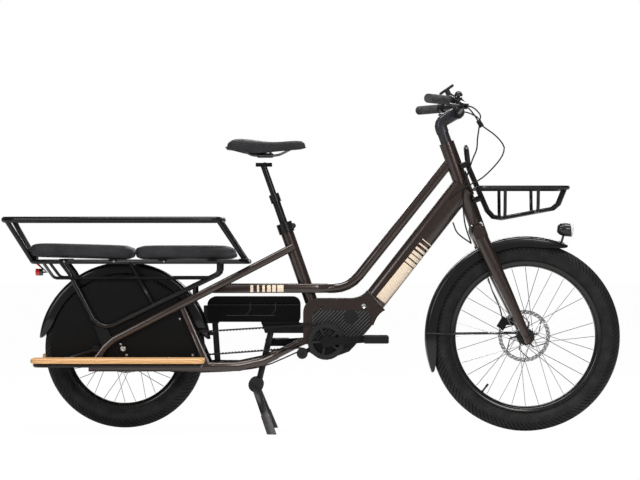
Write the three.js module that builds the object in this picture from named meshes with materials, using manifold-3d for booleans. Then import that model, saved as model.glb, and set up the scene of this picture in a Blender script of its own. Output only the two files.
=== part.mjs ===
// A longtail cargo bike, in millimetres: X forward, Y to the rider's left, Z up, floor at Z = 0.
// It stands on its two-leg stand and its front tyre, so the rear tyre hangs clear of the floor.
// Places are given from the rear axle (X) and from the floor (Z). "right" is the belt side, at -Y.
import * as THREE from "three";
import { mergeVertices } from "three/addons/utils/BufferGeometryUtils.js";
import Module from "manifold-3d";

// Clearances
const GAP = 0.3; // between two pieces that touch
const OVERRUN = 40; // how far a cutting shape runs past what it cuts
const MERGE_TOLERANCE = 0.12; // how flat a face must be for its pieces to be joined
const WELD_LAP = 3; // how deep welded tubes of one piece run into each other
const INSET = 1; // how much smaller a welded cross tube is than the tube that it meets

// Wheels
const WHEELBASE = 1371;
const REAR_AXLE_HEIGHT = 285;
const FRONT_BEAD_RADIUS = 253.5; // 24-inch rim
const REAR_BEAD_RADIUS = 203; // 20-inch rim
const TYRE_HEIGHT = 70.5; // from the bead seat to the tread
const TYRE_WIDTH = 70;
const TYRE_WALL = 5;
const TREAD_FLAT = 18;
const RIM_DEPTH = 14.5;
const RIM_WIDTH = 43;
const RIM_BED_WIDTH = 36;
const RIM_SPINE_WIDTH = 16;
const RIM_FLANGE = 6;
const SPOKE_RADIUS = 1.3;
const FRONT_FLANGE_RADIUS = 29;
const FRONT_FLANGE_Y = 31;
const FRONT_HUB_RADIUS = 17;
const FRONT_HUB_WIDTH = 113.4;
const REAR_FLANGE_RADIUS = 46;
const REAR_FLANGE_Y = 30;
const REAR_HUB_RADIUS = 38;
const REAR_HUB_WIDTH = 134;
const FLANGE_THICKNESS = 5.6;
const HUB_END_RADIUS = 11;
const AXLE_RADIUS = 6;
const AXLE_NUT_RADIUS = 10;
const AXLE_NUT_LENGTH = 6;
const ROTOR_RADIUS = 90;
const ROTOR_TRACK = 13;
const ROTOR_THICKNESS = 2.2;
const ROTOR_ARM_WIDTH = 6;
const ROTOR_HUB_RADIUS = 24;
const FRONT_ROTOR_Y = 43;
const REAR_ROTOR_Y = 50;

// Steering
const FORK_OFFSET = 27; // front axle ahead of the steering axis
const CROWN_RISE = 428; // fork seam above the foot of the axis
const HEAD_LENGTH = 288;
const HEAD_RADIUS = 26;
const HEAD_BORE_RADIUS = 18.5;
const STEERER_RADIUS = 14.3;
const CROWN_HEIGHT = 62;
const CROWN_DEPTH = 50;
const FORK_LEG_Y = 66;
const FORK_LEG_WIDTH = 30;
const FORK_LEG_DEPTH = 47;
const FORK_TIP_WIDTH = 18;
const FORK_TIP_DEPTH = 27;
const FORK_LEG_LEAN = 6; // how far the legs start behind the axis at the crown

// Main frame
const DOWN_TUBE_DEPTH = 80;
const DOWN_TUBE_WIDTH = 62;
const DOWN_TUBE_CORNER = 24;
const DOWN_TUBE_RISE = 553; // where its axis meets the steering axis
const DOWN_TUBE_FOOT_X = 850;
const DOWN_TUBE_FOOT_Z = 441;
const TOP_TUBE_RADIUS = 16.3;
const TOP_TUBE_RISE = 657;
const TOP_TUBE_BEND_X = 768;
const TOP_TUBE_BEND_RADIUS = 112;
const YOKE_X = 712;
const MID_STAY_Z = 489;
const MID_STAY_DEPTH = 31;
const MID_STAY_WIDTH = 18;
const MID_STAY_END_X = 304;
const SEAT_TUBE_RADIUS = 22.35;
const SEAT_TUBE_TOP_X = 543.5;
const SEAT_TUBE_TOP_Z = 712;
const SEAT_TUBE_LENGTH = 285;
const SEAT_CLAMP_RADIUS = 27.5;
const SEAT_CLAMP_HEIGHT = 38;
const UPPER_STAY_DEPTH = 25;
const UPPER_STAY_WIDTH = 24;
const UPPER_STAY_CORNER = 6;
const UPPER_STAY_START_X = 577;
const UPPER_STAY_START_Z = 631;
const UPPER_STAY_FLARE_X = 250;
const UPPER_STAY_FLARE_Z = 462;
const UPPER_STAY_BEND_X = -48;
const UPPER_STAY_BEND_Z = 309;
const UPPER_STAY_END_X = -101;
const STAY_BEND_RADIUS = 90;
const REAR_STAY_Y = 91; // half the distance between the stays beside the wheel
const LOWER_RAIL_Y = 88;
const LOWER_RAIL_Z = 224;
const LOWER_RAIL_DEPTH = 31;
const LOWER_RAIL_WIDTH = 20;
const LOWER_RAIL_REAR_X = -116;
const LOWER_RAIL_FLARE_X = 300;
const LOWER_RAIL_BEND_X = 435;
const LOWER_RAIL_BEND_RADIUS = 400;
const LOWER_RAIL_FRONT_X = 520;
const LOWER_RAIL_FRONT_Y = 38;
const LOWER_RAIL_FRONT_Z = 264;
const LINK_RADIUS = 13;
const LINK_Y = 30;
const LINK_END_Z = 308;
const STRUT_TOP_X = 203;
const STRUT_FOOT_X = 289;
const STRUT_DEPTH = 20;
const STRUT_WIDTH = 18;
const DROPOUT_THICKNESS = 6;
const DROPOUT_INNER_Y = 68;
const DROPOUT_WIDTH = 72;
const DROPOUT_TOP_RADIUS = 22;

// Motor, cradle and drive
const CRANK_X = 688;
const CRANK_Z = 309.5;
const CRADLE_HALF_WIDTH = 45;
const CRADLE_LEFT_X = 610;
const CRADLE_LEG_WIDTH = 33;
const CRADLE_TOP_Z = 455;
const CRADLE_BAND = 40;
const CRADLE_LEG_FOOT_Z = 296;
const CRADLE_RIGHT_X = 838;
const CRADLE_TIP_X = 850;
const CRADLE_TIP_Z = 364;
const CRADLE_CORNER = 48;
const CRADLE_INNER_CORNER = 22;
const MOTOR_BOTTOM_Z = 256;
const MOTOR_COVER_PROUD = 3;
const MOTOR_RIB_PITCH = 9;
const MOTOR_RIB_WIDTH = 3.6;
const MOTOR_RIB_DEPTH = 1.6;
const MOTOR_CAP_RADIUS = 22;
const MOTOR_CAP_X = 773;
const MOTOR_CAP_Z = 392;
const BELT_PITCH = 11;
const BELT_Y = -60;
const BELT_WIDTH = 12;
const BELT_BACK = 2.2; // outside the pitch line
const BELT_WEB = 1; // inside the pitch line
const BELT_TOOTH_HEIGHT = 3.2;
const BELT_TOOTH_WIDTH = 5.6;
const FRONT_TEETH = 34;
const REAR_TEETH = 24;
const SPROCKET_THICKNESS = 9;
const SPROCKET_TOOTH_DEPTH = 3.4;
const GUARD_RADIUS = 63;
const GUARD_THICKNESS = 2.4;
const SPIDER_RIM = 11;
const SPIDER_ARM_WIDTH = 7;
const CRANK_BOSS_RADIUS = 19;
const CRANK_LENGTH = 168.5;
const CRANK_THICKNESS = 14;
const CRANK_ROOT_DEPTH = 32;
const CRANK_TIP_DEPTH = 24;
const CRANK_Y = 86; // middle of the arms' thickness
const SPINDLE_RADIUS = 10;
const PEDAL_LENGTH = 84;
const PEDAL_WIDTH = 92;
const PEDAL_HEIGHT = 26;
const PEDAL_AXLE_RADIUS = 7;
const PEDAL_Y = 148;
const IDLER_X = 607;
const IDLER_Z = 268;
const IDLER_RADIUS = 17;
const IDLER_AXLE_RADIUS = 4;

// Battery and its brackets
const BATTERY_REAR_X = 284;
const BATTERY_FRONT_X = 601;
const BATTERY_BOTTOM_Z = 375;
const BATTERY_TOP_Z = 461;
const BATTERY_HALF_WIDTH = 48;
const BATTERY_CORNER = 27;
const BATTERY_CREASE_Z = 438;
const BATTERY_CREASE = 2.5;
const TRAY_THICKNESS = 5;
const TRAY_HALF_WIDTH = 40;
const TRAY_FRONT_X = 597;
const TRAY_FRONT_LENGTH = 130;
const TRAY_BLOCK_Z = 336;
const TRAY_BLOCK_HALF_WIDTH = 22;
const HOLDER_REAR_X = 271;
const HOLDER_LENGTH = 50;
const HOLDER_RISE = 55;
const BRIDGE_X = 318;
const BRIDGE_RADIUS = 13;
const BRIDGE_Z = 226;
const REAR_POST_WIDTH = 20;
const REAR_POST_TOP_X = 308;

// Stand
const STAND_POST_TOP_X = 500;
const STAND_POST_WIDTH = 21;
const STAND_X = 449;
const STAND_Z = 160;
const STAND_DRUM_RADIUS = 26;
const STAND_BARREL_RADIUS = 19;
const STAND_BARREL_HALF = 23;
const STAND_AXLE_RADIUS = 8;
const STAND_HUB_END = 41;
const STAND_LEG_ROOT_Y = 33;
const STAND_FOOT_X = 515;
const STAND_FOOT_Y = 162;
const STAND_LEG_DEPTH = 26;
const STAND_LEG_WIDTH = 15;
const STAND_SLEEVE_LENGTH = 86;
const STAND_SLEEVE_WALL = 2;

// Rack
const DECK_Z = 580;
const DECK_TUBE_RADIUS = 8;
const DECK_HALF_WIDTH = 87;
const DECK_REAR_X = -309;
const DECK_FRONT_X = 424;
const DECK_CORNER = 30;
const STRAP_WIDTH = 30;
const STRAP_THICKNESS = 5;
const STRAP_TOP_Z = 590;
const STRAP_REAR_X = -201;
const STRAP_STEP = 168;
const LEG_STRAP_X = 408;
const HAND_RAIL_RADIUS = 10;
const HAND_RAIL_Z = 723;
const HAND_RAIL_HALF_WIDTH = 108;
const HAND_RAIL_REAR_X = -405;
const HAND_RAIL_FRONT_X = 332;
const HAND_RAIL_CORNER = 42;
const RAIL_LEG_RADIUS = 9;
const RAIL_LEG_FOOT_Y = 52;
const SIDE_TUBE_RADIUS = 8.5;
const SIDE_TOP_REAR_X = -210;
const SIDE_KINK_X = -180;
const SIDE_KINK_Z = 541;
const SIDE_LOW_X = -78;
const SIDE_LOW_Z = 343;
const SIDE_FRONT_X = 326;
const SIDE_FRONT_Z = 541;
const SIDE_BEND_RADIUS = 50;
const SIDE_FRONT_BEND_RADIUS = 40;
const PANNIER_RADIUS = 5;
const PANNIER_Z = 525;
const PANNIER_REAR_X = -262;
const PANNIER_FRONT_X = 288;
const SIDE_STRUT_TOP_X = 22;
const SIDE_STRUT_FOOT_X = 105;
const COLLAR_RADIUS = 10.8;
const COLLAR_LENGTH = 13;
const GUSSET_THICKNESS = 5;

// Cushions
const CUSHION_LENGTH = 343;
const CUSHION_WIDTH = 200;
const CUSHION_HEIGHT = 44;
const CUSHION_REAR_X = -312.5;
const CUSHION_FRONT_X = 41.5;
const CUSHION_LIFT = 10.5; // the rear cushion's rear end stands higher
const CUSHION_CROWN = 7;
const CUSHION_DRAW_IN = 6;
const CUSHION_CORNER = 34;

// Running boards
const BOARD_REAR_X = -299;
const BOARD_FRONT_X = 281;
const BOARD_INNER_Y = 112;
const BOARD_OUTER_Y = 230;
const BOARD_TOP_Z = 257.5;
const BOARD_THICKNESS = 16;
const BOARD_CORNER = 26;
const BOARD_TUBE_RADIUS = 7;
const BOARD_TUBE_INSET = 13;
const BOARD_STRUT_RADIUS = 5;

// Guards and lights
const MUDGUARD_CLEARANCE = 18; // from the tread to the guard's inside
const MUDGUARD_THICKNESS = 2.5;
const MUDGUARD_HALF_WIDTH = 42;
const MUDGUARD_SIDE = 38;
const PANEL_RADIUS = 247;
const PANEL_THICKNESS = 2.6;
const PANEL_INNER_Y = 74.5;
const PANEL_BOTTOM_Z = 246;
const HEADLIGHT_RADIUS = 23;
const HEADLIGHT_LENGTH = 53;
const HEADLIGHT_FACE_X = 1534;
const HEADLIGHT_FACE_Z = 687;
const HEADLIGHT_BRACKET_RADIUS = 4;
const REAR_LIGHT_RADIUS = 12;
const REAR_LIGHT_LENGTH = 24;
const REAR_LIGHT_X = -306;
const REAR_LIGHT_Z = 544;
const LIGHT_BRACKET_RADIUS = 4;

// Seat
const SEAT_POST_RADIUS = 13.6;
const SEAT_POST_TOP = 78; // its collar's foot above the seat tube's top, along the tube
const SEAT_POST_DEPTH = 150;
const SEAT_BORE_DEPTH = 212;
const COLLAR_RADIUS_SEAT = 17.8;
const COLLAR_HEIGHT_SEAT = 27;
const INNER_POST_RADIUS = 11;
const INNER_POST_SHOWN = 100;
const INNER_POST_DEPTH = 140;
const INNER_BORE_RADIUS = 11.3;
const SADDLE_CLAMP_WIDTH = 46;
const SADDLE_CLAMP_LENGTH = 56;
const SADDLE_CLAMP_HEIGHT = 26;
const SADDLE_RAIL_RADIUS = 3.5;
const SADDLE_RAIL_Y = 22;
const SADDLE_LENGTH = 269;
const SADDLE_REAR_X = 350;
const SADDLE_HALF_WIDTH = 96;
const SADDLE_TOP_Z = 1001;
const SADDLE_SKIRT = 40;

// Cockpit
const STEM_WIDTH = 38;
const STEM_DEPTH = 42;
const STEM_FOOT = 38; // its foot above the head tube, along the axis
const STEM_ELBOW = 788; // its elbow above the foot of the axis
const SPACER_RADIUS = 11.5;
const BAR_X = 1139;
const BAR_Z = 1091.5;
const BAR_RADIUS = 11.1;
const BAR_CENTRE_RADIUS = 15.5;
const BAR_CENTRE_HALF = 55;
const STEM_CLAMP_RADIUS = 23;
const STEM_CLAMP_HALF = 24;
const BAR_RISE_X = 1152;
const BAR_RISE_Y = 140;
const BAR_TIP_X = 1023.6;
const BAR_TIP_Y = 343.2;
const BAR_TIP_Z = 1118;
const BAR_BEND_RADIUS = 60;
const GRIP_RADIUS = 15.6;
const GRIP_LENGTH = 125;
const LEVER_Y = 222;
const LEVER_CLAMP_RADIUS = 16.5;
const LEVER_CLAMP_WIDTH = 16;
const LEVER_REACH = 68;
const LEVER_LENGTH = 108;
const LEVER_DEPTH = 11;
const LEVER_THICKNESS = 8;
const LEVER_PIN_RADIUS = 5;
const LEVER_BODY_WIDTH = 20;
const LEVER_BODY_LENGTH = 40;
const BELL_Y = 172;
const BELL_RADIUS = 14;
const BELL_HEIGHT = 17;
const DISPLAY_WIDTH = 72;
const DISPLAY_LENGTH = 52;
const DISPLAY_THICKNESS = 8;
const DISPLAY_X = 1101;
const DISPLAY_Z = 1169;
const DISPLAY_TILT = 34;

// Basket
const BASKET_TUBE_RADIUS = 7;
const BASKET_STEM_Y = 28;
// Corners of its stem tubes: height along the steering axis and distance ahead of it
const BASKET_ELBOW_RISE = 414;
const BASKET_ELBOW_AHEAD = 54;
const BASKET_NECK_RISE = 612;
const BASKET_NECK_AHEAD = 42;
const BASKET_TOP_RISE = 680;
const BASKET_TOP_AHEAD = 58;
const BASKET_FLOOR_FRONT_X = 1478;
const BASKET_FLOOR_FRONT_Z = 764;
const BASKET_RIM_Z = 831;
const BASKET_RIM_REAR_X = 1204;
const BASKET_RIM_FRONT_X = 1505;
const BASKET_HALF_WIDTH = 138;
const BASKET_CORNER = 26;
const BASKET_STEM_BEND = 45;
const HOOP_XS_SHARES = [0.29, 0.66]; // where its two hoops stand along the rim
const BASKET_CLAMP_LOW = 498;
const BASKET_CLAMP_HIGH = 623;
const BASKET_CLAMP_HEIGHT = 20;
const BASKET_BOSS_WIDTH = 22;

// Brakes and hoses
const CALIPER_LENGTH = 42;
const CALIPER_DEPTH = 26;
const CALIPER_WIDTH = 26;
const CALIPER_SLOT = 5;
const HOSE_RADIUS = 2.5;
const TIE_RADIUS = 8;

// Small parts of the rack
const REST_HALF_WIDTH = 34; // of the block under the rear cushion's end
const COLLAR_SHARES = [0.36, 0.76, 0.27];
const COLLAR_SHIFT = 2; // how far its collars stand out from the middle of the tubes
const GUSSET_WIDTH = 42;
const SEAM_DROP = 9;
const SEAM_PROUD = 1.4;
const CUSHION_SLANT = 20;
const BOARD_ROUND = 3;
const OUTRIGGER_XS = [-72, 222];
const BOARD_STRUT_X = -90;
const BOARD_STRUT_Z = 286;
const BOARD_STRUT_FOOT_X = -235;

// Small parts of the drive
const MOTOR_EDGE = [[787, 295], [767, 274], [729, 260]]; // corners of the motor's lower edge, X and Z
const MOTOR_TIP_INSET = 5;
const MOTOR_ARC_FROM = -60;
const MOTOR_RIBS = 8;
const MOTOR_RIB_LENGTH = 128;
const MOTOR_RIBS_X = 752;
const MOTOR_RIBS_Z = 352;
const SPIDER_ANGLES = [36, 108, 180, 252, 324];
const DRIVER_RADIUS = 20;
const IDLER_ARM_TOP_X = 662;
const IDLER_ARM_TOP_Z = 300;

// Small parts of the wheels
const SPOKES = 32;
const SPOKE_LEAD = 62; // degrees between a spoke's two ends, seen from the side
const ROTOR_ARMS = 6;
const ROTOR_SWEEP = 42;
const ROTOR_SEAT_RADIUS = 16;

// Small parts of the steering
const GRIP_CAP = 4;
const LEVER_DIP = 22; // degrees below level that the levers point
const DISPLAY_NECK = 16;
const GUARD_SHOULDER = 10;
const GUARD_BOSS_RISE = 338;
const GUARD_BOSS_RADIUS = 12;
const FRONT_STAY_ANGLE = 178;
const GUARD_STAY_Y = 47;
const GUARD_STAY_FOOT = 24;
const GUARD_STAY_RADIUS = 2.5;
const LIGHT_FOOT_DEGREES = 4;
const WHEEL_SIDES = 28; // flats round a tyre and its rim

// The saddle from tail to nose: shares of its length, half width, drop and depth
const SADDLE_RING_SHARES = [
  [0.0, 0.55, 0.5, 0.35], [0.03, 0.78, 0.2, 0.75], [0.12, 0.96, 0.0, 1.1], [0.28, 1, 0.05, 1.3],
  [0.42, 0.8, 0.18, 1.15], [0.56, 0.46, 0.24, 0.9], [0.72, 0.29, 0.2, 0.85], [0.88, 0.23, 0.16, 0.8],
  [0.97, 0.2, 0.22, 0.7], [1.0, 0.13, 0.4, 0.35],
];

// Small parts of the brackets, guards and lights
const LATCH_X = 552;
const LATCH_RADIUS = 15;
const RUNG_X = 476;
const RUNG_Z = 246;
const GUARD_FOOT_ANGLE = 10;
const GUARD_FOOT_Z = 334;
const GUARD_HANGER_X = -33;
const PANEL_SCREWS = [[0, 372], [-92, 322], [92, 322]]; // X and Z
const SCREW_RADIUS = 5;
const SCREW_PROUD = 0.6;
const LIGHT_ARM_X = -268;

// Places of the calipers, and the routes of their hoses as points of X, Y and Z
const CALIPER_FRONT_X = 1298;
const CALIPER_FRONT_Z = 368;
const CALIPER_REAR_X = 78;
const CALIPER_REAR_Z = 262;
const HOSE_STEPS = 2;
const FRONT_HOSE = [
  [1296, 52, 386], [1288, 56, 420], [1263, 60, 478], [1245, 60, 530], [1221.5, 57, 585], [1201, 50, 632],
];
const REAR_HOSE = [
  [87, 50, 246], [100, 58, 222], [150, 70, 200], [300, 70, 199], [400, 60, 206], [482, 46, 222], [560, 40, 255],
  [598, 36, 272],
];
const CABLE_ROUTES = [
  [
    [1142.4, -182.6, 1104], [1180, -150, 1100], [1212, -70, 1078], [1217, -4, 1052], [1267, -6, 1013],
    [1294, -14, 980], [1296, -20, 957], [1279, -28, 925], [1238, -44, 881], [1202, -48, 854], [1150, -46, 828],
    [1110, -33.8, 794],
  ],
  [
    [1142.4, 182.6, 1104], [1180, 150, 1100], [1212, 70, 1078], [1214, 2, 1054], [1206, -16, 1000],
    [1202, -32, 963], [1184, -43, 919], [1158, -43, 826], [1160, -38, 720], [1184, -30, 642],
  ],
  [[1108, 0, 1160], [1150, 10, 1132], [1190, 8, 1092], [1216, 0, 1050]],
  [[1122, -12, 715], [1139, -14, 677], [1184, -30, 642]],
];
const TIE_FROM = [1209, 0, 1064];
const TIE_TO = [1223, 0, 1042];

// Angles, in degrees
const HEAD_LEAN = 20;
const SEAT_LEAN = 19.4;
const CRANK_ANGLE = 3.6;
const HEADLIGHT_DIP = 6;
const FRONT_GUARD_FROM = 65;
const FRONT_GUARD_TO = 201;
const REAR_GUARD_FROM = 6;
const REAR_GUARD_TO = 173;

// Colours
const BROWN = 0x3a2a23;
const BLACK = 0x17181a;
const GLOSS_BLACK = 0x0c0d0f;
const RUBBER = 0x232325;
const OAK = 0xd2a36b;
const LEATHER = 0x3c3b3e;
const STEEL = 0x9a9c9e;
const RED = 0xc8231a;

const wasm = await Module();
wasm.setup();

const rad = THREE.MathUtils.degToRad;
const at = (x, y, z) => new THREE.Vector3(x, y, z);
const ALONG_Y = at(0, 1, 0);
const ALONG_Z = at(0, 0, 1);

// A closed geometry as a solid whose faces point outwards
function solid(geometry) {
  const bare = geometry.index ? geometry.toNonIndexed() : geometry.clone();
  bare.deleteAttribute("normal");
  bare.deleteAttribute("uv");
  const merged = mergeVertices(bare, 1e-3);
  const vertProperties = merged.attributes.position.array;
  const corners = new Uint32Array(merged.index.array);
  const made = new wasm.Manifold(new wasm.Mesh({ numProp: 3, vertProperties, triVerts: corners }));
  if (made.volume() > 0) return made;
  const turned = corners.map((v, i) => (i % 3 === 1 ? corners[i + 1] : i % 3 === 2 ? corners[i - 1] : v));
  return new wasm.Manifold(new wasm.Mesh({ numProp: 3, vertProperties, triVerts: turned }));
}

const join = (first, ...others) => others.reduce((sum, other) => sum.add(other), first);
const cut = (body, ...tools) => tools.reduce((rest, tool) => rest.subtract(tool), body);

// The widest of the bodies that a cut has left, so that no chip stays behind
function largest(shape) {
  return shape.decompose().sort((a, b) => b.volume() - a.volume())[0];
}

function geometryOf(shape) {
  const mesh = shape.getMesh();
  const positions = new Float32Array(mesh.numVert * 3);
  for (let i = 0; i < mesh.numVert; i++) {
    positions.set(mesh.vertProperties.subarray(i * mesh.numProp, i * mesh.numProp + 3), i * 3);
  }
  const geometry = new THREE.BufferGeometry();
  geometry.setAttribute("position", new THREE.BufferAttribute(positions, 3));
  geometry.setIndex(new THREE.BufferAttribute(new Uint32Array(mesh.triVerts), 1));
  geometry.computeVertexNormals();
  return geometry;
}

// A path through corners, each rounded by an arc: its rings stand only where the tube needs them
class BentPath extends THREE.Curve {
  constructor(corners, bendRadius = 0, side = null, arcStep = 22.5) {
    super();
    this.side = side;
    this.stops = [corners[0].clone()];
    corners.slice(1, -1).forEach((corner, i) => {
      const before = corners[i].clone().sub(corner).normalize();
      const after = corners[i + 2].clone().sub(corner).normalize();
      const turn = Math.PI - before.angleTo(after);
      const radius = Array.isArray(bendRadius) ? bendRadius[i] : bendRadius;
      if (!radius || turn < 1e-3) {
        this.stops.push(corner.clone());
        return;
      }
      const reach = radius * Math.tan(turn / 2);
      const centre = before.clone().add(after).normalize().multiplyScalar(radius / Math.cos(turn / 2)).add(corner);
      const from = corner.clone().addScaledVector(before, reach).sub(centre);
      const steps = Math.max(1, Math.round(turn / rad(arcStep)));
      const axis = from.clone().cross(corner.clone().addScaledVector(after, reach).sub(centre)).normalize();
      for (let k = 0; k <= steps; k++) {
        this.stops.push(from.clone().applyAxisAngle(axis, (turn * k) / steps).add(centre));
      }
    });
    this.stops.push(corners.at(-1).clone());
    this.steps = this.stops.length - 1;
  }

  getPoint(t) {
    const i = Math.min(Math.floor(t * this.steps), this.steps - 1);
    return this.stops[i].clone().lerp(this.stops[i + 1], t * this.steps - i);
  }

  getSpacedPoints() {
    return this.stops.map((stop) => stop.clone());
  }

  getTangentAt(u) {
    const i = Math.round(u * this.steps);
    const ahead = this.stops[Math.min(i + 1, this.steps)].clone().sub(this.stops[Math.min(i, this.steps - 1)]);
    const behind = this.stops[Math.max(i, 1)].clone().sub(this.stops[Math.max(i - 1, 0)]);
    return ahead.normalize().add(behind.normalize()).normalize();
  }

  computeFrenetFrames(segments, closed) {
    if (!this.side) return super.computeFrenetFrames(segments, closed);
    const tangents = this.stops.map((stop, i) => this.getTangentAt(i / this.steps));
    const normals = tangents.map((t) => this.side.clone().addScaledVector(t, -t.dot(this.side)).normalize());
    const binormals = tangents.map((t, i) => t.clone().cross(normals[i]));
    return { tangents, normals, binormals };
  }
}

function roundShape(radius, sides) {
  const points = [];
  for (let i = 0; i < sides; i++) {
    const angle = ((i + 0.5) * 2 * Math.PI) / sides;
    points.push(new THREE.Vector2(radius * Math.cos(angle), radius * Math.sin(angle)));
  }
  return new THREE.Shape(points);
}

// A rectangle with rounded corners, centred on its own origin
function softShape(width, height, corner, steps = 2) {
  const points = [];
  for (const [sx, sy, start] of [[1, 1, 0], [-1, 1, 90], [-1, -1, 180], [1, -1, 270]]) {
    for (let i = 0; i <= steps; i++) {
      const angle = rad(start + (90 * i) / steps);
      points.push(new THREE.Vector2(
        sx * (width / 2 - corner) + corner * Math.cos(angle),
        sy * (height / 2 - corner) + corner * Math.sin(angle),
      ));
    }
  }
  return new THREE.Shape(points);
}

function sweep(shape, path) {
  return solid(new THREE.ExtrudeGeometry(shape, { extrudePath: path, steps: path.steps }));
}

// How much wider a many-sided tube is at its corners, so that it stands for a round one
const flatFactor = (sides) => (sides < 8 ? 1.05 : 1 / Math.cos(Math.PI / sides));

function tube(corners, radius, bendRadius = 0, side = null, sides = 8, arcStep = 30) {
  return sweep(
    roundShape(radius * flatFactor(sides), sides), new BentPath(corners, bendRadius, side, arcStep),
  );
}

// A rectangular bar whose width lies across the bike
function bar(corners, width, depth, corner, bendRadius = 0) {
  return sweep(softShape(width, depth, corner, 1), new BentPath(corners, bendRadius, ALONG_Y, 30));
}

// A round rod between two points
function rod(from, to, radius, sides = 12, endRadius = radius) {
  const geometry = new THREE.CylinderGeometry(endRadius, radius, from.distanceTo(to), sides);
  const turn = new THREE.Quaternion().setFromUnitVectors(ALONG_Y, to.clone().sub(from).normalize());
  geometry.applyQuaternion(turn);
  const middle = from.clone().add(to).multiplyScalar(0.5);
  return solid(geometry.translate(middle.x, middle.y, middle.z));
}

// A box between two opposite corners
function block(low, high) {
  const size = high.clone().sub(low);
  const geometry = new THREE.BoxGeometry(Math.abs(size.x), Math.abs(size.y), Math.abs(size.z));
  const middle = low.clone().add(high).multiplyScalar(0.5);
  return solid(geometry.translate(middle.x, middle.y, middle.z));
}

// An outline in X and Z, given thickness across the bike between two Y values
function plate(outline, yFrom, yTo, curveSegments = 6) {
  const shape = outline instanceof THREE.Shape ? outline : new THREE.Shape(outline);
  const depth = Math.abs(yTo - yFrom);
  const geometry = new THREE.ExtrudeGeometry(shape, { depth, bevelEnabled: false, curveSegments });
  return solid(geometry.rotateX(Math.PI / 2).translate(0, Math.max(yFrom, yTo), 0));
}

// A profile of radius and Y turned about a line across the bike
function turned(profile, x, z, segments) {
  const points = profile.map(([radius, y]) => new THREE.Vector2(radius, y));
  return solid(new THREE.LatheGeometry(points, segments).translate(x, 0, z));
}

// Rings of points, skinned and closed by a flat or pointed end
function skin(rings) {
  const count = rings[0].length;
  const positions = rings.flat().flatMap((p) => [p.x, p.y, p.z]);
  const corners = [];
  for (let i = 0; i < rings.length - 1; i++) {
    for (let j = 0; j < count; j++) {
      const a = i * count + j;
      const b = i * count + ((j + 1) % count);
      corners.push(a, b, b + count, a, b + count, a + count);
    }
  }
  [0, rings.length - 1].forEach((end) => {
    const ring = rings[end];
    const base = end * count;
    const across = ring[Math.floor(count / 3)].clone().sub(ring[0]);
    const facing = across.clone().cross(ring[Math.floor((2 * count) / 3)].clone().sub(ring[0])).normalize();
    across.normalize();
    const up = facing.clone().cross(across);
    const flat = ring.map((p) => new THREE.Vector2(p.dot(across), p.dot(up)));
    const wound = THREE.ShapeUtils.area(flat) > 0;
    THREE.ShapeUtils.triangulateShape(flat, []).forEach(([a, b, c]) => {
      const face = wound === (end === 0) ? [a, c, b] : [a, b, c];
      corners.push(...face.map((v) => v + base));
    });
  });
  const geometry = new THREE.BufferGeometry();
  geometry.setAttribute("position", new THREE.BufferAttribute(new Float32Array(positions), 3));
  geometry.setIndex(corners);
  return solid(geometry);
}

// A round or soft-cornered ring of points about a centre, in two given directions
function ring(centre, across, up, halfWidth, halfHeight, sides = 10, square = 0.5) {
  const points = [];
  for (let i = 0; i < sides; i++) {
    const angle = ((i + 0.5) * 2 * Math.PI) / sides;
    const c = Math.cos(angle);
    const s = Math.sin(angle);
    const x = Math.sign(c) * Math.abs(c) ** square * halfWidth;
    const y = Math.sign(s) * Math.abs(s) ** square * halfHeight;
    points.push(centre.clone().addScaledVector(across, x).addScaledVector(up, y));
  }
  return points;
}

// Places worked out from the sizes
const FRONT_TYRE_RADIUS = FRONT_BEAD_RADIUS + TYRE_HEIGHT;
const FRONT_AXLE = at(WHEELBASE, 0, FRONT_TYRE_RADIUS);
const REAR_AXLE = at(0, 0, REAR_AXLE_HEIGHT);
const AXIS_UP = at(-Math.sin(rad(HEAD_LEAN)), 0, Math.cos(rad(HEAD_LEAN)));
const AXIS_AHEAD = at(Math.cos(rad(HEAD_LEAN)), 0, Math.sin(rad(HEAD_LEAN)));
const AXIS_FOOT = FRONT_AXLE.clone().addScaledVector(AXIS_AHEAD, -FORK_OFFSET);
const HEAD_TOP = CROWN_RISE + HEAD_LENGTH;
const SEAT_UP = at(-Math.sin(rad(SEAT_LEAN)), 0, Math.cos(rad(SEAT_LEAN)));
const SEAT_TOP = at(SEAT_TUBE_TOP_X, 0, SEAT_TUBE_TOP_Z);
const SIDES = [["right", -1], ["left", 1]];

// A point by its height along the steering axis, its distance ahead of it and its Y
function onAxis(rise, ahead = 0, y = 0) {
  return AXIS_FOOT.clone().addScaledVector(AXIS_UP, rise).addScaledVector(AXIS_AHEAD, ahead).setY(y);
}

// A point by its distance down from the seat tube's top, along the tube
function onSeatTube(down, ahead = 0, y = 0) {
  const forward = at(Math.cos(rad(SEAT_LEAN)), 0, Math.sin(rad(SEAT_LEAN)));
  return SEAT_TOP.clone().addScaledVector(SEAT_UP, -down).addScaledVector(forward, ahead).setY(y);
}

const bike = new THREE.Group();
bike.position.x = -(WHEELBASE + FRONT_TYRE_RADIUS + HAND_RAIL_REAR_X - HAND_RAIL_RADIUS) / 2;

// A named piece of the bike, in its own material
function piece(name, shape, colour, roughness, metalness) {
  const material = new THREE.MeshStandardMaterial({ color: colour, roughness, metalness });
  const once = solid(geometryOf(shape.simplify(MERGE_TOLERANCE)));
  const mesh = new THREE.Mesh(geometryOf(once.simplify(MERGE_TOLERANCE)), material);
  mesh.name = name;
  bike.add(mesh);
}
const painted = (name, shape) => piece(name, shape, BROWN, 0.35, 0.5);
const black = (name, shape) => piece(name, shape, BLACK, 0.45, 0.4);

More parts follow.
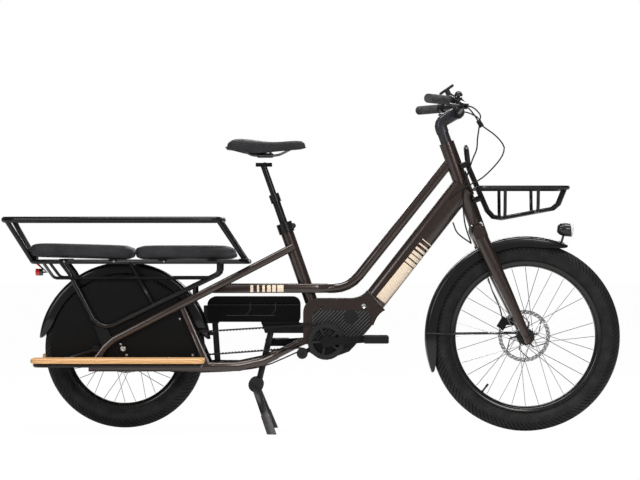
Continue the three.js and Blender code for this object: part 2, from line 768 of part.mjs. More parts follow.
// Frame tubes, each as a blank that its neighbours can also be cut by
function headBlank(extra) {
  return rod(onAxis(CROWN_RISE + GAP), onAxis(HEAD_TOP), HEAD_RADIUS + extra, 20);
}
function seatTubeBlank(extra) {
  return rod(onSeatTube(SEAT_TUBE_LENGTH), onSeatTube(0), SEAT_TUBE_RADIUS + extra, 18);
}
function topTubePath() {
  return [
    onAxis(TOP_TUBE_RISE),
    at(TOP_TUBE_BEND_X, 0, MID_STAY_Z),
    at(YOKE_X - TOP_TUBE_RADIUS, 0, MID_STAY_Z),
  ];
}
function downTubeBlank() {
  const foot = at(DOWN_TUBE_FOOT_X, 0, DOWN_TUBE_FOOT_Z);
  const path = new BentPath([foot, onAxis(DOWN_TUBE_RISE)], 0, ALONG_Y);
  return sweep(softShape(DOWN_TUBE_WIDTH, DOWN_TUBE_DEPTH, DOWN_TUBE_CORNER, 3), path);
}
function upperStayBlank(s, extra) {
  const corners = [
    at(UPPER_STAY_START_X, s * (SEAT_TUBE_RADIUS + GAP + UPPER_STAY_WIDTH / 2), UPPER_STAY_START_Z),
    at(UPPER_STAY_FLARE_X, s * REAR_STAY_Y, UPPER_STAY_FLARE_Z),
    at(UPPER_STAY_BEND_X, s * REAR_STAY_Y, UPPER_STAY_BEND_Z),
    at(UPPER_STAY_END_X, s * REAR_STAY_Y, LOWER_RAIL_Z + LOWER_RAIL_DEPTH / 2),
  ];
  const width = UPPER_STAY_WIDTH + 2 * extra;
  return bar(corners, width, UPPER_STAY_DEPTH + 2 * extra, UPPER_STAY_CORNER, STAY_BEND_RADIUS);
}
function lowerRailBlank(s, extra) {
  const corners = [
    at(LOWER_RAIL_REAR_X, s * LOWER_RAIL_Y, LOWER_RAIL_Z),
    at(LOWER_RAIL_FLARE_X, s * LOWER_RAIL_Y, LOWER_RAIL_Z),
    at(LOWER_RAIL_BEND_X, s * (LOWER_RAIL_Y + LOWER_RAIL_FRONT_Y) / 2, LOWER_RAIL_Z + GAP),
    at(LOWER_RAIL_FRONT_X, s * LOWER_RAIL_FRONT_Y, LOWER_RAIL_FRONT_Z),
  ];
  const bends = [LOWER_RAIL_BEND_RADIUS / 2, LOWER_RAIL_BEND_RADIUS / 2];
  const width = LOWER_RAIL_WIDTH + 2 * extra;
  return bar(corners, width, LOWER_RAIL_DEPTH + 2 * extra, UPPER_STAY_CORNER, bends);
}

function headAndDownTube() {
  const bore = rod(onAxis(CROWN_RISE - OVERRUN), onAxis(HEAD_TOP + OVERRUN), HEAD_BORE_RADIUS, 20);
  const boss = sweep(
    softShape(BASKET_BOSS_WIDTH, BASKET_BOSS_WIDTH, BASKET_CLAMP_HEIGHT / 5, 1),
    new BentPath([
      onAxis(BASKET_CLAMP_LOW + BASKET_CLAMP_HEIGHT, HEAD_RADIUS - BASKET_BOSS_WIDTH / 2 + WELD_LAP),
      onAxis(BASKET_CLAMP_HIGH - BASKET_CLAMP_HEIGHT, HEAD_RADIUS - BASKET_BOSS_WIDTH / 2 + WELD_LAP),
    ], 0, ALONG_Y),
  );
  return largest(cut(join(headBlank(0), downTubeBlank(), boss), bore, cradleBlank(GAP)));
}

function topTubeAndMidStays() {
  const arch = tube(topTubePath(), TOP_TUBE_RADIUS, TOP_TUBE_BEND_RADIUS, ALONG_Y, 10, 13);
  const passY = SEAT_TUBE_RADIUS + GAP + MID_STAY_WIDTH / 2;
  const stays = SIDES.map(([, s]) => bar([
    at(YOKE_X, s * MID_STAY_WIDTH / 3, MID_STAY_Z),
    at(YOKE_X - 3 * MID_STAY_WIDTH, s * passY, MID_STAY_Z),
    at(UPPER_STAY_START_X - 2 * MID_STAY_WIDTH, s * passY, MID_STAY_Z),
    at(MID_STAY_END_X, s * (REAR_STAY_Y - UPPER_STAY_WIDTH), MID_STAY_Z),
  ], MID_STAY_WIDTH, MID_STAY_DEPTH, UPPER_STAY_CORNER / 2, MID_STAY_WIDTH));
  return largest(cut(
    join(arch, ...stays), headBlank(GAP), seatTubeBlank(GAP), upperStayBlank(-1, GAP), upperStayBlank(1, GAP),
  ));
}

// The cast shell over the motor, seen from the side
function cradleOutline(extra) {
  const left = CRADLE_LEFT_X - extra;
  const top = CRADLE_TOP_Z + extra;
  const corner = CRADLE_CORNER + extra;
  const shape = new THREE.Shape();
  shape.moveTo(left, CRADLE_LEG_FOOT_Z - extra);
  shape.lineTo(left, top - corner);
  shape.absarc(left + corner, top - corner, corner, Math.PI, Math.PI / 2, true);
  shape.lineTo(DOWN_TUBE_FOOT_X - DOWN_TUBE_DEPTH, top);
  shape.quadraticCurveTo(
    DOWN_TUBE_FOOT_X - DOWN_TUBE_DEPTH / 2, top,
    DOWN_TUBE_FOOT_X - DOWN_TUBE_DEPTH / 4 + extra, top + DOWN_TUBE_DEPTH / 3,
  );
  shape.lineTo(DOWN_TUBE_FOOT_X + DOWN_TUBE_DEPTH / 2 + extra, CRADLE_TOP_Z - CRADLE_BAND + extra);
  shape.quadraticCurveTo(
    CRADLE_TIP_X + CRADLE_BAND / 3, CRADLE_TIP_Z + CRADLE_BAND, CRADLE_TIP_X + extra, CRADLE_TIP_Z - extra,
  );
  shape.lineTo(CRADLE_RIGHT_X, CRADLE_TIP_Z - extra);
  return shape;
}
function motorRoomOutline(shrink) {
  const left = CRADLE_LEFT_X + CRADLE_LEG_WIDTH + shrink;
  const right = CRADLE_RIGHT_X - shrink;
  const top = CRADLE_TOP_Z - CRADLE_BAND - shrink;
  const corner = CRADLE_INNER_CORNER - shrink;
  const shape = new THREE.Shape();
  shape.moveTo(left, CRADLE_LEG_FOOT_Z - OVERRUN);
  shape.lineTo(left, top - corner);
  shape.absarc(left + corner, top - corner, corner, Math.PI, Math.PI / 2, true);
  shape.lineTo(right - corner, top);
  shape.absarc(right - corner, top - corner, corner, Math.PI / 2, 0, true);
  shape.lineTo(right, CRADLE_TIP_Z - OVERRUN / 4);
  return shape;
}
function cradleBlank(extra) {
  return plate(cradleOutline(extra), -CRADLE_HALF_WIDTH - extra, CRADLE_HALF_WIDTH + extra, 5);
}
function cradleAndSeatTube() {
  const room = plate(motorRoomOutline(0), -CRADLE_HALF_WIDTH - OVERRUN, CRADLE_HALF_WIDTH + OVERRUN, 4);
  const openLeft = at(
    CRADLE_LEFT_X + CRADLE_LEG_WIDTH, -CRADLE_HALF_WIDTH - OVERRUN, CRADLE_LEG_FOOT_Z - OVERRUN,
  );
  const below = block(
    openLeft, at(CRADLE_TIP_X + OVERRUN, CRADLE_HALF_WIDTH + OVERRUN, CRADLE_TIP_Z - 2 * GAP),
  );
  const bore = rod(onSeatTube(SEAT_BORE_DEPTH), onSeatTube(-OVERRUN), SEAT_POST_RADIUS + GAP, 16);
  return largest(cut(join(cradleBlank(0), seatTubeBlank(0)), room, below, bore));
}

function dropoutOutline() {
  const wide = DROPOUT_WIDTH / 2;
  const foot = LOWER_RAIL_Z - LOWER_RAIL_DEPTH / 4;
  const shape = new THREE.Shape();
  shape.moveTo(-wide, foot);
  shape.lineTo(wide, foot);
  shape.lineTo(DROPOUT_TOP_RADIUS, REAR_AXLE_HEIGHT);
  shape.absarc(0, REAR_AXLE_HEIGHT, DROPOUT_TOP_RADIUS, 0, Math.PI, false);
  return shape;
}
function axleHole(radius) {
  return rod(at(0, -OVERRUN * 3, REAR_AXLE_HEIGHT), at(0, OVERRUN * 3, REAR_AXLE_HEIGHT), radius, 12);
}
function lowerRail(s) {
  const padOuter = LOWER_RAIL_Y - LOWER_RAIL_WIDTH / 2 + WELD_LAP;
  const dropout = plate(
    dropoutOutline(), s * DROPOUT_INNER_Y, s * (DROPOUT_INNER_Y + DROPOUT_THICKNESS), 6,
  );
  const pad = block(
    at(-DROPOUT_WIDTH / 2, s * DROPOUT_INNER_Y, LOWER_RAIL_Z - LOWER_RAIL_DEPTH / 4),
    at(DROPOUT_WIDTH / 2, s * padOuter, LOWER_RAIL_Z + LOWER_RAIL_DEPTH / 3),
  );
  const link = rod(
    at(LOWER_RAIL_FRONT_X - WELD_LAP, s * LOWER_RAIL_FRONT_Y, LOWER_RAIL_FRONT_Z - WELD_LAP),
    at(CRADLE_LEFT_X - GAP, s * LINK_Y, LINK_END_Z), LINK_RADIUS, 12,
  );
  const strut = bar([
    at(STRUT_TOP_X, s * LOWER_RAIL_Y, UPPER_STAY_FLARE_Z - DOWN_TUBE_DEPTH / 2),
    at(STRUT_FOOT_X, s * LOWER_RAIL_Y, LOWER_RAIL_Z),
  ], STRUT_WIDTH, STRUT_DEPTH, UPPER_STAY_CORNER / 2);
  const bodies = join(lowerRailBlank(s, 0), dropout, pad, link, strut);
  const rail = largest(cut(bodies, upperStayBlank(s, GAP), cradleBlank(GAP), axleHole(AXLE_RADIUS + GAP)));
  return s > 0 ? join(rail, rearAxle()) : rail;
}
// The rear wheel's axle is screwed into the left dropout and held by the hole in the right one
function rearAxle() {
  const dropoutFace = DROPOUT_INNER_Y + DROPOUT_THICKNESS;
  const shank = rod(
    at(
      0, -dropoutFace - SCREW_PROUD, REAR_AXLE_HEIGHT,
    ), at(0, dropoutFace, REAR_AXLE_HEIGHT), AXLE_RADIUS, 8,
  );
  const collar = rod(
    at(
      0, DROPOUT_INNER_Y, REAR_AXLE_HEIGHT,
    ), at(0, dropoutFace, REAR_AXLE_HEIGHT), AXLE_RADIUS + WELD_LAP, 12,
  );
  return join(shank, collar);
}

painted("head_and_down_tube", headAndDownTube());
painted("top_tube_and_mid_stays", topTubeAndMidStays());
painted("motor_cradle_and_seat_tube", cradleAndSeatTube());
for (const [side, s] of SIDES) {
  painted("upper_stay_" + side, cut(upperStayBlank(s, 0), seatTubeBlank(GAP)));
  painted("lower_rail_" + side, lowerRail(s));
}

// A closed tube through a ring of corners, made of two open halves that meet end to end
function loopTube(corners, radius, bendRadius, side, sides = 8, arcStep = 45) {
  const half = corners.length / 2;
  const start = corners[0].clone().lerp(corners.at(-1), 0.5);
  const middle = corners[half - 1].clone().lerp(corners[half], 0.5);
  return join(
    tube([start, ...corners.slice(0, half), middle], radius, bendRadius, side, sides, arcStep),
    tube([middle, ...corners.slice(half), start], radius, bendRadius, side, sides, arcStep),
  );
}
function flatLoop(xRear, xFront, yNear, yFar, z, radius, corner, sides = 8) {
  return loopTube([
    at(xRear, yFar, z), at(xFront, yFar, z), at(xFront, yNear, z), at(xRear, yNear, z),
  ], radius, corner, ALONG_Z, sides);
}

// The rear cushion's underside leans back from its front strap
const CUSHION_TILT = CUSHION_LIFT / CUSHION_LENGTH;
const PIVOT_STRAP_X = STRAP_REAR_X + STRAP_STEP + STRAP_WIDTH / 2;
function cushionFloor(x) {
  return STRAP_TOP_Z + GAP + (PIVOT_STRAP_X - x) * CUSHION_TILT;
}

const STRAP_XS = [STRAP_REAR_X, STRAP_REAR_X + STRAP_STEP, STRAP_REAR_X + 2 * STRAP_STEP,
  STRAP_REAR_X + 3 * STRAP_STEP, LEG_STRAP_X];
function deckBlank(extra) {
  const loop = flatLoop(
    DECK_REAR_X, DECK_FRONT_X, -DECK_HALF_WIDTH, DECK_HALF_WIDTH, DECK_Z, DECK_TUBE_RADIUS + extra, DECK_CORNER, 6,
  );
  const reach = DECK_HALF_WIDTH + DECK_TUBE_RADIUS + extra;
  const straps = STRAP_XS.map((x) => block(
    at(x - STRAP_WIDTH / 2 - extra, -reach, STRAP_TOP_Z - STRAP_THICKNESS - extra),
    at(x + STRAP_WIDTH / 2 + extra, reach, STRAP_TOP_Z + extra),
  ));
  return join(loop, ...straps);
}
function rackDeck() {
  const rear = DECK_REAR_X - DECK_TUBE_RADIUS / 2;
  const front = DECK_REAR_X + DECK_TUBE_RADIUS;
  const rest = plate([
    new THREE.Vector2(rear, DECK_Z),
    new THREE.Vector2(front, DECK_Z),
    new THREE.Vector2(front, cushionFloor(front) - GAP),
    new THREE.Vector2(rear, cushionFloor(rear) - GAP),
  ], -REST_HALF_WIDTH, REST_HALF_WIDTH);
  return join(deckBlank(0), rest);
}
function handRail() {
  const wide = HAND_RAIL_HALF_WIDTH;
  const loop = flatLoop(
    HAND_RAIL_REAR_X, HAND_RAIL_FRONT_X, -wide, wide, HAND_RAIL_Z, HAND_RAIL_RADIUS, HAND_RAIL_CORNER,
  );
  const legs = SIDES.flatMap(([, s]) => [
    rod(
      at(HAND_RAIL_REAR_X + HAND_RAIL_RADIUS, s * (wide - HAND_RAIL_CORNER / 3), HAND_RAIL_Z),
      at(DECK_REAR_X, s * RAIL_LEG_FOOT_Y, DECK_Z), RAIL_LEG_RADIUS, 8,
    ),
    rod(
      at(HAND_RAIL_FRONT_X - HAND_RAIL_RADIUS, s * (wide - HAND_RAIL_CORNER / 3), HAND_RAIL_Z),
      at(LEG_STRAP_X + RAIL_LEG_RADIUS, s * RAIL_LEG_FOOT_Y, DECK_Z), RAIL_LEG_RADIUS, 8,
    ),
  ]);
  return largest(cut(join(loop, ...legs), deckBlank(GAP)));
}

// One side of the rack below its deck: the V-shaped tube, its strut, the pannier rail and the collars
function rackSide(s) {
  const y = s * DECK_HALF_WIDTH;
  const railY = s * (DECK_HALF_WIDTH + SIDE_TUBE_RADIUS + PANNIER_RADIUS - WELD_LAP);
  const low = at(SIDE_LOW_X, y, SIDE_LOW_Z);
  const kink = at(SIDE_KINK_X, y, SIDE_KINK_Z);
  const front = at(SIDE_FRONT_X, y, SIDE_FRONT_Z);
  const strutFoot = low.clone().lerp(front, (SIDE_STRUT_FOOT_X - SIDE_LOW_X) / (SIDE_FRONT_X - SIDE_LOW_X));
  const main = tube([
    at(SIDE_TOP_REAR_X, y, DECK_Z), kink, low, front, at(SIDE_FRONT_X, y, DECK_Z),
  ], SIDE_TUBE_RADIUS, [SIDE_FRONT_BEND_RADIUS, SIDE_BEND_RADIUS, SIDE_FRONT_BEND_RADIUS / 2], ALONG_Y);
  const strut = tube([
    at(SIDE_STRUT_TOP_X, y, DECK_Z), at(SIDE_STRUT_TOP_X + STRAP_WIDTH, y, PANNIER_Z), strutFoot,
  ], SIDE_TUBE_RADIUS - STRAP_THICKNESS / 5, SIDE_FRONT_BEND_RADIUS, ALONG_Y, 6);
  const rail = tube([
    at(PANNIER_REAR_X - PANNIER_RADIUS * 2, y, DECK_Z), at(PANNIER_REAR_X + STRAP_WIDTH, railY, PANNIER_Z),
    at(PANNIER_FRONT_X, railY, PANNIER_Z),
  ], PANNIER_RADIUS, SIDE_FRONT_BEND_RADIUS / 2, ALONG_Y, 6);
  const collars = [
    [kink, low, COLLAR_SHARES[0]], [kink, low, COLLAR_SHARES[1]], [low, front, COLLAR_SHARES[2]],
  ]
    .map(([a, b, share]) => {
      const middle = a.clone().lerp(b, share).add(at(0, s * COLLAR_SHIFT, 0));
      const along = b.clone().sub(a).normalize().multiplyScalar(COLLAR_LENGTH / 2);
      return rod(middle.clone().sub(along), middle.clone().add(along), COLLAR_RADIUS, 8);
    });
  const gusset = plate([
    new THREE.Vector2(SIDE_LOW_X - GUSSET_WIDTH / 2, SIDE_LOW_Z + GUSSET_WIDTH / 2),
    new THREE.Vector2(UPPER_STAY_BEND_X - GUSSET_WIDTH / 2, UPPER_STAY_BEND_Z - GUSSET_WIDTH / 2),
    new THREE.Vector2(UPPER_STAY_BEND_X + GUSSET_WIDTH / 4, UPPER_STAY_BEND_Z + GUSSET_WIDTH / 4),
    new THREE.Vector2(SIDE_LOW_X + GUSSET_WIDTH / 2, SIDE_LOW_Z + GUSSET_WIDTH / 2),
  ], y - GUSSET_THICKNESS / 2, y + GUSSET_THICKNESS / 2);
  const footX = UPPER_STAY_FLARE_X - SIDE_TUBE_RADIUS;
  const foot = rod(
    at(footX, y, UPPER_STAY_FLARE_Z), at(footX, y, PANNIER_Z - SIDE_TUBE_RADIUS * 2), PANNIER_RADIUS + INSET, 6,
  );
  const shape = join(main, strut, rail, ...collars, gusset, foot);
  return largest(cut(shape, deckBlank(GAP), upperStayBlank(s, GAP)));
}

// A padded seat: rings of its plan from the underside to the top of its crown
function cushion(xRear, slant) {
  const halfLength = CUSHION_LENGTH / 2;
  const halfWidth = CUSHION_WIDTH / 2;
  const top = CUSHION_HEIGHT - CUSHION_CROWN;
  const levels = [
    [CUSHION_DRAW_IN, 0], [CUSHION_DRAW_IN / 2, CUSHION_DRAW_IN / 3], [CUSHION_DRAW_IN / 3, top / 3],
    [0, top - SEAM_DROP], [-SEAM_PROUD, top - SEAM_DROP + SEAM_PROUD],
    [0, top - SEAM_DROP + 2 * SEAM_PROUD], [CUSHION_DRAW_IN / 2, top], [
      CUSHION_CORNER / 2, top + CUSHION_CROWN / 2,
    ],
    [CUSHION_CORNER, top + CUSHION_CROWN * 0.8], [halfWidth * 0.65, top + CUSHION_CROWN * 0.96],
    [halfWidth * 0.93, top + CUSHION_CROWN],
  ];
  const rings = levels.map(([inset, rise]) => {
    const corner = Math.max(CUSHION_CORNER - Math.max(inset, 0), CUSHION_CROWN);
    const points = [];
    for (const [sx, sy, start] of [[1, 1, 0], [-1, 1, 90], [-1, -1, 180], [1, -1, 270]]) {
      for (let i = 0; i <= 3; i++) {
        const angle = rad(start + 30 * i);
        const flat = Math.min(corner, halfWidth - inset);
        points.push(at(
          sx * (halfLength - inset - flat) + flat * Math.cos(angle),
          sy * (halfWidth - inset - flat) + flat * Math.sin(angle), rise,
        ));
      }
      if (sy * sx > 0) points.push(at(0, sy * (halfWidth - inset), rise));
    }
    return points;
  });
  return rings.map((points) => points.map((p) => {
    const lean = slant * (p.z / CUSHION_HEIGHT) * Math.max(0, p.x / halfLength);
    return at(xRear + halfLength + p.x - lean, p.y, p.z);
  }));
}
function rearCushion() {
  const rings = cushion(CUSHION_REAR_X, 0);
  return skin(rings.map((points) => points.map((p) => at(p.x, p.y, p.z + cushionFloor(p.x)))));
}
function frontCushion() {
  const rings = cushion(CUSHION_FRONT_X, CUSHION_SLANT);
  return skin(rings.map((points) => points.map((p) => at(p.x, p.y, p.z + STRAP_TOP_Z + GAP))));
}

// The running boards and the tube frames that carry them
const BOARD_TUBE_REACH = BOARD_TUBE_RADIUS * flatFactor(6) * Math.cos(Math.PI / 6);
const BOARD_TUBE_Z = BOARD_TOP_Z - BOARD_THICKNESS - GAP - BOARD_TUBE_REACH;
function runningBoard(s) {
  const shape = softShape(BOARD_FRONT_X - BOARD_REAR_X, BOARD_OUTER_Y - BOARD_INNER_Y, BOARD_CORNER, 4);
  const geometry = new THREE.ExtrudeGeometry(shape, {
    depth: BOARD_THICKNESS - 2 * BOARD_ROUND, bevelThickness: BOARD_ROUND, bevelSize: BOARD_ROUND,
    bevelOffset: -BOARD_ROUND, bevelSegments: 1,
  });
  return solid(geometry.translate(
    (BOARD_FRONT_X + BOARD_REAR_X) / 2, s * (BOARD_OUTER_Y + BOARD_INNER_Y) / 2,
    BOARD_TOP_Z - BOARD_THICKNESS + BOARD_ROUND,
  ));
}
function boardFrame(s) {
  const near = s * (BOARD_INNER_Y + BOARD_TUBE_INSET);
  const far = s * (BOARD_OUTER_Y - BOARD_TUBE_INSET);
  const xRear = BOARD_REAR_X + BOARD_TUBE_INSET;
  const xFront = BOARD_FRONT_X - BOARD_TUBE_INSET;
  const loop = flatLoop(
    xRear, xFront, Math.min(near, far), Math.max(near, far), BOARD_TUBE_Z, BOARD_TUBE_RADIUS, BOARD_CORNER, 6,
  );
  const outriggers = OUTRIGGER_XS.map((x) => rod(
    at(x, s * LOWER_RAIL_Y, BOARD_TUBE_Z), at(x, far, BOARD_TUBE_Z), BOARD_TUBE_RADIUS - INSET, 6,
  ));
  const strutY = s * (BOARD_INNER_Y - BOARD_STRUT_RADIUS * 1.5);
  const strut = tube([
    at(BOARD_STRUT_X, strutY, BOARD_STRUT_Z), at(BOARD_STRUT_FOOT_X, strutY, BOARD_TUBE_Z),
    at(BOARD_STRUT_FOOT_X - INSET, near, BOARD_TUBE_Z),
  ], BOARD_STRUT_RADIUS, 0, ALONG_Z, 6);
  const lug = block(
    at(BOARD_STRUT_X - STRAP_WIDTH / 3, s * REAR_STAY_Y, BOARD_STRUT_Z - STRAP_WIDTH / 3),
    at(BOARD_STRUT_X + STRAP_WIDTH / 3, strutY, BOARD_STRUT_Z + STRAP_WIDTH / 3),
  );
  return largest(cut(
    join(loop, ...outriggers, strut, lug), lowerRailBlank(s, GAP), upperStayBlank(s, GAP),
  ));
}

black("rack_deck", rackDeck());
black("hand_rail", handRail());
piece("cushion_front", frontCushion(), LEATHER, 0.8, 0);
piece("cushion_rear", rearCushion(), LEATHER, 0.8, 0);
for (const [side, s] of SIDES) {
  black("rack_side_" + side, rackSide(s));
  black("board_frame_" + side, boardFrame(s));
  piece("running_board_" + side, runningBoard(s), OAK, 0.55, 0);
}


// The motor, whose lower edge runs round the crank
function motorBlank(extra) {
  const round = CRANK_Z - MOTOR_BOTTOM_Z + extra;
  const right = CRADLE_RIGHT_X - GAP;
  const left = CRADLE_LEFT_X + CRADLE_LEG_WIDTH + GAP;
  const top = CRADLE_TOP_Z - CRADLE_BAND - GAP;
  const corner = CRADLE_INNER_CORNER - GAP;
  const drop = CRADLE_LEG_FOOT_Z - GAP - CRANK_Z;
  const shape = new THREE.Shape();
  shape.moveTo(left, CRADLE_LEG_FOOT_Z - GAP);
  shape.lineTo(left, top - corner);
  shape.absarc(left + corner, top - corner, corner, Math.PI, Math.PI / 2, true);
  shape.lineTo(right - corner, top);
  shape.absarc(right - corner, top - corner, corner, Math.PI / 2, 0, true);
  shape.lineTo(right, CRADLE_TIP_Z - 3 * GAP);
  shape.lineTo(CRADLE_TIP_X - MOTOR_TIP_INSET + extra, CRADLE_TIP_Z - 3 * GAP - extra);
  for (const [x, z] of MOTOR_EDGE) shape.lineTo(x + extra, z - extra);
  shape.absarc(CRANK_X, CRANK_Z, round, rad(MOTOR_ARC_FROM), Math.PI + Math.asin(-drop / round), true);
  return plate(shape, -CRADLE_HALF_WIDTH - MOTOR_COVER_PROUD, CRADLE_HALF_WIDTH, 8);
}
function motor() {
  const face = -CRADLE_HALF_WIDTH - MOTOR_COVER_PROUD;
  const grooves = [];
  for (let i = 0; i < MOTOR_RIBS; i++) {
    const geometry = new THREE.BoxGeometry(MOTOR_RIB_WIDTH, 2 * MOTOR_RIB_DEPTH, MOTOR_RIB_LENGTH);
    geometry.translate((i - MOTOR_RIBS / 2) * MOTOR_RIB_PITCH, face, 0).rotateY(-Math.PI / 4);
    grooves.push(solid(geometry.translate(MOTOR_RIBS_X, 0, MOTOR_RIBS_Z)));
  }
  const rim = rod(
    at(CRANK_X, face, CRANK_Z), at(CRANK_X, 0, CRANK_Z), CRANK_Z - MOTOR_BOTTOM_Z - MOTOR_RIB_PITCH, 24,
  );
  const cap = rod(
    at(MOTOR_CAP_X, face, MOTOR_CAP_Z), at(MOTOR_CAP_X, 0, MOTOR_CAP_Z), MOTOR_CAP_RADIUS, 20,
  );
  const hole = rod(
    at(CRANK_X, -OVERRUN * 2, CRANK_Z), at(CRANK_X, OVERRUN * 2, CRANK_Z), SPINDLE_RADIUS + 3 * GAP, 12,
  );
  return largest(cut(join(cut(motorBlank(0), ...grooves), rim, cap), hole, cradleLegBlank(GAP)));
}
function cradleLegBlank(extra) {
  return block(
    at(CRADLE_LEFT_X - extra, -CRADLE_HALF_WIDTH - OVERRUN, CRADLE_LEG_FOOT_Z - extra),
    at(CRADLE_LEFT_X + CRADLE_LEG_WIDTH, CRADLE_HALF_WIDTH + OVERRUN, CRADLE_TOP_Z - CRADLE_BAND),
  );
}

// The toothed belt: its wheels in the order that it meets them, with the side each one lies on
const FRONT_PITCH_RADIUS = (FRONT_TEETH * BELT_PITCH) / (2 * Math.PI);
const REAR_PITCH_RADIUS = (REAR_TEETH * BELT_PITCH) / (2 * Math.PI);
const IDLER_REACH = IDLER_RADIUS + GAP + BELT_BACK;
const BELT_WHEELS = [
  [0, REAR_AXLE_HEIGHT, REAR_PITCH_RADIUS],
  [IDLER_X, IDLER_Z, -IDLER_REACH],
  [CRANK_X, CRANK_Z, FRONT_PITCH_RADIUS],
];
function beltRuns() {
  return BELT_WHEELS.map(([x, z, radius], i) => {
    const [nextX, nextZ, nextRadius] = BELT_WHEELS[(i + 1) % BELT_WHEELS.length];
    const length = Math.hypot(nextX - x, nextZ - z);
    const heading = Math.atan2(nextZ - z, nextX - x) - Math.asin((nextRadius - radius) / length);
    const inward = new THREE.Vector2(-Math.sin(heading), Math.cos(heading));
    return {
      heading, inward,
      from: new THREE.Vector2(x, z).addScaledVector(inward, -radius),
      to: new THREE.Vector2(nextX, nextZ).addScaledVector(inward, -nextRadius),
    };
  });
}
function beltOutline(inset, toothHeight) {
  const runs = beltRuns();
  const points = [];
  runs.forEach((run, i) => {
    const [x, z, radius] = BELT_WHEELS[i];
    const before = runs[(i + runs.length - 1) % runs.length];
    const turn = THREE.MathUtils.euclideanModulo(
      Math.sign(radius) * (run.heading - before.heading), 2 * Math.PI,
    ) * Math.sign(radius);
    const steps = Math.max(2, Math.round(Math.abs(turn) / rad(12)));
    for (let k = 0; k <= steps; k++) {
      const angle = before.heading + (turn * k) / steps;
      const inward = new THREE.Vector2(-Math.sin(angle), Math.cos(angle));
      points.push(new THREE.Vector2(x, z).addScaledVector(inward, inset - radius));
    }
    if (!toothHeight) return;
    const along = run.to.clone().sub(run.from).normalize();
    const length = run.from.distanceTo(run.to);
    const teeth = Math.floor(length / BELT_PITCH) - 3;
    for (let k = 0; k < teeth; k++) {
      const middle = (length - (teeth - 1) * BELT_PITCH) / 2 + k * BELT_PITCH;
      for (const [share, rise] of [[-0.5, 0], [-0.2, 1], [0.2, 1]]) {
        points.push(run.from.clone().addScaledVector(along, middle + share * BELT_PITCH)
          .addScaledVector(run.inward, inset + rise * toothHeight));
      }
    }
  });
  return points;
}
function belt() {
  const shape = new THREE.Shape(beltOutline(-BELT_BACK, 0));
  shape.holes.push(new THREE.Path(beltOutline(BELT_WEB, BELT_TOOTH_HEIGHT)));
  return plate(shape, BELT_Y - BELT_WIDTH / 2, BELT_Y + BELT_WIDTH / 2);
}

function circlePath(radius) {
  const path = new THREE.Path();
  path.absarc(0, 0, radius, 0, 2 * Math.PI, true);
  return path;
}
function annulus(outer, inner, yFrom, yTo) {
  const shape = new THREE.Shape();
  shape.absarc(0, 0, outer, 0, 2 * Math.PI, false);
  shape.holes.push(circlePath(inner));
  return plate(shape, yFrom, yTo, 12);
}
function toothedDisc(teeth, pitchRadius, thickness, holeRadius) {
  const tip = pitchRadius - BELT_WEB - 3 * GAP;
  const points = [];
  for (let i = 0; i < teeth; i++) {
    for (const [share, deep] of [[-0.5, 1], [-0.22, 0], [0.22, 0]]) {
      const angle = ((i + share) * 2 * Math.PI) / teeth;
      const radius = tip - deep * SPROCKET_TOOTH_DEPTH;
      points.push(new THREE.Vector2(radius * Math.cos(angle), radius * Math.sin(angle)));
    }
  }
  const shape = new THREE.Shape(points);
  shape.holes.push(circlePath(holeRadius));
  return plate(shape, BELT_Y - thickness / 2, BELT_Y + thickness / 2, 8);
}
function frontSprocket() {
  const inner = FRONT_PITCH_RADIUS - SPROCKET_TOOTH_DEPTH - SPIDER_RIM;
  const disc = toothedDisc(FRONT_TEETH, FRONT_PITCH_RADIUS, SPROCKET_THICKNESS, inner);
  const outerFace = BELT_Y - SPROCKET_THICKNESS / 2;
  const guardFace = BELT_Y - BELT_WIDTH / 2 - GAP;
  const spacer = annulus(inner + SPIDER_RIM * 0.7, inner + WELD_LAP, outerFace + GAP, guardFace - GAP);
  const guard = annulus(GUARD_RADIUS, inner + WELD_LAP / 2, guardFace, guardFace - GUARD_THICKNESS);
  const armRoot = BELT_Y + SPROCKET_THICKNESS / 2;
  const armFace = -CRANK_Y + CRANK_THICKNESS / 2 + GAP;
  const arms = SPIDER_ANGLES.map((angle) => solid(
    new THREE.BoxGeometry(inner + WELD_LAP, armRoot - armFace - SPROCKET_THICKNESS / 2, SPIDER_ARM_WIDTH)
      .translate((inner + WELD_LAP) / 2, (armRoot + armFace) / 2, 0).rotateY(-rad(angle)),
  ));
  const hub = rod(at(0, armRoot, 0), at(0, armFace, 0), CRANK_BOSS_RADIUS, 16);
  const hole = rod(at(0, -OVERRUN * 3, 0), at(0, 0, 0), SPINDLE_RADIUS + 2 * GAP, 12);
  const made = cut(join(disc, spacer, guard, ...arms, hub), hole);
  return made.rotate([0, -CRANK_ANGLE, 0]).translate([CRANK_X, 0, CRANK_Z]);
}
function rearSprocket() {
  const disc = toothedDisc(REAR_TEETH, REAR_PITCH_RADIUS, SPROCKET_THICKNESS, DRIVER_RADIUS + 2 * GAP);
  const lobes = [];
  for (let i = 0; i < 5; i++) {
    const angle = ((i + 0.5) * 2 * Math.PI) / 5;
    const reach = (REAR_PITCH_RADIUS + DRIVER_RADIUS) / 2 - BELT_WEB;
    const centre = at(reach * Math.cos(angle), 0, reach * Math.sin(angle));
    lobes.push(rod(centre.clone().setY(-OVERRUN * 3), centre, BELT_TOOTH_WIDTH, 8));
  }
  return cut(disc, ...lobes).translate([0, 0, REAR_AXLE_HEIGHT]);
}
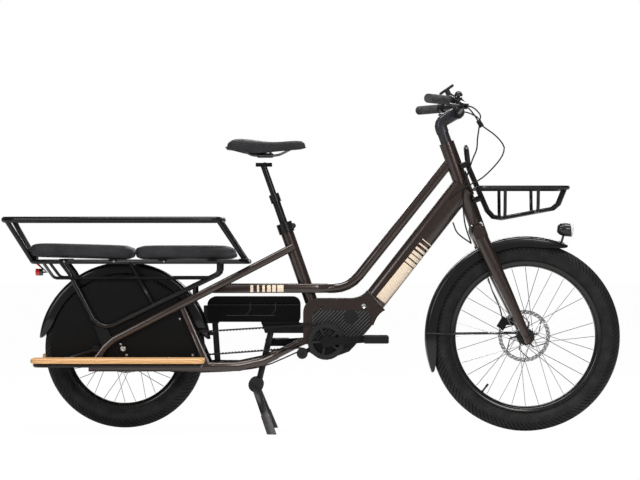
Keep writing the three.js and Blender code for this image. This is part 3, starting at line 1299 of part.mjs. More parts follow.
function idler() {
  const half = BELT_WIDTH / 2;
  const lip = IDLER_RADIUS + BELT_BACK;
  return turned([
    [IDLER_AXLE_RADIUS + GAP, BELT_Y - half - 2 * GAP], [IDLER_RADIUS, BELT_Y - half - 2 * GAP],
    [IDLER_RADIUS, BELT_Y + half + 2 * GAP], [lip, BELT_Y + half + 2 * GAP],
    [lip, BELT_Y + half + GUARD_THICKNESS], [IDLER_AXLE_RADIUS + GAP, BELT_Y + half + GUARD_THICKNESS],
    [IDLER_AXLE_RADIUS + GAP, BELT_Y - half - 2 * GAP],
  ], IDLER_X, IDLER_Z, 16);
}
// The plate and pin that carry the idler, bolted to the motor's face
function idlerArm() {
  const near = -CRADLE_HALF_WIDTH - GAP;
  const far = BELT_Y + BELT_WIDTH / 2 + GUARD_THICKNESS + GAP;
  const pinEnd = BELT_Y - BELT_WIDTH / 2 - GUARD_THICKNESS;
  const arm = sweep(softShape(near - far, STRAP_WIDTH / 2, GAP, 1), new BentPath([
    at(IDLER_X - IDLER_AXLE_RADIUS, (near + far) / 2, IDLER_Z - IDLER_AXLE_RADIUS),
    at(IDLER_ARM_TOP_X, (near + far) / 2, IDLER_ARM_TOP_Z),
  ], 0, ALONG_Y));
  const pin = rod(at(IDLER_X, near, IDLER_Z), at(IDLER_X, pinEnd, IDLER_Z), IDLER_AXLE_RADIUS, 12);
  const head = rod(
    at(IDLER_X, BELT_Y - BELT_WIDTH / 2 - 3 * GAP, IDLER_Z), at(IDLER_X, pinEnd, IDLER_Z),
    IDLER_AXLE_RADIUS * 2, 12,
  );
  return join(arm, pin, head);
}

// A crank arm from the spindle to the pedal, before it is turned to its place
function crankArm(s) {
  const near = s * (CRANK_Y - CRANK_THICKNESS / 2);
  const far = s * (CRANK_Y + CRANK_THICKNESS / 2);
  const shape = new THREE.Shape();
  const tip = CRANK_TIP_DEPTH / 2;
  const root = CRANK_ROOT_DEPTH / 2;
  shape.moveTo(0, -root);
  shape.lineTo(CRANK_LENGTH * 0.25, -tip);
  shape.lineTo(CRANK_LENGTH, -tip);
  shape.absarc(CRANK_LENGTH, 0, tip, -Math.PI / 2, Math.PI / 2, false);
  shape.lineTo(CRANK_LENGTH * 0.25, tip);
  shape.lineTo(0, root);
  shape.absarc(0, 0, CRANK_BOSS_RADIUS, Math.PI / 2, (Math.PI * 3) / 2, false);
  return plate(shape, near, far, 6);
}
function placeCrank(shape, s) {
  const angle = s < 0 ? -CRANK_ANGLE : 180 - CRANK_ANGLE;
  return shape.rotate([0, angle, 0]).translate([CRANK_X, 0, CRANK_Z]);
}
function crankRight() {
  const socket = rod(at(0, 0, 0), at(0, -CRANK_Y, 0), SPINDLE_RADIUS + 2 * GAP, 12);
  return placeCrank(cut(crankArm(-1), socket), -1);
}
function crankLeft() {
  const end = -CRANK_Y + GAP;
  const spindle = rod(
    at(0, end, 0), at(0, CRANK_Y - CRANK_THICKNESS / 2 + WELD_LAP, 0), SPINDLE_RADIUS, 12,
  );
  const collar = rod(
    at(0, CRADLE_HALF_WIDTH + 2 * GAP, 0), at(
      0, CRANK_Y - CRANK_THICKNESS / 2 + WELD_LAP, 0,
    ), CRANK_BOSS_RADIUS, 14,
  );
  return placeCrank(join(crankArm(1), spindle, collar), 1);
}
function pedalAxis(s) {
  const angle = rad(CRANK_ANGLE);
  return at(CRANK_X - s * CRANK_LENGTH * Math.cos(angle), 0, CRANK_Z - s * CRANK_LENGTH * Math.sin(angle));
}
function pedal(s) {
  const axis = pedalAxis(s);
  const outline = softShape(PEDAL_LENGTH, PEDAL_WIDTH, PEDAL_HEIGHT / 3, 2);
  const geometry = new THREE.ExtrudeGeometry(outline, {
    depth: PEDAL_HEIGHT - 2 * BOARD_ROUND, bevelThickness: BOARD_ROUND, bevelSize: BOARD_ROUND,
    bevelOffset: -BOARD_ROUND, bevelSegments: 1,
  });
  const body = solid(geometry.translate(axis.x, s * PEDAL_Y, axis.z - PEDAL_HEIGHT / 2 + BOARD_ROUND));
  const windows = [-1, 1].map((side) => solid(
    new THREE.BoxGeometry(PEDAL_LENGTH * 0.26, PEDAL_WIDTH * 0.66, PEDAL_HEIGHT * 2)
      .translate(axis.x + side * PEDAL_LENGTH * 0.28, s * PEDAL_Y, axis.z),
  ));
  const axle = rod(
    at(axis.x, s * (CRANK_Y + CRANK_THICKNESS / 2 + GAP), axis.z), at(axis.x, s * PEDAL_Y, axis.z),
    PEDAL_AXLE_RADIUS, 12,
  );
  return join(cut(body, ...windows), axle);
}

black("motor", join(motor(), idlerArm()));
piece("belt", belt(), GLOSS_BLACK, 0.7, 0);
black("front_sprocket", frontSprocket());
black("rear_sprocket", rearSprocket());
black("idler_pulley", idler());
black("crank_right", crankRight());
black("crank_left", crankLeft());
black("pedal_right", pedal(-1));
black("pedal_left", pedal(1));

// Wheels: each part is turned about its own axle
function tyre(axle, bead) {
  const bed = RIM_BED_WIDTH / 2 - GAP;
  const half = TYRE_WIDTH / 2;
  const tread = bead + TYRE_HEIGHT;
  const seat = bead + GAP;
  const outer = [
    [seat, bed], [bead + RIM_FLANGE + 2 * GAP, bed], [bead + TYRE_HEIGHT * 0.38, half * 0.97],
    [bead + TYRE_HEIGHT * 0.76, half * 0.92], [tread, TREAD_FLAT / 2],
  ];
  const inner = [
    [tread - TYRE_WALL, 0], [bead + TYRE_HEIGHT * 0.6, half - 1.5 * TYRE_WALL], [seat, bed - TYRE_WALL],
  ];
  const profile = [
    ...outer, ...outer.toReversed().map(([r, y]) => [r, -y]),
    ...inner.toReversed().map(([r, y]) => [r, -y]), ...inner.slice(1), outer[0],
  ];
  return turned(profile, axle.x, axle.z, WHEEL_SIDES);
}
function rim(axle, bead) {
  const flange = RIM_WIDTH / 2;
  const bed = RIM_BED_WIDTH / 2;
  const half = [
    [bead, bed], [bead + RIM_FLANGE, bed], [bead + RIM_FLANGE, flange], [bead - RIM_FLANGE / 2, flange],
    [bead - RIM_DEPTH, RIM_SPINE_WIDTH / 2],
  ];
  return turned(
    [...half, ...half.toReversed().map(([r, y]) => [r, -y]), half[0]], axle.x, axle.z, WHEEL_SIDES,
  );
}
function spokes(flangeRadius, flangeY, bead) {
  const made = [];
  for (let i = 0; i < SPOKES; i++) {
    const s = i % 2 ? 1 : -1;
    const pair = Math.floor(i / 2);
    const lead = pair % 2 ? SPOKE_LEAD : -SPOKE_LEAD;
    const rimAngle = rad((360 * i) / SPOKES);
    const hubAngle = rimAngle + rad(lead);
    const lane = (pair % 2 ? 1 : -1) * SPOKE_RADIUS * 1.15;
    const end = (bead - RIM_DEPTH) * Math.cos(Math.PI / WHEEL_SIDES) - 2 * GAP;
    const from = at(
      flangeRadius * Math.cos(hubAngle), s * (flangeY + lane), flangeRadius * Math.sin(hubAngle),
    );
    const to = at(end * Math.cos(rimAngle), s * (RIM_SPINE_WIDTH / 4 + lane), end * Math.sin(rimAngle));
    made.push(rod(from, to, SPOKE_RADIUS, 3));
  }
  return made;
}
function hub(axle, bead, flangeRadius, flangeY, shellRadius, half, steps) {
  const wall = FLANGE_THICKNESS / 2;
  const shell = turned([
    [0, -half], ...steps.right, [shellRadius, -flangeY - wall], [flangeRadius, -flangeY - wall],
    [flangeRadius, -flangeY + wall], [shellRadius, -flangeY + 2 * wall], [shellRadius, flangeY - 2 * wall],
    [flangeRadius, flangeY - wall], [flangeRadius, flangeY + wall], [shellRadius, flangeY + wall],
    ...steps.left, [0, half],
  ], 0, 0, 12);
  const laced = join(shell, ...spokes(flangeRadius - wall, flangeY, bead));
  const bore = rod(at(0, -OVERRUN * 3, 0), at(0, OVERRUN * 3, 0), AXLE_RADIUS + 2 * GAP, 8);
  return largest(cut(laced, bore)).translate([axle.x, 0, axle.z]);
}
function rotor(axle, y) {
  const arms = [];
  const ringInner = ROTOR_RADIUS - ROTOR_TRACK;
  const ringShape = new THREE.Shape();
  ringShape.absarc(0, 0, ROTOR_RADIUS, 0, 2 * Math.PI, false);
  const hole = new THREE.Path();
  hole.absarc(0, 0, ringInner, 0, 2 * Math.PI, true);
  ringShape.holes.push(hole);
  const low = y - ROTOR_THICKNESS / 2;
  const high = y + ROTOR_THICKNESS / 2;
  for (let i = 0; i < ROTOR_ARMS; i++) {
    const start = (i * 2 * Math.PI) / ROTOR_ARMS;
    const outline = [];
    for (const wide of [-0.5, 0.5]) {
      const line = [0, 0.5, 1].map((t) => {
        const radius = ROTOR_HUB_RADIUS - WELD_LAP + (ringInner + 2 * WELD_LAP - ROTOR_HUB_RADIUS) * t;
        const angle = start + t * t * rad(ROTOR_SWEEP) + (wide * ROTOR_ARM_WIDTH) / radius;
        return new THREE.Vector2(radius * Math.cos(angle), radius * Math.sin(angle));
      });
      outline.push(...(wide < 0 ? line : line.toReversed()));
    }
    arms.push(plate(outline, low, high));
  }
  const boss = rod(at(0, low, 0), at(0, high, 0), ROTOR_HUB_RADIUS, 12);
  const bore = rod(at(0, -OVERRUN * 3, 0), at(0, OVERRUN * 3, 0), ROTOR_SEAT_RADIUS + 2 * GAP, 12);
  return cut(join(plate(ringShape, low, high, 10), boss, ...arms), bore).translate([axle.x, 0, axle.z]);
}
const FRONT_HALF = FRONT_HUB_WIDTH / 2;
const REAR_HALF = REAR_HUB_WIDTH / 2;
const frontSteps = {
  right: [[HUB_END_RADIUS, -FRONT_HALF], [HUB_END_RADIUS, -FRONT_FLANGE_Y - FLANGE_THICKNESS * 2]],
  left: [
    [ROTOR_HUB_RADIUS, FRONT_FLANGE_Y + FLANGE_THICKNESS], [
      ROTOR_HUB_RADIUS, FRONT_ROTOR_Y - ROTOR_THICKNESS / 2 - GAP,
    ],
    [
      ROTOR_SEAT_RADIUS, FRONT_ROTOR_Y - ROTOR_THICKNESS / 2 - GAP,
    ], [ROTOR_SEAT_RADIUS, FRONT_ROTOR_Y + FLANGE_THICKNESS],
    [HUB_END_RADIUS, FRONT_ROTOR_Y + FLANGE_THICKNESS], [HUB_END_RADIUS, FRONT_HALF],
  ],
};
const rearSteps = {
  right: [
    [HUB_END_RADIUS, -REAR_HALF], [HUB_END_RADIUS, BELT_Y - SPROCKET_THICKNESS / 2],
    [DRIVER_RADIUS, BELT_Y - SPROCKET_THICKNESS / 2], [
      DRIVER_RADIUS, BELT_Y + SPROCKET_THICKNESS / 2 + GAP,
    ],
    [REAR_HUB_RADIUS - FLANGE_THICKNESS, BELT_Y + SPROCKET_THICKNESS],
  ],
  left: [
    [REAR_HUB_RADIUS, REAR_ROTOR_Y - FLANGE_THICKNESS * 2], [
      ROTOR_HUB_RADIUS, REAR_ROTOR_Y - ROTOR_THICKNESS / 2 - GAP,
    ],
    [
      ROTOR_SEAT_RADIUS, REAR_ROTOR_Y - ROTOR_THICKNESS / 2 - GAP,
    ], [ROTOR_SEAT_RADIUS, REAR_ROTOR_Y + FLANGE_THICKNESS],
    [HUB_END_RADIUS, REAR_ROTOR_Y + FLANGE_THICKNESS], [HUB_END_RADIUS, REAR_HALF],
  ],
};

piece("front_tyre", tyre(FRONT_AXLE, FRONT_BEAD_RADIUS), RUBBER, 0.9, 0);
piece("rear_tyre", tyre(REAR_AXLE, REAR_BEAD_RADIUS), RUBBER, 0.9, 0);
black("front_rim", rim(FRONT_AXLE, FRONT_BEAD_RADIUS));
black("rear_rim", rim(REAR_AXLE, REAR_BEAD_RADIUS));
black("front_hub", hub(
  FRONT_AXLE, FRONT_BEAD_RADIUS, FRONT_FLANGE_RADIUS, FRONT_FLANGE_Y, FRONT_HUB_RADIUS, FRONT_HALF, frontSteps,
));
black("rear_hub", hub(
  REAR_AXLE, REAR_BEAD_RADIUS, REAR_FLANGE_RADIUS, REAR_FLANGE_Y, REAR_HUB_RADIUS, REAR_HALF, rearSteps,
));
piece("front_rotor", rotor(FRONT_AXLE, FRONT_ROTOR_Y), STEEL, 0.35, 0.9);
piece("rear_rotor", rotor(REAR_AXLE, REAR_ROTOR_Y), STEEL, 0.35, 0.9);

// Fork: steerer, crown and two legs that taper to the axle
function forkLeg(s, extra = 0) {
  const top = onAxis(CROWN_RISE - CROWN_HEIGHT / 2, -FORK_LEG_LEAN, s * FORK_LEG_Y);
  const tip = FRONT_AXLE.clone().setY(s * FORK_LEG_Y);
  const along = tip.clone().sub(top).normalize();
  const ahead = at(-along.z, 0, along.x);
  const widths = [1, 1, 0.82, 0.62, 0.5];
  return skin([-0.02, 0.3, 0.62, 0.86, 1.05].map((share, i) => {
    const wide = FORK_TIP_WIDTH + (FORK_LEG_WIDTH - FORK_TIP_WIDTH) * (2 * widths[i] - 1);
    const deep = FORK_TIP_DEPTH + (FORK_LEG_DEPTH - FORK_TIP_DEPTH) * (2 * widths[i] - 1);
    const centre = top.clone().lerp(tip, share);
    return ring(centre, ALONG_Y, ahead, wide / 2 + extra, deep / 2 + extra, 10, 0.7);
  }));
}
function fork() {
  const steererTop = onAxis(STEM_ELBOW - STEM_DEPTH * 2);
  const steerer = rod(onAxis(CROWN_RISE - CROWN_HEIGHT / 2), steererTop, STEERER_RADIUS, 12);
  const seat = rod(onAxis(CROWN_RISE - CROWN_HEIGHT), onAxis(CROWN_RISE), HEAD_RADIUS, 16);
  const crown = skin([-1, -0.86, -0.6, 0.6, 0.86, 1].map((share) => {
    const deep = CROWN_DEPTH / 2 * (Math.abs(share) === 1 ? 0.78 : 1);
    const reach = FORK_LEG_Y + FORK_LEG_WIDTH / 2;
    const high = CROWN_HEIGHT * (Math.abs(share) === 1 ? 0.34 : 0.46);
    const drop = Math.abs(share) > 0.7 ? CROWN_HEIGHT * 0.14 : 0;
    const centre = onAxis(
      CROWN_RISE - CROWN_HEIGHT / 2 - drop, -FORK_LEG_LEAN * Math.abs(share), share * reach,
    );
    return ring(centre, AXIS_AHEAD, AXIS_UP, deep, high, 10, 0.7);
  }));
  const axle = rod(
    FRONT_AXLE.clone().setY(-FORK_LEG_Y - AXLE_NUT_LENGTH - FORK_TIP_WIDTH / 2),
    FRONT_AXLE.clone().setY(FORK_LEG_Y + AXLE_NUT_LENGTH + FORK_TIP_WIDTH / 2), AXLE_RADIUS, 8,
  );
  const room = frontWheelRoom();
  const made = join(steerer, seat, crown, forkLeg(-1), forkLeg(1));
  return largest(join(cut(made, room), axle));
}
// The space between the fork's legs, which the wheel and its guard fill
function frontWheelRoom() {
  const radius = FRONT_TYRE_RADIUS + MUDGUARD_CLEARANCE + MUDGUARD_THICKNESS + 2 * GAP;
  const half = FORK_LEG_Y - FORK_LEG_WIDTH / 2 - GAP;
  return turned([[0, -half], [radius, -half], [radius, half], [0, half]], FRONT_AXLE.x, FRONT_AXLE.z, 24);
}

// The stem: a black foot on the head tube, a leaning body and an arm to the bar's clamp
const BAR_CENTRE = at(BAR_X, 0, BAR_Z);
function stem() {
  const elbow = onAxis(STEM_ELBOW);
  const foot = onAxis(HEAD_TOP + STEM_FOOT - WELD_LAP);
  const body = sweep(softShape(STEM_WIDTH, STEM_DEPTH, STEM_WIDTH / 3, 2), new BentPath([
    foot, elbow, BAR_CENTRE,
  ], STEM_DEPTH / 2 + WELD_LAP, ALONG_Y, 18));
  const clamp = rod(
    BAR_CENTRE.clone().setY(-STEM_CLAMP_HALF), BAR_CENTRE.clone().setY(STEM_CLAMP_HALF), STEM_CLAMP_RADIUS, 20,
  );
  const cap = rod(
    onAxis(HEAD_TOP + GAP), foot.clone().addScaledVector(AXIS_UP, WELD_LAP), SPACER_RADIUS * 1.7, 18,
  );
  const barHole = rod(
    BAR_CENTRE.clone().setY(-OVERRUN * 2), BAR_CENTRE.clone().setY(OVERRUN * 2), BAR_CENTRE_RADIUS + GAP, 20,
  );
  const steererHole = rod(
    onAxis(HEAD_TOP - OVERRUN), onAxis(STEM_ELBOW - STEM_DEPTH * 2 + GAP), STEERER_RADIUS + GAP, 16,
  );
  return largest(cut(join(body, clamp, cap), barHole, steererHole));
}

// The bar, which rises and sweeps back to its grips
function barHalfPath(s) {
  return [
    BAR_CENTRE.clone(), at(
      BAR_X, s * BAR_CENTRE_HALF * 1.2, BAR_Z,
    ), at(BAR_RISE_X, s * BAR_RISE_Y, BAR_TIP_Z),
    at(BAR_TIP_X, s * BAR_TIP_Y, BAR_TIP_Z),
  ];
}
function alongGrip(s, distance) {
  const tip = at(BAR_TIP_X, s * BAR_TIP_Y, BAR_TIP_Z);
  const inward = at(BAR_RISE_X, s * BAR_RISE_Y, BAR_TIP_Z).sub(tip).normalize();
  return tip.addScaledVector(inward, distance);
}
function leverPlace(s) {
  return alongGrip(
    s, (BAR_TIP_Y - LEVER_Y) / Math.cos(Math.atan((BAR_RISE_X - BAR_TIP_X) / (BAR_TIP_Y - BAR_RISE_Y))),
  );
}
// Directions at a lever: along the bar towards the middle, ahead and slightly down, and up
function leverFrame(s) {
  const inward = at(BAR_RISE_X - BAR_TIP_X, s * (BAR_RISE_Y - BAR_TIP_Y), 0).normalize();
  const flat = s > 0 ? at(-inward.y, inward.x, 0) : at(inward.y, -inward.x, 0);
  const ahead = flat.multiplyScalar(Math.cos(rad(LEVER_DIP))).add(at(0, 0, -Math.sin(rad(LEVER_DIP))));
  const up = s > 0 ? inward.clone().cross(ahead).negate() : inward.clone().cross(ahead);
  return { inward, ahead, up };
}
function leverPivot(s) {
  const { inward, ahead } = leverFrame(s);
  return leverPlace(s).addScaledVector(ahead, LEVER_REACH * 0.62).addScaledVector(
    inward, LEVER_BODY_LENGTH * 0.4,
  );
}
// A box in the lever's own directions, about a point
function leverBox(s, centre, length, depth, height) {
  const { inward, ahead, up } = leverFrame(s);
  const basis = s > 0 ? new THREE.Matrix4().makeBasis(inward, up, ahead) : new THREE.Matrix4().makeBasis(inward, ahead, up);
  const size = s > 0 ? [length, height, depth] : [length, depth, height];
  const geometry = new THREE.BoxGeometry(...size).applyMatrix4(basis);
  return solid(geometry.translate(centre.x, centre.y, centre.z));
}
function leverMount(s) {
  const { inward, ahead, up } = leverFrame(s);
  const place = leverPlace(s);
  const half = LEVER_CLAMP_WIDTH / 2;
  const clamp = rod(
    place.clone().addScaledVector(inward, -half), place.clone().addScaledVector(inward, half), LEVER_CLAMP_RADIUS, 12,
  );
  const pivot = leverPivot(s);
  const middle = place.clone().lerp(pivot, 0.6).addScaledVector(inward, half);
  const body = leverBox(s, middle, LEVER_BODY_LENGTH, LEVER_REACH * 0.8, LEVER_BODY_WIDTH);
  const slot = leverBox(
    s, pivot.clone().addScaledVector(inward, -LEVER_LENGTH * 0.38).addScaledVector(ahead, LEVER_DEPTH * 0.6),
    LEVER_LENGTH, LEVER_DEPTH * 3, LEVER_THICKNESS + 2 * GAP,
  );
  const pin = rod(
    pivot.clone().addScaledVector(
      up, -LEVER_BODY_WIDTH / 2 + GAP,
    ), pivot.clone().addScaledVector(up, LEVER_BODY_WIDTH / 2 - GAP),
    LEVER_PIN_RADIUS * 0.6, 8,
  );
  return join(clamp, cut(body, slot), pin);
}
function brakeLever(s) {
  const { inward, ahead, up } = leverFrame(s);
  const pivot = leverPivot(s);
  const outline = [[0, -0.5], [0.1, -0.62], [0.2, -0.5], [0.55, 0.1], [0.93, 0], [1, 0.2]];
  const near = outline.map(([share, rise]) => [share * LEVER_LENGTH, rise * LEVER_DEPTH]);
  const rings = near.map(([out, forward], i) => {
    const centre = pivot.clone().addScaledVector(inward, LEVER_DEPTH * 0.5 - out)
      .addScaledVector(ahead, forward + LEVER_DEPTH * 0.5);
    return ring(centre, ahead, up, LEVER_DEPTH * (i ? 0.5 : 0.45), LEVER_THICKNESS / 2, 8, 0.6);
  });
  const eye = rod(
    pivot.clone().addScaledVector(up, -LEVER_THICKNESS / 2), pivot.clone().addScaledVector(up, LEVER_THICKNESS / 2),
    LEVER_PIN_RADIUS + WELD_LAP / 2, 10,
  );
  const hole = rod(
    pivot.clone().addScaledVector(up, -LEVER_BODY_WIDTH), pivot.clone().addScaledVector(up, LEVER_BODY_WIDTH),
    LEVER_PIN_RADIUS * 0.6 + 2 * GAP, 8,
  );
  return largest(cut(join(skin(rings), eye), hole));
}
function bell() {
  const foot = barAt(-BELL_Y);
  const base = foot.clone().add(at(0, 0, BAR_RADIUS * 0.7));
  const top = base.z + BELL_HEIGHT * 1.6;
  const post = rod(base, at(foot.x, foot.y, top - BELL_HEIGHT / 2), BELL_RADIUS * 0.4, 10);
  const dome = new THREE.LatheGeometry([
    [0, 0], [1, 0], [1, 0.35], [0.8, 0.72], [0.45, 0.94], [0, 1],
  ].map(([r, h]) => new THREE.Vector2(r * BELL_RADIUS, h * BELL_HEIGHT)), 12).rotateX(Math.PI / 2);
  const band = sweep(
    softShape(LEVER_CLAMP_WIDTH, 2 * BAR_RADIUS + WELD_LAP, WELD_LAP, 1),
    new BentPath(
      [foot.clone().add(at(0, 0, -BAR_RADIUS * 1.2)), foot.clone().add(at(0, 0, BAR_RADIUS * 1.2))], 0,
      ALONG_Y,
    ),
  );
  return join(solid(dome.translate(foot.x, foot.y, top - BELL_HEIGHT)), post, band);
}
function barAt(y) {
  const share = (Math.abs(y) - BAR_RISE_Y) / (BAR_TIP_Y - BAR_RISE_Y);
  return at(BAR_RISE_X, Math.sign(y) * BAR_RISE_Y, BAR_TIP_Z).lerp(
    at(BAR_TIP_X, Math.sign(y) * BAR_TIP_Y, BAR_TIP_Z), share,
  );
}
function handlebar() {
  const halves = SIDES.map(([, s]) => tube(barHalfPath(s), BAR_RADIUS, BAR_BEND_RADIUS, ALONG_Z, 10, 20));
  const centre = rod(
    BAR_CENTRE.clone().setY(-BAR_CENTRE_HALF), BAR_CENTRE.clone().setY(BAR_CENTRE_HALF), BAR_CENTRE_RADIUS, 20,
  );
  return join(...halves, centre, leverMount(-1), leverMount(1), bell());
}
function grip(s) {
  const end = alongGrip(s, -GRIP_CAP);
  const inner = alongGrip(s, GRIP_LENGTH);
  const seat = rod(
    alongGrip(s, -GAP), alongGrip(s, GRIP_LENGTH + OVERRUN), BAR_RADIUS / Math.cos(Math.PI / 10) + 2 * GAP,
    12,
  );
  const lip = rod(alongGrip(s, GRIP_LENGTH - GRIP_CAP), inner, GRIP_RADIUS + WELD_LAP / 2, 12);
  return cut(join(rod(end, inner, GRIP_RADIUS, 12), lip), seat);
}
function display() {
  const lean = at(Math.cos(rad(DISPLAY_TILT)), 0, Math.sin(rad(DISPLAY_TILT)));
  const centre = at(DISPLAY_X, 0, DISPLAY_Z);
  const slab = sweep(softShape(DISPLAY_WIDTH, DISPLAY_THICKNESS, WELD_LAP, 1), new BentPath([
    centre.clone().addScaledVector(lean, -DISPLAY_LENGTH / 2), centre.clone().addScaledVector(lean, DISPLAY_LENGTH / 2),
  ], 0, ALONG_Y));
  const armY = STEM_CLAMP_HALF + GAP + DISPLAY_THICKNESS / 2;
  const arms = SIDES.map(([, s]) => rod(
    BAR_CENTRE.clone().setY(s * (armY - DISPLAY_THICKNESS / 2)), BAR_CENTRE.clone().setY(s * (armY + DISPLAY_THICKNESS / 2)),
    STEM_CLAMP_RADIUS, 12,
  ));
  const cheeks = SIDES.map(([, s]) => sweep(softShape(
    DISPLAY_THICKNESS, DISPLAY_NECK * 0.8, 1, 1,
  ), new BentPath([
    BAR_CENTRE.clone().setY(s * armY), centre.clone().setY(s * armY),
  ], 0, ALONG_Y)));
  return largest(cut(join(slab, ...arms, ...cheeks), handleClear(), stemClear()));
}
function handleClear() {
  return rod(
    BAR_CENTRE.clone().setY(-OVERRUN * 2), BAR_CENTRE.clone().setY(OVERRUN * 2), BAR_CENTRE_RADIUS + GAP,
    20,
  );
}
function stemClear() {
  return rod(
    BAR_CENTRE.clone().setY(-STEM_CLAMP_HALF - GAP), BAR_CENTRE.clone().setY(STEM_CLAMP_HALF + GAP),
    STEM_CLAMP_RADIUS + GAP, 20,
  );
}

// Mudguards: a channel that follows the tyre and runs out to a point at both ends
function guardBlank(axle, treadRadius, from, to, tipDegrees) {
  const outer = treadRadius + MUDGUARD_CLEARANCE + MUDGUARD_THICKNESS;
  const steps = Math.round((to - from) / 15);
  const angles = [from];
  for (let i = 1; i < steps; i++) angles.push(from + ((to - from) * i) / steps);
  angles.push(to);
  angles.splice(1, 0, from + tipDegrees / 2);
  angles.splice(angles.length - 1, 0, to - tipDegrees / 2);
  angles.sort((a, b) => a - b);
  const wall = MUDGUARD_THICKNESS;
  const wide = MUDGUARD_HALF_WIDTH;
  return skin(angles.map((degrees) => {
    const nearest = Math.min(degrees - from, to - degrees) / tipDegrees;
    const side = MUDGUARD_SIDE * Math.min(1, 0.3 + 0.7 * Math.sqrt(Math.max(0, nearest)));
    const half = [
      [wide, side], [wide, GUARD_SHOULDER], [wide * 0.62, 0],
    ];
    const under = [
      [wide * 0.62 - wall / 3, wall], [wide - wall, GUARD_SHOULDER + wall / 2], [wide - wall, side],
    ];
    const outline = [
      ...half, ...half.toReversed().map(([y, deep]) => [-y, deep]),
      ...under.toReversed().map(([y, deep]) => [-y, deep]), ...under,
    ];
    const radial = at(Math.cos(rad(degrees)), 0, Math.sin(rad(degrees)));
    return outline.map(([y, deep]) => axle.clone().addScaledVector(radial, outer - deep).setY(y));
  }));
}
function frontMudguard() {
  const outer = FRONT_TYRE_RADIUS + MUDGUARD_CLEARANCE + MUDGUARD_THICKNESS;
  const guard = guardBlank(FRONT_AXLE, FRONT_TYRE_RADIUS, FRONT_GUARD_FROM, FRONT_GUARD_TO, 20);
  const crownBottom = onAxis(CROWN_RISE - CROWN_HEIGHT - GAP);
  const boss = rod(onAxis(GUARD_BOSS_RISE), crownBottom, GUARD_BOSS_RADIUS, 12);
  const room = turned([
    [0, -MUDGUARD_HALF_WIDTH], [
      outer - WELD_LAP / 2, -MUDGUARD_HALF_WIDTH,
    ], [outer - WELD_LAP / 2, MUDGUARD_HALF_WIDTH],
    [0, MUDGUARD_HALF_WIDTH],
  ], FRONT_AXLE.x, FRONT_AXLE.z, 48);
  const stays = SIDES.map(([, s]) => tube([
    guardPoint(FRONT_STAY_ANGLE, outer - MUDGUARD_SIDE / 2, s * (MUDGUARD_HALF_WIDTH - INSET)),
    guardPoint(FRONT_STAY_ANGLE, outer - MUDGUARD_SIDE * 2, s * GUARD_STAY_Y),
    FRONT_AXLE.clone().add(at(-GUARD_STAY_FOOT, 0, GUARD_STAY_FOOT / 2)).setY(s * GUARD_STAY_Y),
  ], GUARD_STAY_RADIUS, 0, null, 6));
  return largest(join(guard, cut(boss, room), ...stays));
}
function guardPoint(degrees, radius, y) {
  return at(
    FRONT_AXLE.x + radius * Math.cos(rad(degrees)), y, FRONT_AXLE.z + radius * Math.sin(rad(degrees)),
  );
}
function headlight() {
  const axis = at(Math.cos(rad(HEADLIGHT_DIP)), 0, -Math.sin(rad(HEADLIGHT_DIP)));
  const face = at(HEADLIGHT_FACE_X, 0, HEADLIGHT_FACE_Z);
  const geometry = new THREE.LatheGeometry([
    [0, 0], [0.55, 0], [0.85, 0.14], [1, 0.4], [1, 0.94], [0.93, 1], [0.86, 0.97], [0, 0.93],
  ].map(([r, h]) => new THREE.Vector2(r * HEADLIGHT_RADIUS, (h - 1) * HEADLIGHT_LENGTH)), 14);
  geometry.applyQuaternion(new THREE.Quaternion().setFromUnitVectors(ALONG_Y, axis));
  const shell = solid(geometry.translate(face.x, face.y, face.z));
  const middle = face.clone().addScaledVector(axis, -HEADLIGHT_LENGTH / 2);
  const outer = FRONT_TYRE_RADIUS + MUDGUARD_CLEARANCE + MUDGUARD_THICKNESS;
  const sunk = outer * Math.cos(rad(LIGHT_FOOT_DEGREES)) + GAP;
  const foot = guardPoint(FRONT_GUARD_FROM + LIGHT_FOOT_DEGREES, sunk, 0);
  const outward = foot.clone().sub(FRONT_AXLE).normalize();
  const pad = rod(foot, foot.clone().addScaledVector(outward, WELD_LAP), HEADLIGHT_RADIUS / 2, 12);
  const post = rod(foot.clone().addScaledVector(outward, 1), middle, HEADLIGHT_BRACKET_RADIUS, 10);
  return join(shell, pad, post);
}

painted("fork", fork());
painted("stem", stem());
black("handlebar", handlebar());
for (const [side, s] of SIDES) {
  piece("grip_" + side, grip(s), RUBBER, 0.8, 0);
  black("brake_lever_" + side, brakeLever(s));
}
black("display", display());
piece("front_mudguard", frontMudguard(), GLOSS_BLACK, 0.25, 0.3);
black("headlight", headlight());

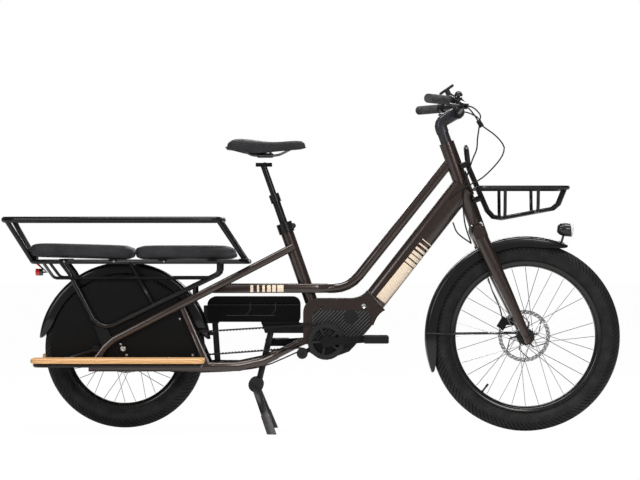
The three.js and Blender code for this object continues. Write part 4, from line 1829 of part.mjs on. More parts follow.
// Seat posts: the outer one slides in the seat tube, the inner one drops into the outer
function seatClamp() {
  const low = onSeatTube(SEAT_CLAMP_HEIGHT - WELD_LAP);
  const ringBody = rod(low, onSeatTube(-GAP), SEAT_CLAMP_RADIUS, 18);
  const lugs = SIDES.map(([, s]) => rod(
    onSeatTube(SEAT_CLAMP_HEIGHT / 2, SEAT_CLAMP_RADIUS, s * WELD_LAP / 2),
    onSeatTube(
      SEAT_CLAMP_HEIGHT / 2, SEAT_CLAMP_RADIUS, s * SEAT_TUBE_RADIUS * 0.7,
    ), SEAT_CLAMP_HEIGHT / 4, 10,
  ));
  const tubeRoom = rod(
    onSeatTube(SEAT_CLAMP_HEIGHT + OVERRUN), onSeatTube(-OVERRUN), SEAT_TUBE_RADIUS + GAP, 18,
  );
  return largest(cut(join(ringBody, ...lugs), tubeRoom));
}
function outerPost() {
  const top = onSeatTube(-SEAT_POST_TOP);
  const post = rod(onSeatTube(SEAT_POST_DEPTH), top, SEAT_POST_RADIUS, 14);
  const collar = rod(top.clone().addScaledVector(SEAT_UP, -WELD_LAP), onSeatTube(-SEAT_POST_TOP - COLLAR_HEIGHT_SEAT),
    COLLAR_RADIUS_SEAT, 14);
  const bore = rod(
    onSeatTube(SEAT_POST_DEPTH + OVERRUN), onSeatTube(-SEAT_POST_TOP - OVERRUN * 2), INNER_BORE_RADIUS, 12,
  );
  return cut(join(post, collar), bore);
}
function innerPost() {
  const foot = onSeatTube(-SEAT_POST_TOP - COLLAR_HEIGHT_SEAT + INNER_POST_DEPTH);
  const head = onSeatTube(-SEAT_POST_TOP - COLLAR_HEIGHT_SEAT - INNER_POST_SHOWN);
  const post = rod(
    foot, head.clone().addScaledVector(SEAT_UP, SADDLE_CLAMP_HEIGHT / 2), INNER_POST_RADIUS - GAP, 12,
  );
  const yoke = block(
    at(head.x - SADDLE_CLAMP_LENGTH / 2, -SADDLE_CLAMP_WIDTH / 4, head.z),
    at(head.x + SADDLE_CLAMP_LENGTH / 2, SADDLE_CLAMP_WIDTH / 4, head.z + SADDLE_CLAMP_HEIGHT / 2),
  );
  return join(post, yoke);
}
// The saddle: rings from its tail to its nose, with rails and a clamp below
function saddle() {
  const head = onSeatTube(-SEAT_POST_TOP - COLLAR_HEIGHT_SEAT - INNER_POST_SHOWN);
  const rings = SADDLE_RING_SHARES.map(([lengthShare, widthShare, topShare, depthShare]) => {
    const x = SADDLE_REAR_X + lengthShare * SADDLE_LENGTH;
    const half = widthShare * SADDLE_HALF_WIDTH;
    const top = SADDLE_TOP_Z - topShare * SADDLE_SKIRT;
    const deep = depthShare * SADDLE_SKIRT;
    const over = [[1, -1], [1.0, -0.55], [0.86, -0.14], [0.45, 0], [0, -0.03]];
    const under = [[0, -0.62], [0.55, -0.68], [0.9, -0.98]];
    const right = over.map(([w, h]) => at(x, half * w, top + h * deep));
    const inner = under.map(([w, h]) => at(x, half * w, top + h * deep));
    const mirror = (points) => points.map((p) => at(p.x, -p.y, p.z));
    return [
      ...right, ...mirror(right.slice(0, -1)).toReversed(), ...mirror(inner.slice(1)).toReversed(), ...inner,
    ];
  });
  const shell = skin(rings);
  const railZ = head.z + SADDLE_CLAMP_HEIGHT / 2 + SADDLE_RAIL_RADIUS + GAP;
  const rails = SIDES.map(([, s]) => tube([
    at(SADDLE_REAR_X + SADDLE_LENGTH * 0.16, s * SADDLE_RAIL_Y * 1.6, SADDLE_TOP_Z - SADDLE_SKIRT * 0.5),
    at(head.x - SADDLE_CLAMP_LENGTH * 0.7, s * SADDLE_RAIL_Y, railZ),
    at(head.x + SADDLE_CLAMP_LENGTH * 0.8, s * SADDLE_RAIL_Y, railZ),
    at(SADDLE_REAR_X + SADDLE_LENGTH * 0.86, s * SADDLE_RAIL_RADIUS, SADDLE_TOP_Z - SADDLE_SKIRT * 0.45),
  ], SADDLE_RAIL_RADIUS, 20, ALONG_Y, 6));
  const clamp = block(
    at(head.x - SADDLE_CLAMP_LENGTH / 2, -SADDLE_CLAMP_WIDTH / 2, head.z + SADDLE_CLAMP_HEIGHT / 2 + GAP),
    at(head.x + SADDLE_CLAMP_LENGTH / 2, SADDLE_CLAMP_WIDTH / 2, head.z + SADDLE_CLAMP_HEIGHT),
  );
  const postTop = rod(onSeatTube(0), head.clone().addScaledVector(SEAT_UP, SADDLE_CLAMP_HEIGHT / 2 + GAP),
    INNER_POST_RADIUS + GAP, 12);
  return largest(cut(join(shell, ...rails, clamp), postTop));
}

painted("seat_clamp", seatClamp());
black("seatpost_outer", outerPost());
black("seatpost_inner", innerPost());
piece("saddle", saddle(), LEATHER, 0.75, 0);

// Basket of bent tube on the head tube
function basket() {
  const y = BASKET_STEM_Y;
  const elbow = onAxis(BASKET_ELBOW_RISE, BASKET_ELBOW_AHEAD);
  const stemLoop = SIDES.map(([, s]) => tube([
    at(BASKET_RIM_FRONT_X, s * y, BASKET_RIM_Z), at(BASKET_FLOOR_FRONT_X, s * y, BASKET_FLOOR_FRONT_Z),
    elbow.clone().setY(s * y), onAxis(BASKET_NECK_RISE, BASKET_NECK_AHEAD, s * y),
    onAxis(BASKET_TOP_RISE, BASKET_TOP_AHEAD, s * y), onAxis(
      BASKET_TOP_RISE, BASKET_TOP_AHEAD, -s * WELD_LAP,
    ),
  ], BASKET_TUBE_RADIUS, [
    BASKET_CORNER, BASKET_STEM_BEND, BASKET_STEM_BEND, BASKET_CORNER * 0.8,
  ], null, 6, 45));
  const rim = flatLoop(
    BASKET_RIM_REAR_X, BASKET_RIM_FRONT_X, -BASKET_HALF_WIDTH, BASKET_HALF_WIDTH, BASKET_RIM_Z,
    BASKET_TUBE_RADIUS, BASKET_CORNER, 6,
  );
  const hoops = HOOP_XS_SHARES.map((share) => {
    const x = BASKET_RIM_REAR_X + share * (BASKET_RIM_FRONT_X - BASKET_RIM_REAR_X);
    const floor = elbow.z + (BASKET_FLOOR_FRONT_Z - elbow.z) * (x - elbow.x) / (BASKET_FLOOR_FRONT_X - elbow.x);
    return tube([
      at(x, -BASKET_HALF_WIDTH, BASKET_RIM_Z), at(x, -BASKET_HALF_WIDTH * 0.92, floor),
      at(x, BASKET_HALF_WIDTH * 0.92, floor), at(x, BASKET_HALF_WIDTH, BASKET_RIM_Z),
    ], BASKET_TUBE_RADIUS - INSET, BASKET_CORNER, at(1, 0, 0), 6, 45);
  });
  const clamps = [BASKET_CLAMP_LOW, BASKET_CLAMP_HIGH].map((rise) => sweep(
    softShape(2 * y + BASKET_TUBE_RADIUS, BASKET_CLAMP_HEIGHT, WELD_LAP, 1),
    new BentPath(
      [onAxis(rise, HEAD_RADIUS * 0.6), onAxis(rise, BASKET_NECK_AHEAD + BASKET_TUBE_RADIUS)], 0, ALONG_Y,
    ),
  ));
  const headRoom = rod(onAxis(CROWN_RISE), onAxis(HEAD_TOP + OVERRUN), HEAD_RADIUS + GAP, 20);
  return largest(cut(join(...stemLoop, rim, ...hoops, ...clamps), headRoom));
}

// Battery with its crease, between a plate in front and a holder behind
function batteryOutline(extra) {
  const shape = new THREE.Shape();
  const left = BATTERY_REAR_X - extra;
  const right = BATTERY_FRONT_X + extra;
  const low = BATTERY_BOTTOM_Z - extra;
  const high = BATTERY_TOP_Z + extra;
  const corner = BATTERY_CORNER + extra;
  shape.moveTo(left, low + corner / 2);
  shape.absarc(left + corner / 2, low + corner / 2, corner / 2, Math.PI, Math.PI * 1.5, false);
  shape.lineTo(right - corner / 2, low);
  shape.absarc(right - corner / 2, low + corner / 2, corner / 2, -Math.PI / 2, 0, false);
  shape.absarc(right - corner, high - corner, corner, 0, Math.PI / 2, false);
  shape.absarc(left + corner, high - corner, corner, Math.PI / 2, Math.PI, false);
  return shape;
}
function battery() {
  const body = plate(batteryOutline(0), -BATTERY_HALF_WIDTH, BATTERY_HALF_WIDTH, 4);
  const grooves = SIDES.map(([, s]) => block(
    at(
      BATTERY_REAR_X - OVERRUN, s * (BATTERY_HALF_WIDTH - BATTERY_CREASE),
      BATTERY_CREASE_Z - BATTERY_CREASE / 2,
    ),
    at(
      BATTERY_FRONT_X + OVERRUN, s * (BATTERY_HALF_WIDTH + OVERRUN), BATTERY_CREASE_Z + BATTERY_CREASE / 2,
    ),
  ));
  return cut(body, ...grooves);
}
function batteryBlank(extra) {
  return plate(batteryOutline(extra), -BATTERY_HALF_WIDTH - OVERRUN, BATTERY_HALF_WIDTH + OVERRUN, 4);
}

// The post that carries the stand, with the tray and the latch under the battery's front
function standPost() {
  const trayBottom = BATTERY_BOTTOM_Z - GAP - TRAY_THICKNESS;
  const tray = block(
    at(TRAY_FRONT_X - TRAY_FRONT_LENGTH, -TRAY_HALF_WIDTH, trayBottom),
    at(TRAY_FRONT_X, TRAY_HALF_WIDTH, BATTERY_BOTTOM_Z - GAP),
  );
  const body = plate([
    new THREE.Vector2(TRAY_FRONT_X - TRAY_FRONT_LENGTH, trayBottom + INSET),
    new THREE.Vector2(TRAY_FRONT_X, trayBottom + INSET),
    new THREE.Vector2(CRADLE_LEFT_X - GAP, trayBottom + INSET),
    new THREE.Vector2(CRADLE_LEFT_X - GAP, TRAY_BLOCK_Z),
    new THREE.Vector2(TRAY_FRONT_X - TRAY_FRONT_LENGTH * 0.9, TRAY_BLOCK_Z),
  ], -TRAY_BLOCK_HALF_WIDTH, TRAY_BLOCK_HALF_WIDTH);
  const knob = rod(
    at(
      LATCH_X, -TRAY_HALF_WIDTH, (trayBottom + TRAY_BLOCK_Z) / 2,
    ), at(LATCH_X, 0, (trayBottom + TRAY_BLOCK_Z) / 2),
    LATCH_RADIUS, 14,
  );
  const post = bar([
    at(STAND_POST_TOP_X, 0, TRAY_BLOCK_Z + WELD_LAP * 2), at(STAND_X + STAND_POST_WIDTH / 3, 0, STAND_Z),
  ], STAND_POST_WIDTH, STAND_POST_WIDTH, WELD_LAP, 0);
  const rungY = LOWER_RAIL_Y;
  const rung = rod(at(RUNG_X, -rungY, RUNG_Z), at(RUNG_X, rungY, RUNG_Z), BRIDGE_RADIUS * 0.8, 12);
  const barrel = rod(
    at(
      STAND_X, -STAND_BARREL_HALF, STAND_Z,
    ), at(STAND_X, STAND_BARREL_HALF, STAND_Z), STAND_BARREL_RADIUS, 16,
  );
  const bore = rod(
    at(STAND_X, -OVERRUN * 2, STAND_Z), at(STAND_X, OVERRUN * 2, STAND_Z), STAND_AXLE_RADIUS + 2 * GAP, 12,
  );
  const rails = SIDES.map(([, s]) => lowerRailBlank(s, GAP));
  const cradleRoom = cradleBlank(GAP);
  return largest(cut(join(tray, body, knob, post, rung, barrel), bore, ...rails, cradleRoom));
}
function rearBracket() {
  const bridge = rod(
    at(BRIDGE_X, -LOWER_RAIL_Y, BRIDGE_Z), at(BRIDGE_X, LOWER_RAIL_Y, BRIDGE_Z), BRIDGE_RADIUS, 12,
  );
  const post = bar([
    at(BRIDGE_X, 0, BRIDGE_Z), at(REAR_POST_TOP_X, 0, BATTERY_BOTTOM_Z - GAP - TRAY_THICKNESS / 2),
  ], REAR_POST_WIDTH, REAR_POST_WIDTH, WELD_LAP);
  const shelf = block(
    at(HOLDER_REAR_X, -TRAY_HALF_WIDTH, BATTERY_BOTTOM_Z - GAP - TRAY_THICKNESS),
    at(HOLDER_REAR_X + HOLDER_LENGTH, TRAY_HALF_WIDTH, BATTERY_BOTTOM_Z + HOLDER_RISE),
  );
  const guardBoss = block(
    at(
      REAR_AXLE.x + REAR_GUARD_OUTER * Math.cos(rad(GUARD_FOOT_ANGLE)) - OVERRUN / 4, -REAR_POST_WIDTH / 2,
      GUARD_FOOT_Z - WELD_LAP * 2,
    ),
    at(BRIDGE_X - REAR_POST_WIDTH / 4, REAR_POST_WIDTH / 2, GUARD_FOOT_Z + WELD_LAP * 2),
  );
  const guardRoom = rod(
    at(0, -MUDGUARD_HALF_WIDTH * 2, REAR_AXLE_HEIGHT), at(0, MUDGUARD_HALF_WIDTH * 2, REAR_AXLE_HEIGHT),
    REAR_GUARD_OUTER + 3 * GAP, 60,
  );
  const rails = SIDES.map(([, s]) => lowerRailBlank(s, GAP));
  const holder = largest(cut(shelf, batteryBlank(GAP)));
  return largest(cut(join(bridge, post, holder, guardBoss), ...rails, guardRoom));
}

// Two-leg stand: a hub at each side on a shared axle, legs that spread to the floor, sleeves on the feet
function kickstand() {
  const axle = rod(
    at(STAND_X, -STAND_LEG_ROOT_Y, STAND_Z), at(STAND_X, STAND_LEG_ROOT_Y, STAND_Z), STAND_AXLE_RADIUS, 12,
  );
  const legs = SIDES.flatMap(([, s]) => {
    const hub = rod(
      at(
        STAND_X, s * (STAND_BARREL_HALF + GAP), STAND_Z,
      ), at(STAND_X, s * STAND_HUB_END, STAND_Z), STAND_DRUM_RADIUS, 18,
    );
    const root = at(STAND_X, s * STAND_LEG_ROOT_Y, STAND_Z - STAND_DRUM_RADIUS * 0.4);
    const foot = at(STAND_FOOT_X, s * STAND_FOOT_Y, -STAND_LEG_DEPTH);
    const share = (STAND_SLEEVE_LENGTH + STAND_LEG_DEPTH) / root.distanceTo(foot);
    const sleeveTop = foot.clone().lerp(root, share);
    const thick = STAND_SLEEVE_WALL * 2;
    return [
      hub, bar([root, foot], STAND_LEG_WIDTH, STAND_LEG_DEPTH, WELD_LAP, 0),
      bar([sleeveTop, foot], STAND_LEG_WIDTH + thick, STAND_LEG_DEPTH + thick, WELD_LAP * 1.5, 0),
    ];
  });
  const floor = block(
    at(STAND_X - OVERRUN * 5, -STAND_FOOT_Y * 2, 0), at(
      STAND_FOOT_X + OVERRUN * 3, STAND_FOOT_Y * 2, -OVERRUN * 3,
    ),
  );
  const room = block(
    at(STAND_X - OVERRUN, -STAND_BARREL_HALF - GAP, STAND_Z - STAND_BARREL_RADIUS * 2),
    at(STAND_X + OVERRUN, STAND_BARREL_HALF + GAP, STAND_Z + STAND_BARREL_RADIUS * 2),
  );
  return largest(cut(join(axle, ...legs.map((leg) => cut(leg, room))), floor));
}

// Rear guard, wheel panels and rear light
const REAR_GUARD_OUTER = REAR_BEAD_RADIUS + TYRE_HEIGHT + MUDGUARD_CLEARANCE + MUDGUARD_THICKNESS;
function rearMudguard() {
  const guard = guardBlank(REAR_AXLE, REAR_BEAD_RADIUS + TYRE_HEIGHT, REAR_GUARD_FROM, REAR_GUARD_TO, 14);
  const boss = rod(
    at(GUARD_HANGER_X, 0, REAR_AXLE_HEIGHT + REAR_GUARD_OUTER - WELD_LAP * 1.3),
    at(GUARD_HANGER_X, 0, STRAP_TOP_Z - STRAP_THICKNESS - GAP), GUARD_BOSS_RADIUS, 12,
  );
  return join(guard, boss);
}
function wheelPanel(s) {
  const shape = new THREE.Shape();
  const drop = Math.asin((REAR_AXLE_HEIGHT - PANEL_BOTTOM_Z) / PANEL_RADIUS);
  shape.absarc(0, REAR_AXLE_HEIGHT, PANEL_RADIUS, -drop, Math.PI + drop, false);
  const face = s * (PANEL_INNER_Y + PANEL_THICKNESS);
  const disc = plate(shape, s * PANEL_INNER_Y, face, 14);
  const axleCap = rod(at(0, s * PANEL_INNER_Y, REAR_AXLE_HEIGHT), at(
    0, face + s * AXLE_NUT_LENGTH, REAR_AXLE_HEIGHT,
  ),
    AXLE_NUT_RADIUS * 1.4, 16);
  const screws = PANEL_SCREWS.map(([x, z]) => rod(
    at(x, s * PANEL_INNER_Y, z), at(x, face + s * SCREW_PROUD, z), SCREW_RADIUS, 8,
  ));
  const hole = rod(
    at(0, s * DROPOUT_INNER_Y, REAR_AXLE_HEIGHT), at(
      0, face + s * SCREW_PROUD, REAR_AXLE_HEIGHT,
    ), AXLE_RADIUS + GAP, 12,
  );
  const made = cut(join(disc, axleCap, ...screws), hole, upperStayBlank(s, GAP), lowerRailBlank(s, GAP));
  return largest(made);
}
function rearLight() {
  const lamp = rod(
    at(REAR_LIGHT_X, 0, REAR_LIGHT_Z), at(
      REAR_LIGHT_X + REAR_LIGHT_LENGTH, 0, REAR_LIGHT_Z,
    ), REAR_LIGHT_RADIUS, 16,
  );
  const arm = tube([
    at(REAR_LIGHT_X + REAR_LIGHT_LENGTH - WELD_LAP, 0, REAR_LIGHT_Z), at(LIGHT_ARM_X, 0, REAR_LIGHT_Z),
    at(DECK_REAR_X, 0, DECK_Z),
  ], LIGHT_BRACKET_RADIUS, 0, ALONG_Y, 8);
  return largest(cut(join(lamp, arm), deckBlank(GAP)));
}

painted("basket", basket());
piece("battery", battery(), GLOSS_BLACK, 0.4, 0.2);
black("stand_post", standPost());
black("rear_bracket", rearBracket());
black("kickstand", kickstand());
piece("rear_mudguard", rearMudguard(), GLOSS_BLACK, 0.25, 0.3);
for (const [side, s] of SIDES) piece("wheel_panel_" + side, wheelPanel(s), GLOSS_BLACK, 0.3, 0.2);
piece("rear_light", rearLight(), RED, 0.3, 0);

// Disc brakes: each a caliper astride its rotor, with its hose held along the frame
function caliper(centre, along, up, rotorY) {
  const basis = new THREE.Matrix4().makeBasis(along, ALONG_Y, up);
  const block = (length, width, height, dy, du) => {
    const geometry = new THREE.BoxGeometry(length, width, height).applyMatrix4(basis);
    return solid(geometry.translate(centre.x + up.x * du, rotorY + dy, centre.z + up.z * du));
  };
  const body = block(CALIPER_LENGTH, CALIPER_WIDTH, CALIPER_DEPTH, 0, 0);
  const slot = block(CALIPER_LENGTH * 2, CALIPER_SLOT, CALIPER_DEPTH, 0, -CALIPER_DEPTH * 0.08);
  return cut(body, slot);
}
function frontBrake() {
  const place = at(CALIPER_FRONT_X, 0, CALIPER_FRONT_Z);
  const outward = place.clone().sub(FRONT_AXLE.clone().setY(0)).normalize();
  const along = at(-outward.z, 0, outward.x);
  const body = caliper(place, along, outward, FRONT_ROTOR_Y);
  const arm = plate([
    new THREE.Vector2(CALIPER_FRONT_X - CALIPER_DEPTH / 3, CALIPER_FRONT_Z - CALIPER_DEPTH / 3),
    new THREE.Vector2(FRONT_AXLE.x - FORK_LEG_DEPTH / 2, CALIPER_FRONT_Z - CALIPER_DEPTH / 4),
    new THREE.Vector2(FRONT_AXLE.x - FORK_LEG_DEPTH / 2, CALIPER_FRONT_Z + CALIPER_DEPTH),
    new THREE.Vector2(CALIPER_FRONT_X + CALIPER_DEPTH / 3, CALIPER_FRONT_Z + CALIPER_DEPTH / 3),
  ], FRONT_ROTOR_Y + CALIPER_WIDTH / 2 - WELD_LAP, FORK_LEG_Y - WELD_LAP);
  const hose = hoseTube(FRONT_HOSE);
  return largest(cut(join(body, arm, hose), forkLeg(1, GAP), guardRoomFront()));
}
function guardRoomFront() {
  const outer = FRONT_TYRE_RADIUS + MUDGUARD_CLEARANCE + MUDGUARD_THICKNESS + GAP;
  const inner = outer - MUDGUARD_SIDE - 2 * GAP;
  return turned([
    [inner, 0], [outer, 0], [
      outer, MUDGUARD_HALF_WIDTH + GAP,
    ], [inner, MUDGUARD_HALF_WIDTH + GAP], [inner, 0],
  ], FRONT_AXLE.x, FRONT_AXLE.z, 48);
}
function hoseTube(points) {
  const path = new THREE.CatmullRomCurve3(points.map(([x, y, z]) => at(x, y, z)), false, "centripetal");
  const spaced = path.getPoints(points.length * HOSE_STEPS);
  return sweep(roundShape(HOSE_RADIUS, 5), new BentPath(spaced, 0));
}
function rearBrake() {
  const place = at(CALIPER_REAR_X, 0, CALIPER_REAR_Z);
  const outward = place.clone().sub(REAR_AXLE).normalize();
  const along = at(-outward.z, 0, outward.x);
  const body = caliper(place, along, outward, REAR_ROTOR_Y);
  const arm = plate([
    new THREE.Vector2(CALIPER_REAR_X - CALIPER_DEPTH / 3, CALIPER_REAR_Z - CALIPER_DEPTH / 3),
    new THREE.Vector2(CALIPER_REAR_X + CALIPER_DEPTH / 2, CALIPER_REAR_Z - CALIPER_DEPTH / 2),
    new THREE.Vector2(CALIPER_REAR_X + CALIPER_DEPTH, LOWER_RAIL_Z),
    new THREE.Vector2(CALIPER_REAR_X - CALIPER_DEPTH / 3, LOWER_RAIL_Z),
  ], REAR_ROTOR_Y + CALIPER_WIDTH / 2 - WELD_LAP, PANEL_INNER_Y - GAP);
  const foot = block(
    at(CALIPER_REAR_X - CALIPER_DEPTH / 3, PANEL_INNER_Y - WELD_LAP, LOWER_RAIL_Z - WELD_LAP),
    at(CALIPER_REAR_X + CALIPER_DEPTH, LOWER_RAIL_Y, LOWER_RAIL_Z + WELD_LAP * 2),
  );
  const shape = join(body, arm, foot, hoseTube(REAR_HOSE));
  return largest(cut(shape, upperStayBlank(1, GAP), lowerRailBlank(1, GAP)));
}
function cableBundle() {
  return join(
    ...CABLE_ROUTES.map((route) => hoseTube(route)), rod(at(...TIE_FROM), at(...TIE_TO), TIE_RADIUS, 8),
  );
}

piece("cable_bundle", cableBundle(), BLACK, 0.6, 0);
piece("front_brake", frontBrake(), BLACK, 0.5, 0.2);
piece("rear_brake", rearBrake(), BLACK, 0.5, 0.2);

export default bike;
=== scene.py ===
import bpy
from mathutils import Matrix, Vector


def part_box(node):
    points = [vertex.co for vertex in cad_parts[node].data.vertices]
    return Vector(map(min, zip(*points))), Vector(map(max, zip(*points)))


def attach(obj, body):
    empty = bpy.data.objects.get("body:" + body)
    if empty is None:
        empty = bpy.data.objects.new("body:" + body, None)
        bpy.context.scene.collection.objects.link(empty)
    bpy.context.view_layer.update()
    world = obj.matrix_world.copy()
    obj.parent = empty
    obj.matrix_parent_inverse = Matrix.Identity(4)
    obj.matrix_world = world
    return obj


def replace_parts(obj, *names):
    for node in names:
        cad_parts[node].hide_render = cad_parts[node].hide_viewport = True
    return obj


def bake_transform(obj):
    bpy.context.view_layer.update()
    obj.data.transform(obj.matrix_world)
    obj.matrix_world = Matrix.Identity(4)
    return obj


bl_info = {
    "name": "Longtail cargo bike looks",
    "version": (1, 0, 0),
    "blender": (4, 5, 0),
    "location": "View3D > Sidebar > Cargo bike",
    "description": "Finishes, soft parts, cables and small parts of a longtail cargo bike, and its studio",
    "category": "Object",
}

import math

import bmesh
import bpy
from mathutils import Matrix, Vector

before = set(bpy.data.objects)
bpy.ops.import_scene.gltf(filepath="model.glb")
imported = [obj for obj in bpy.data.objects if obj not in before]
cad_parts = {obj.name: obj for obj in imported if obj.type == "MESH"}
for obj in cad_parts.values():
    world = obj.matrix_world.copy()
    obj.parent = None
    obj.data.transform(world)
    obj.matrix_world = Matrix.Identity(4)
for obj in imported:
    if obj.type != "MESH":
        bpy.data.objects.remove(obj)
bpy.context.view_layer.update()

# Places are given from the rear axle (x) and the floor (z), in millimetres, as a workshop drawing does.
MM = 0.001
REAR_AXLE_TO_MIDDLE = 640.0
REAR_AXLE = (0.0, 285.0)
FRONT_AXLE = (1371.0, 324.0)
CRANK_AXLE = (688.0, 309.5)
RIGHT, LEFT = -1, 1
SIDES = ((RIGHT, "right"), (LEFT, "left"))


def place(x, y, z):
    """A point of the bike, in metres, from its place in millimetres."""
    return Vector(((x - REAR_AXLE_TO_MIDDLE) * MM, y * MM, z * MM))


def pair(name):
    """The names of a right and a left node."""
    return [name + "_right", name + "_left"]


def grey(level, blue=None):
    """A neutral colour, or one whose blue differs a little."""
    return (level, level, blue or level)


# Settings that a user would change


def colour_setting(name, about, default):
    return bpy.props.FloatVectorProperty(
        name=name, description=about, subtype="COLOR", size=3, min=0.0, max=1.0, default=default)


def length_setting(name, about, default):
    return bpy.props.FloatProperty(name=name, description=about, default=default, unit="LENGTH")


def number_setting(name, about, default, least, kind=bpy.props.FloatProperty):
    return kind(name=name, description=about, default=default, min=least)


class BikePaint(bpy.types.PropertyGroup):
    """Colours of the bike's finishes"""

    frame_colour: colour_setting("Frame paint", "Colour of the metallic frame paint", (0.021, 0.0125, 0.010))
    flake_colour: colour_setting("Paint flakes", "Colour of the flakes in the paint", (0.070, 0.046, 0.039))
    stripe_colour: colour_setting("Stripes", "Colour of the graduated stripes", (0.735, 0.60, 0.46))
    rack_colour: colour_setting("Rack paint", "Colour of the satin black tubes", (0.0035, 0.0035, 0.004))
    oak_light: colour_setting("Oak, light", "Light grain of the running boards", (0.70, 0.40, 0.175))
    oak_dark: colour_setting("Oak, dark", "Dark grain of the running boards", (0.44, 0.215, 0.078))
    cover_colour: colour_setting("Seat cover", "Colour of the seats' cover", (0.0165, 0.0165, 0.0185))


class BikeWheels(bpy.types.PropertyGroup):
    """Sizes of the tyres and rims"""

    tyre_half_width: length_setting("Tyre half width", "Half of the width of a tyre", 0.0348)
    tyre_wall: length_setting("Tyre wall", "Thickness of a tyre's wall", 0.0045)
    front_sipes: number_setting(
        "Front sipes", "Number of slanted cuts round the front tyre", 124, 8, bpy.props.IntProperty)
    rear_sipes: number_setting(
        "Rear sipes", "Number of slanted cuts round the rear tyre", 104, 8, bpy.props.IntProperty)
    turn_steps: number_setting(
        "Steps round a wheel", "Segments that a tyre or a rim is turned in", 144, 24, bpy.props.IntProperty)


class BikeSoft(bpy.types.PropertyGroup):
    """Settings of the cushions"""

    voxel: length_setting("Remesh size", "Voxel size of a cushion before it is puffed", 0.005)
    shrink: length_setting("Shrink", "How far a cushion is drawn in before it is puffed", 0.0025)
    cap: length_setting("Puff", "How far a cushion's cover may swell", 0.0045)
    pressure: number_setting("Pressure", "Pressure inside a cushion", 2.4, 0.0)


class BikeStudio(bpy.types.PropertyGroup):
    """Camera and lamps"""

    distance: length_setting("Camera distance", "From the camera to the bike's middle plane", 7.9)
    height: length_setting("Camera height", "Height of the camera over the floor", 0.637)
    aside: length_setting("Camera place", "How far ahead of the bike's middle the camera stands", 0.0276)
    lens: number_setting("Lens", "Focal length in millimetres", 129.7, 10.0)
    lamp_level: number_setting("Lamp level", "Share by which all the lamps are turned up or down", 1.0, 0.0)


# Shader maths


def maths(operation, turned=False):
    """A method that adds a Math node to a link and what the method is given."""
    def method(self, *others):
        values = [*others, self] if turned else [self, *others]
        return self.tree.add("ShaderNodeMath", {"operation": operation}, values)
    return method


class Link:
    """One socket of a node tree, on which + - * / ** < > and abs add Math nodes."""

    def __init__(self, tree, socket):
        self.tree = tree
        self.socket = socket

    __add__, __radd__ = maths("ADD"), maths("ADD", turned=True)
    __sub__, __rsub__ = maths("SUBTRACT"), maths("SUBTRACT", turned=True)
    __mul__, __rmul__ = maths("MULTIPLY"), maths("MULTIPLY", turned=True)
    __truediv__, __rtruediv__ = maths("DIVIDE"), maths("DIVIDE", turned=True)
    __gt__, __lt__ = maths("GREATER_THAN"), maths("LESS_THAN")
    __pow__, __abs__ = maths("POWER"), maths("ABSOLUTE")
    saw, wave = maths("FRACT"), maths("SINE")
    most, angle = maths("MAXIMUM"), maths("ARCTAN2")

    def between(self, low, high):
        """1 from low to high, else 0."""
        return (self > low) * (self < high)

    def ramp(self, low, high, start=0.0, end=1.0):
        """Climbs smoothly from start to end while the value goes from low to high."""
        return self.tree.add("ShaderNodeMapRange", {"interpolation_type": "SMOOTHSTEP", "clamp": True}, {
            "Value": self, "From Min": low, "From Max": high, "To Min": start, "To Max": end}, out="Result")


def reach(a, b):
    """The length of a line whose two legs are links."""
    return (a * a + b * b) ** 0.5


class Tree:
    """The nodes of a material, a world or a modifier."""

    def __init__(self, tree):
        self.tree = tree
        tree.nodes.clear()

    def give(self, socket, value):
        """Links a socket, or sets its value. A colour of three numbers is made opaque."""
        if isinstance(value, Link):
            self.tree.links.new(value.socket, socket)
        elif value is not None:
            if hasattr(value, "__len__") and len(value) == 3 and len(socket.default_value) == 4:
                value = (*value, 1.0)
            socket.default_value = value

    def add(self, kind, settings=None, values=(), out=0):
        """A node of that kind, with its settings, and its sockets given values or links."""
        node = self.tree.nodes.new(kind)
        for setting, value in (settings or {}).items():
            setattr(node, setting, value)
        for socket, value in values.items() if hasattr(values, "items") else enumerate(values):
            self.give(node.inputs[socket], value)
        return Link(self, node.outputs[out]) if node.outputs else None


def socket_name(words):
    return words.replace("_", " ").title().replace("Ior", "IOR")


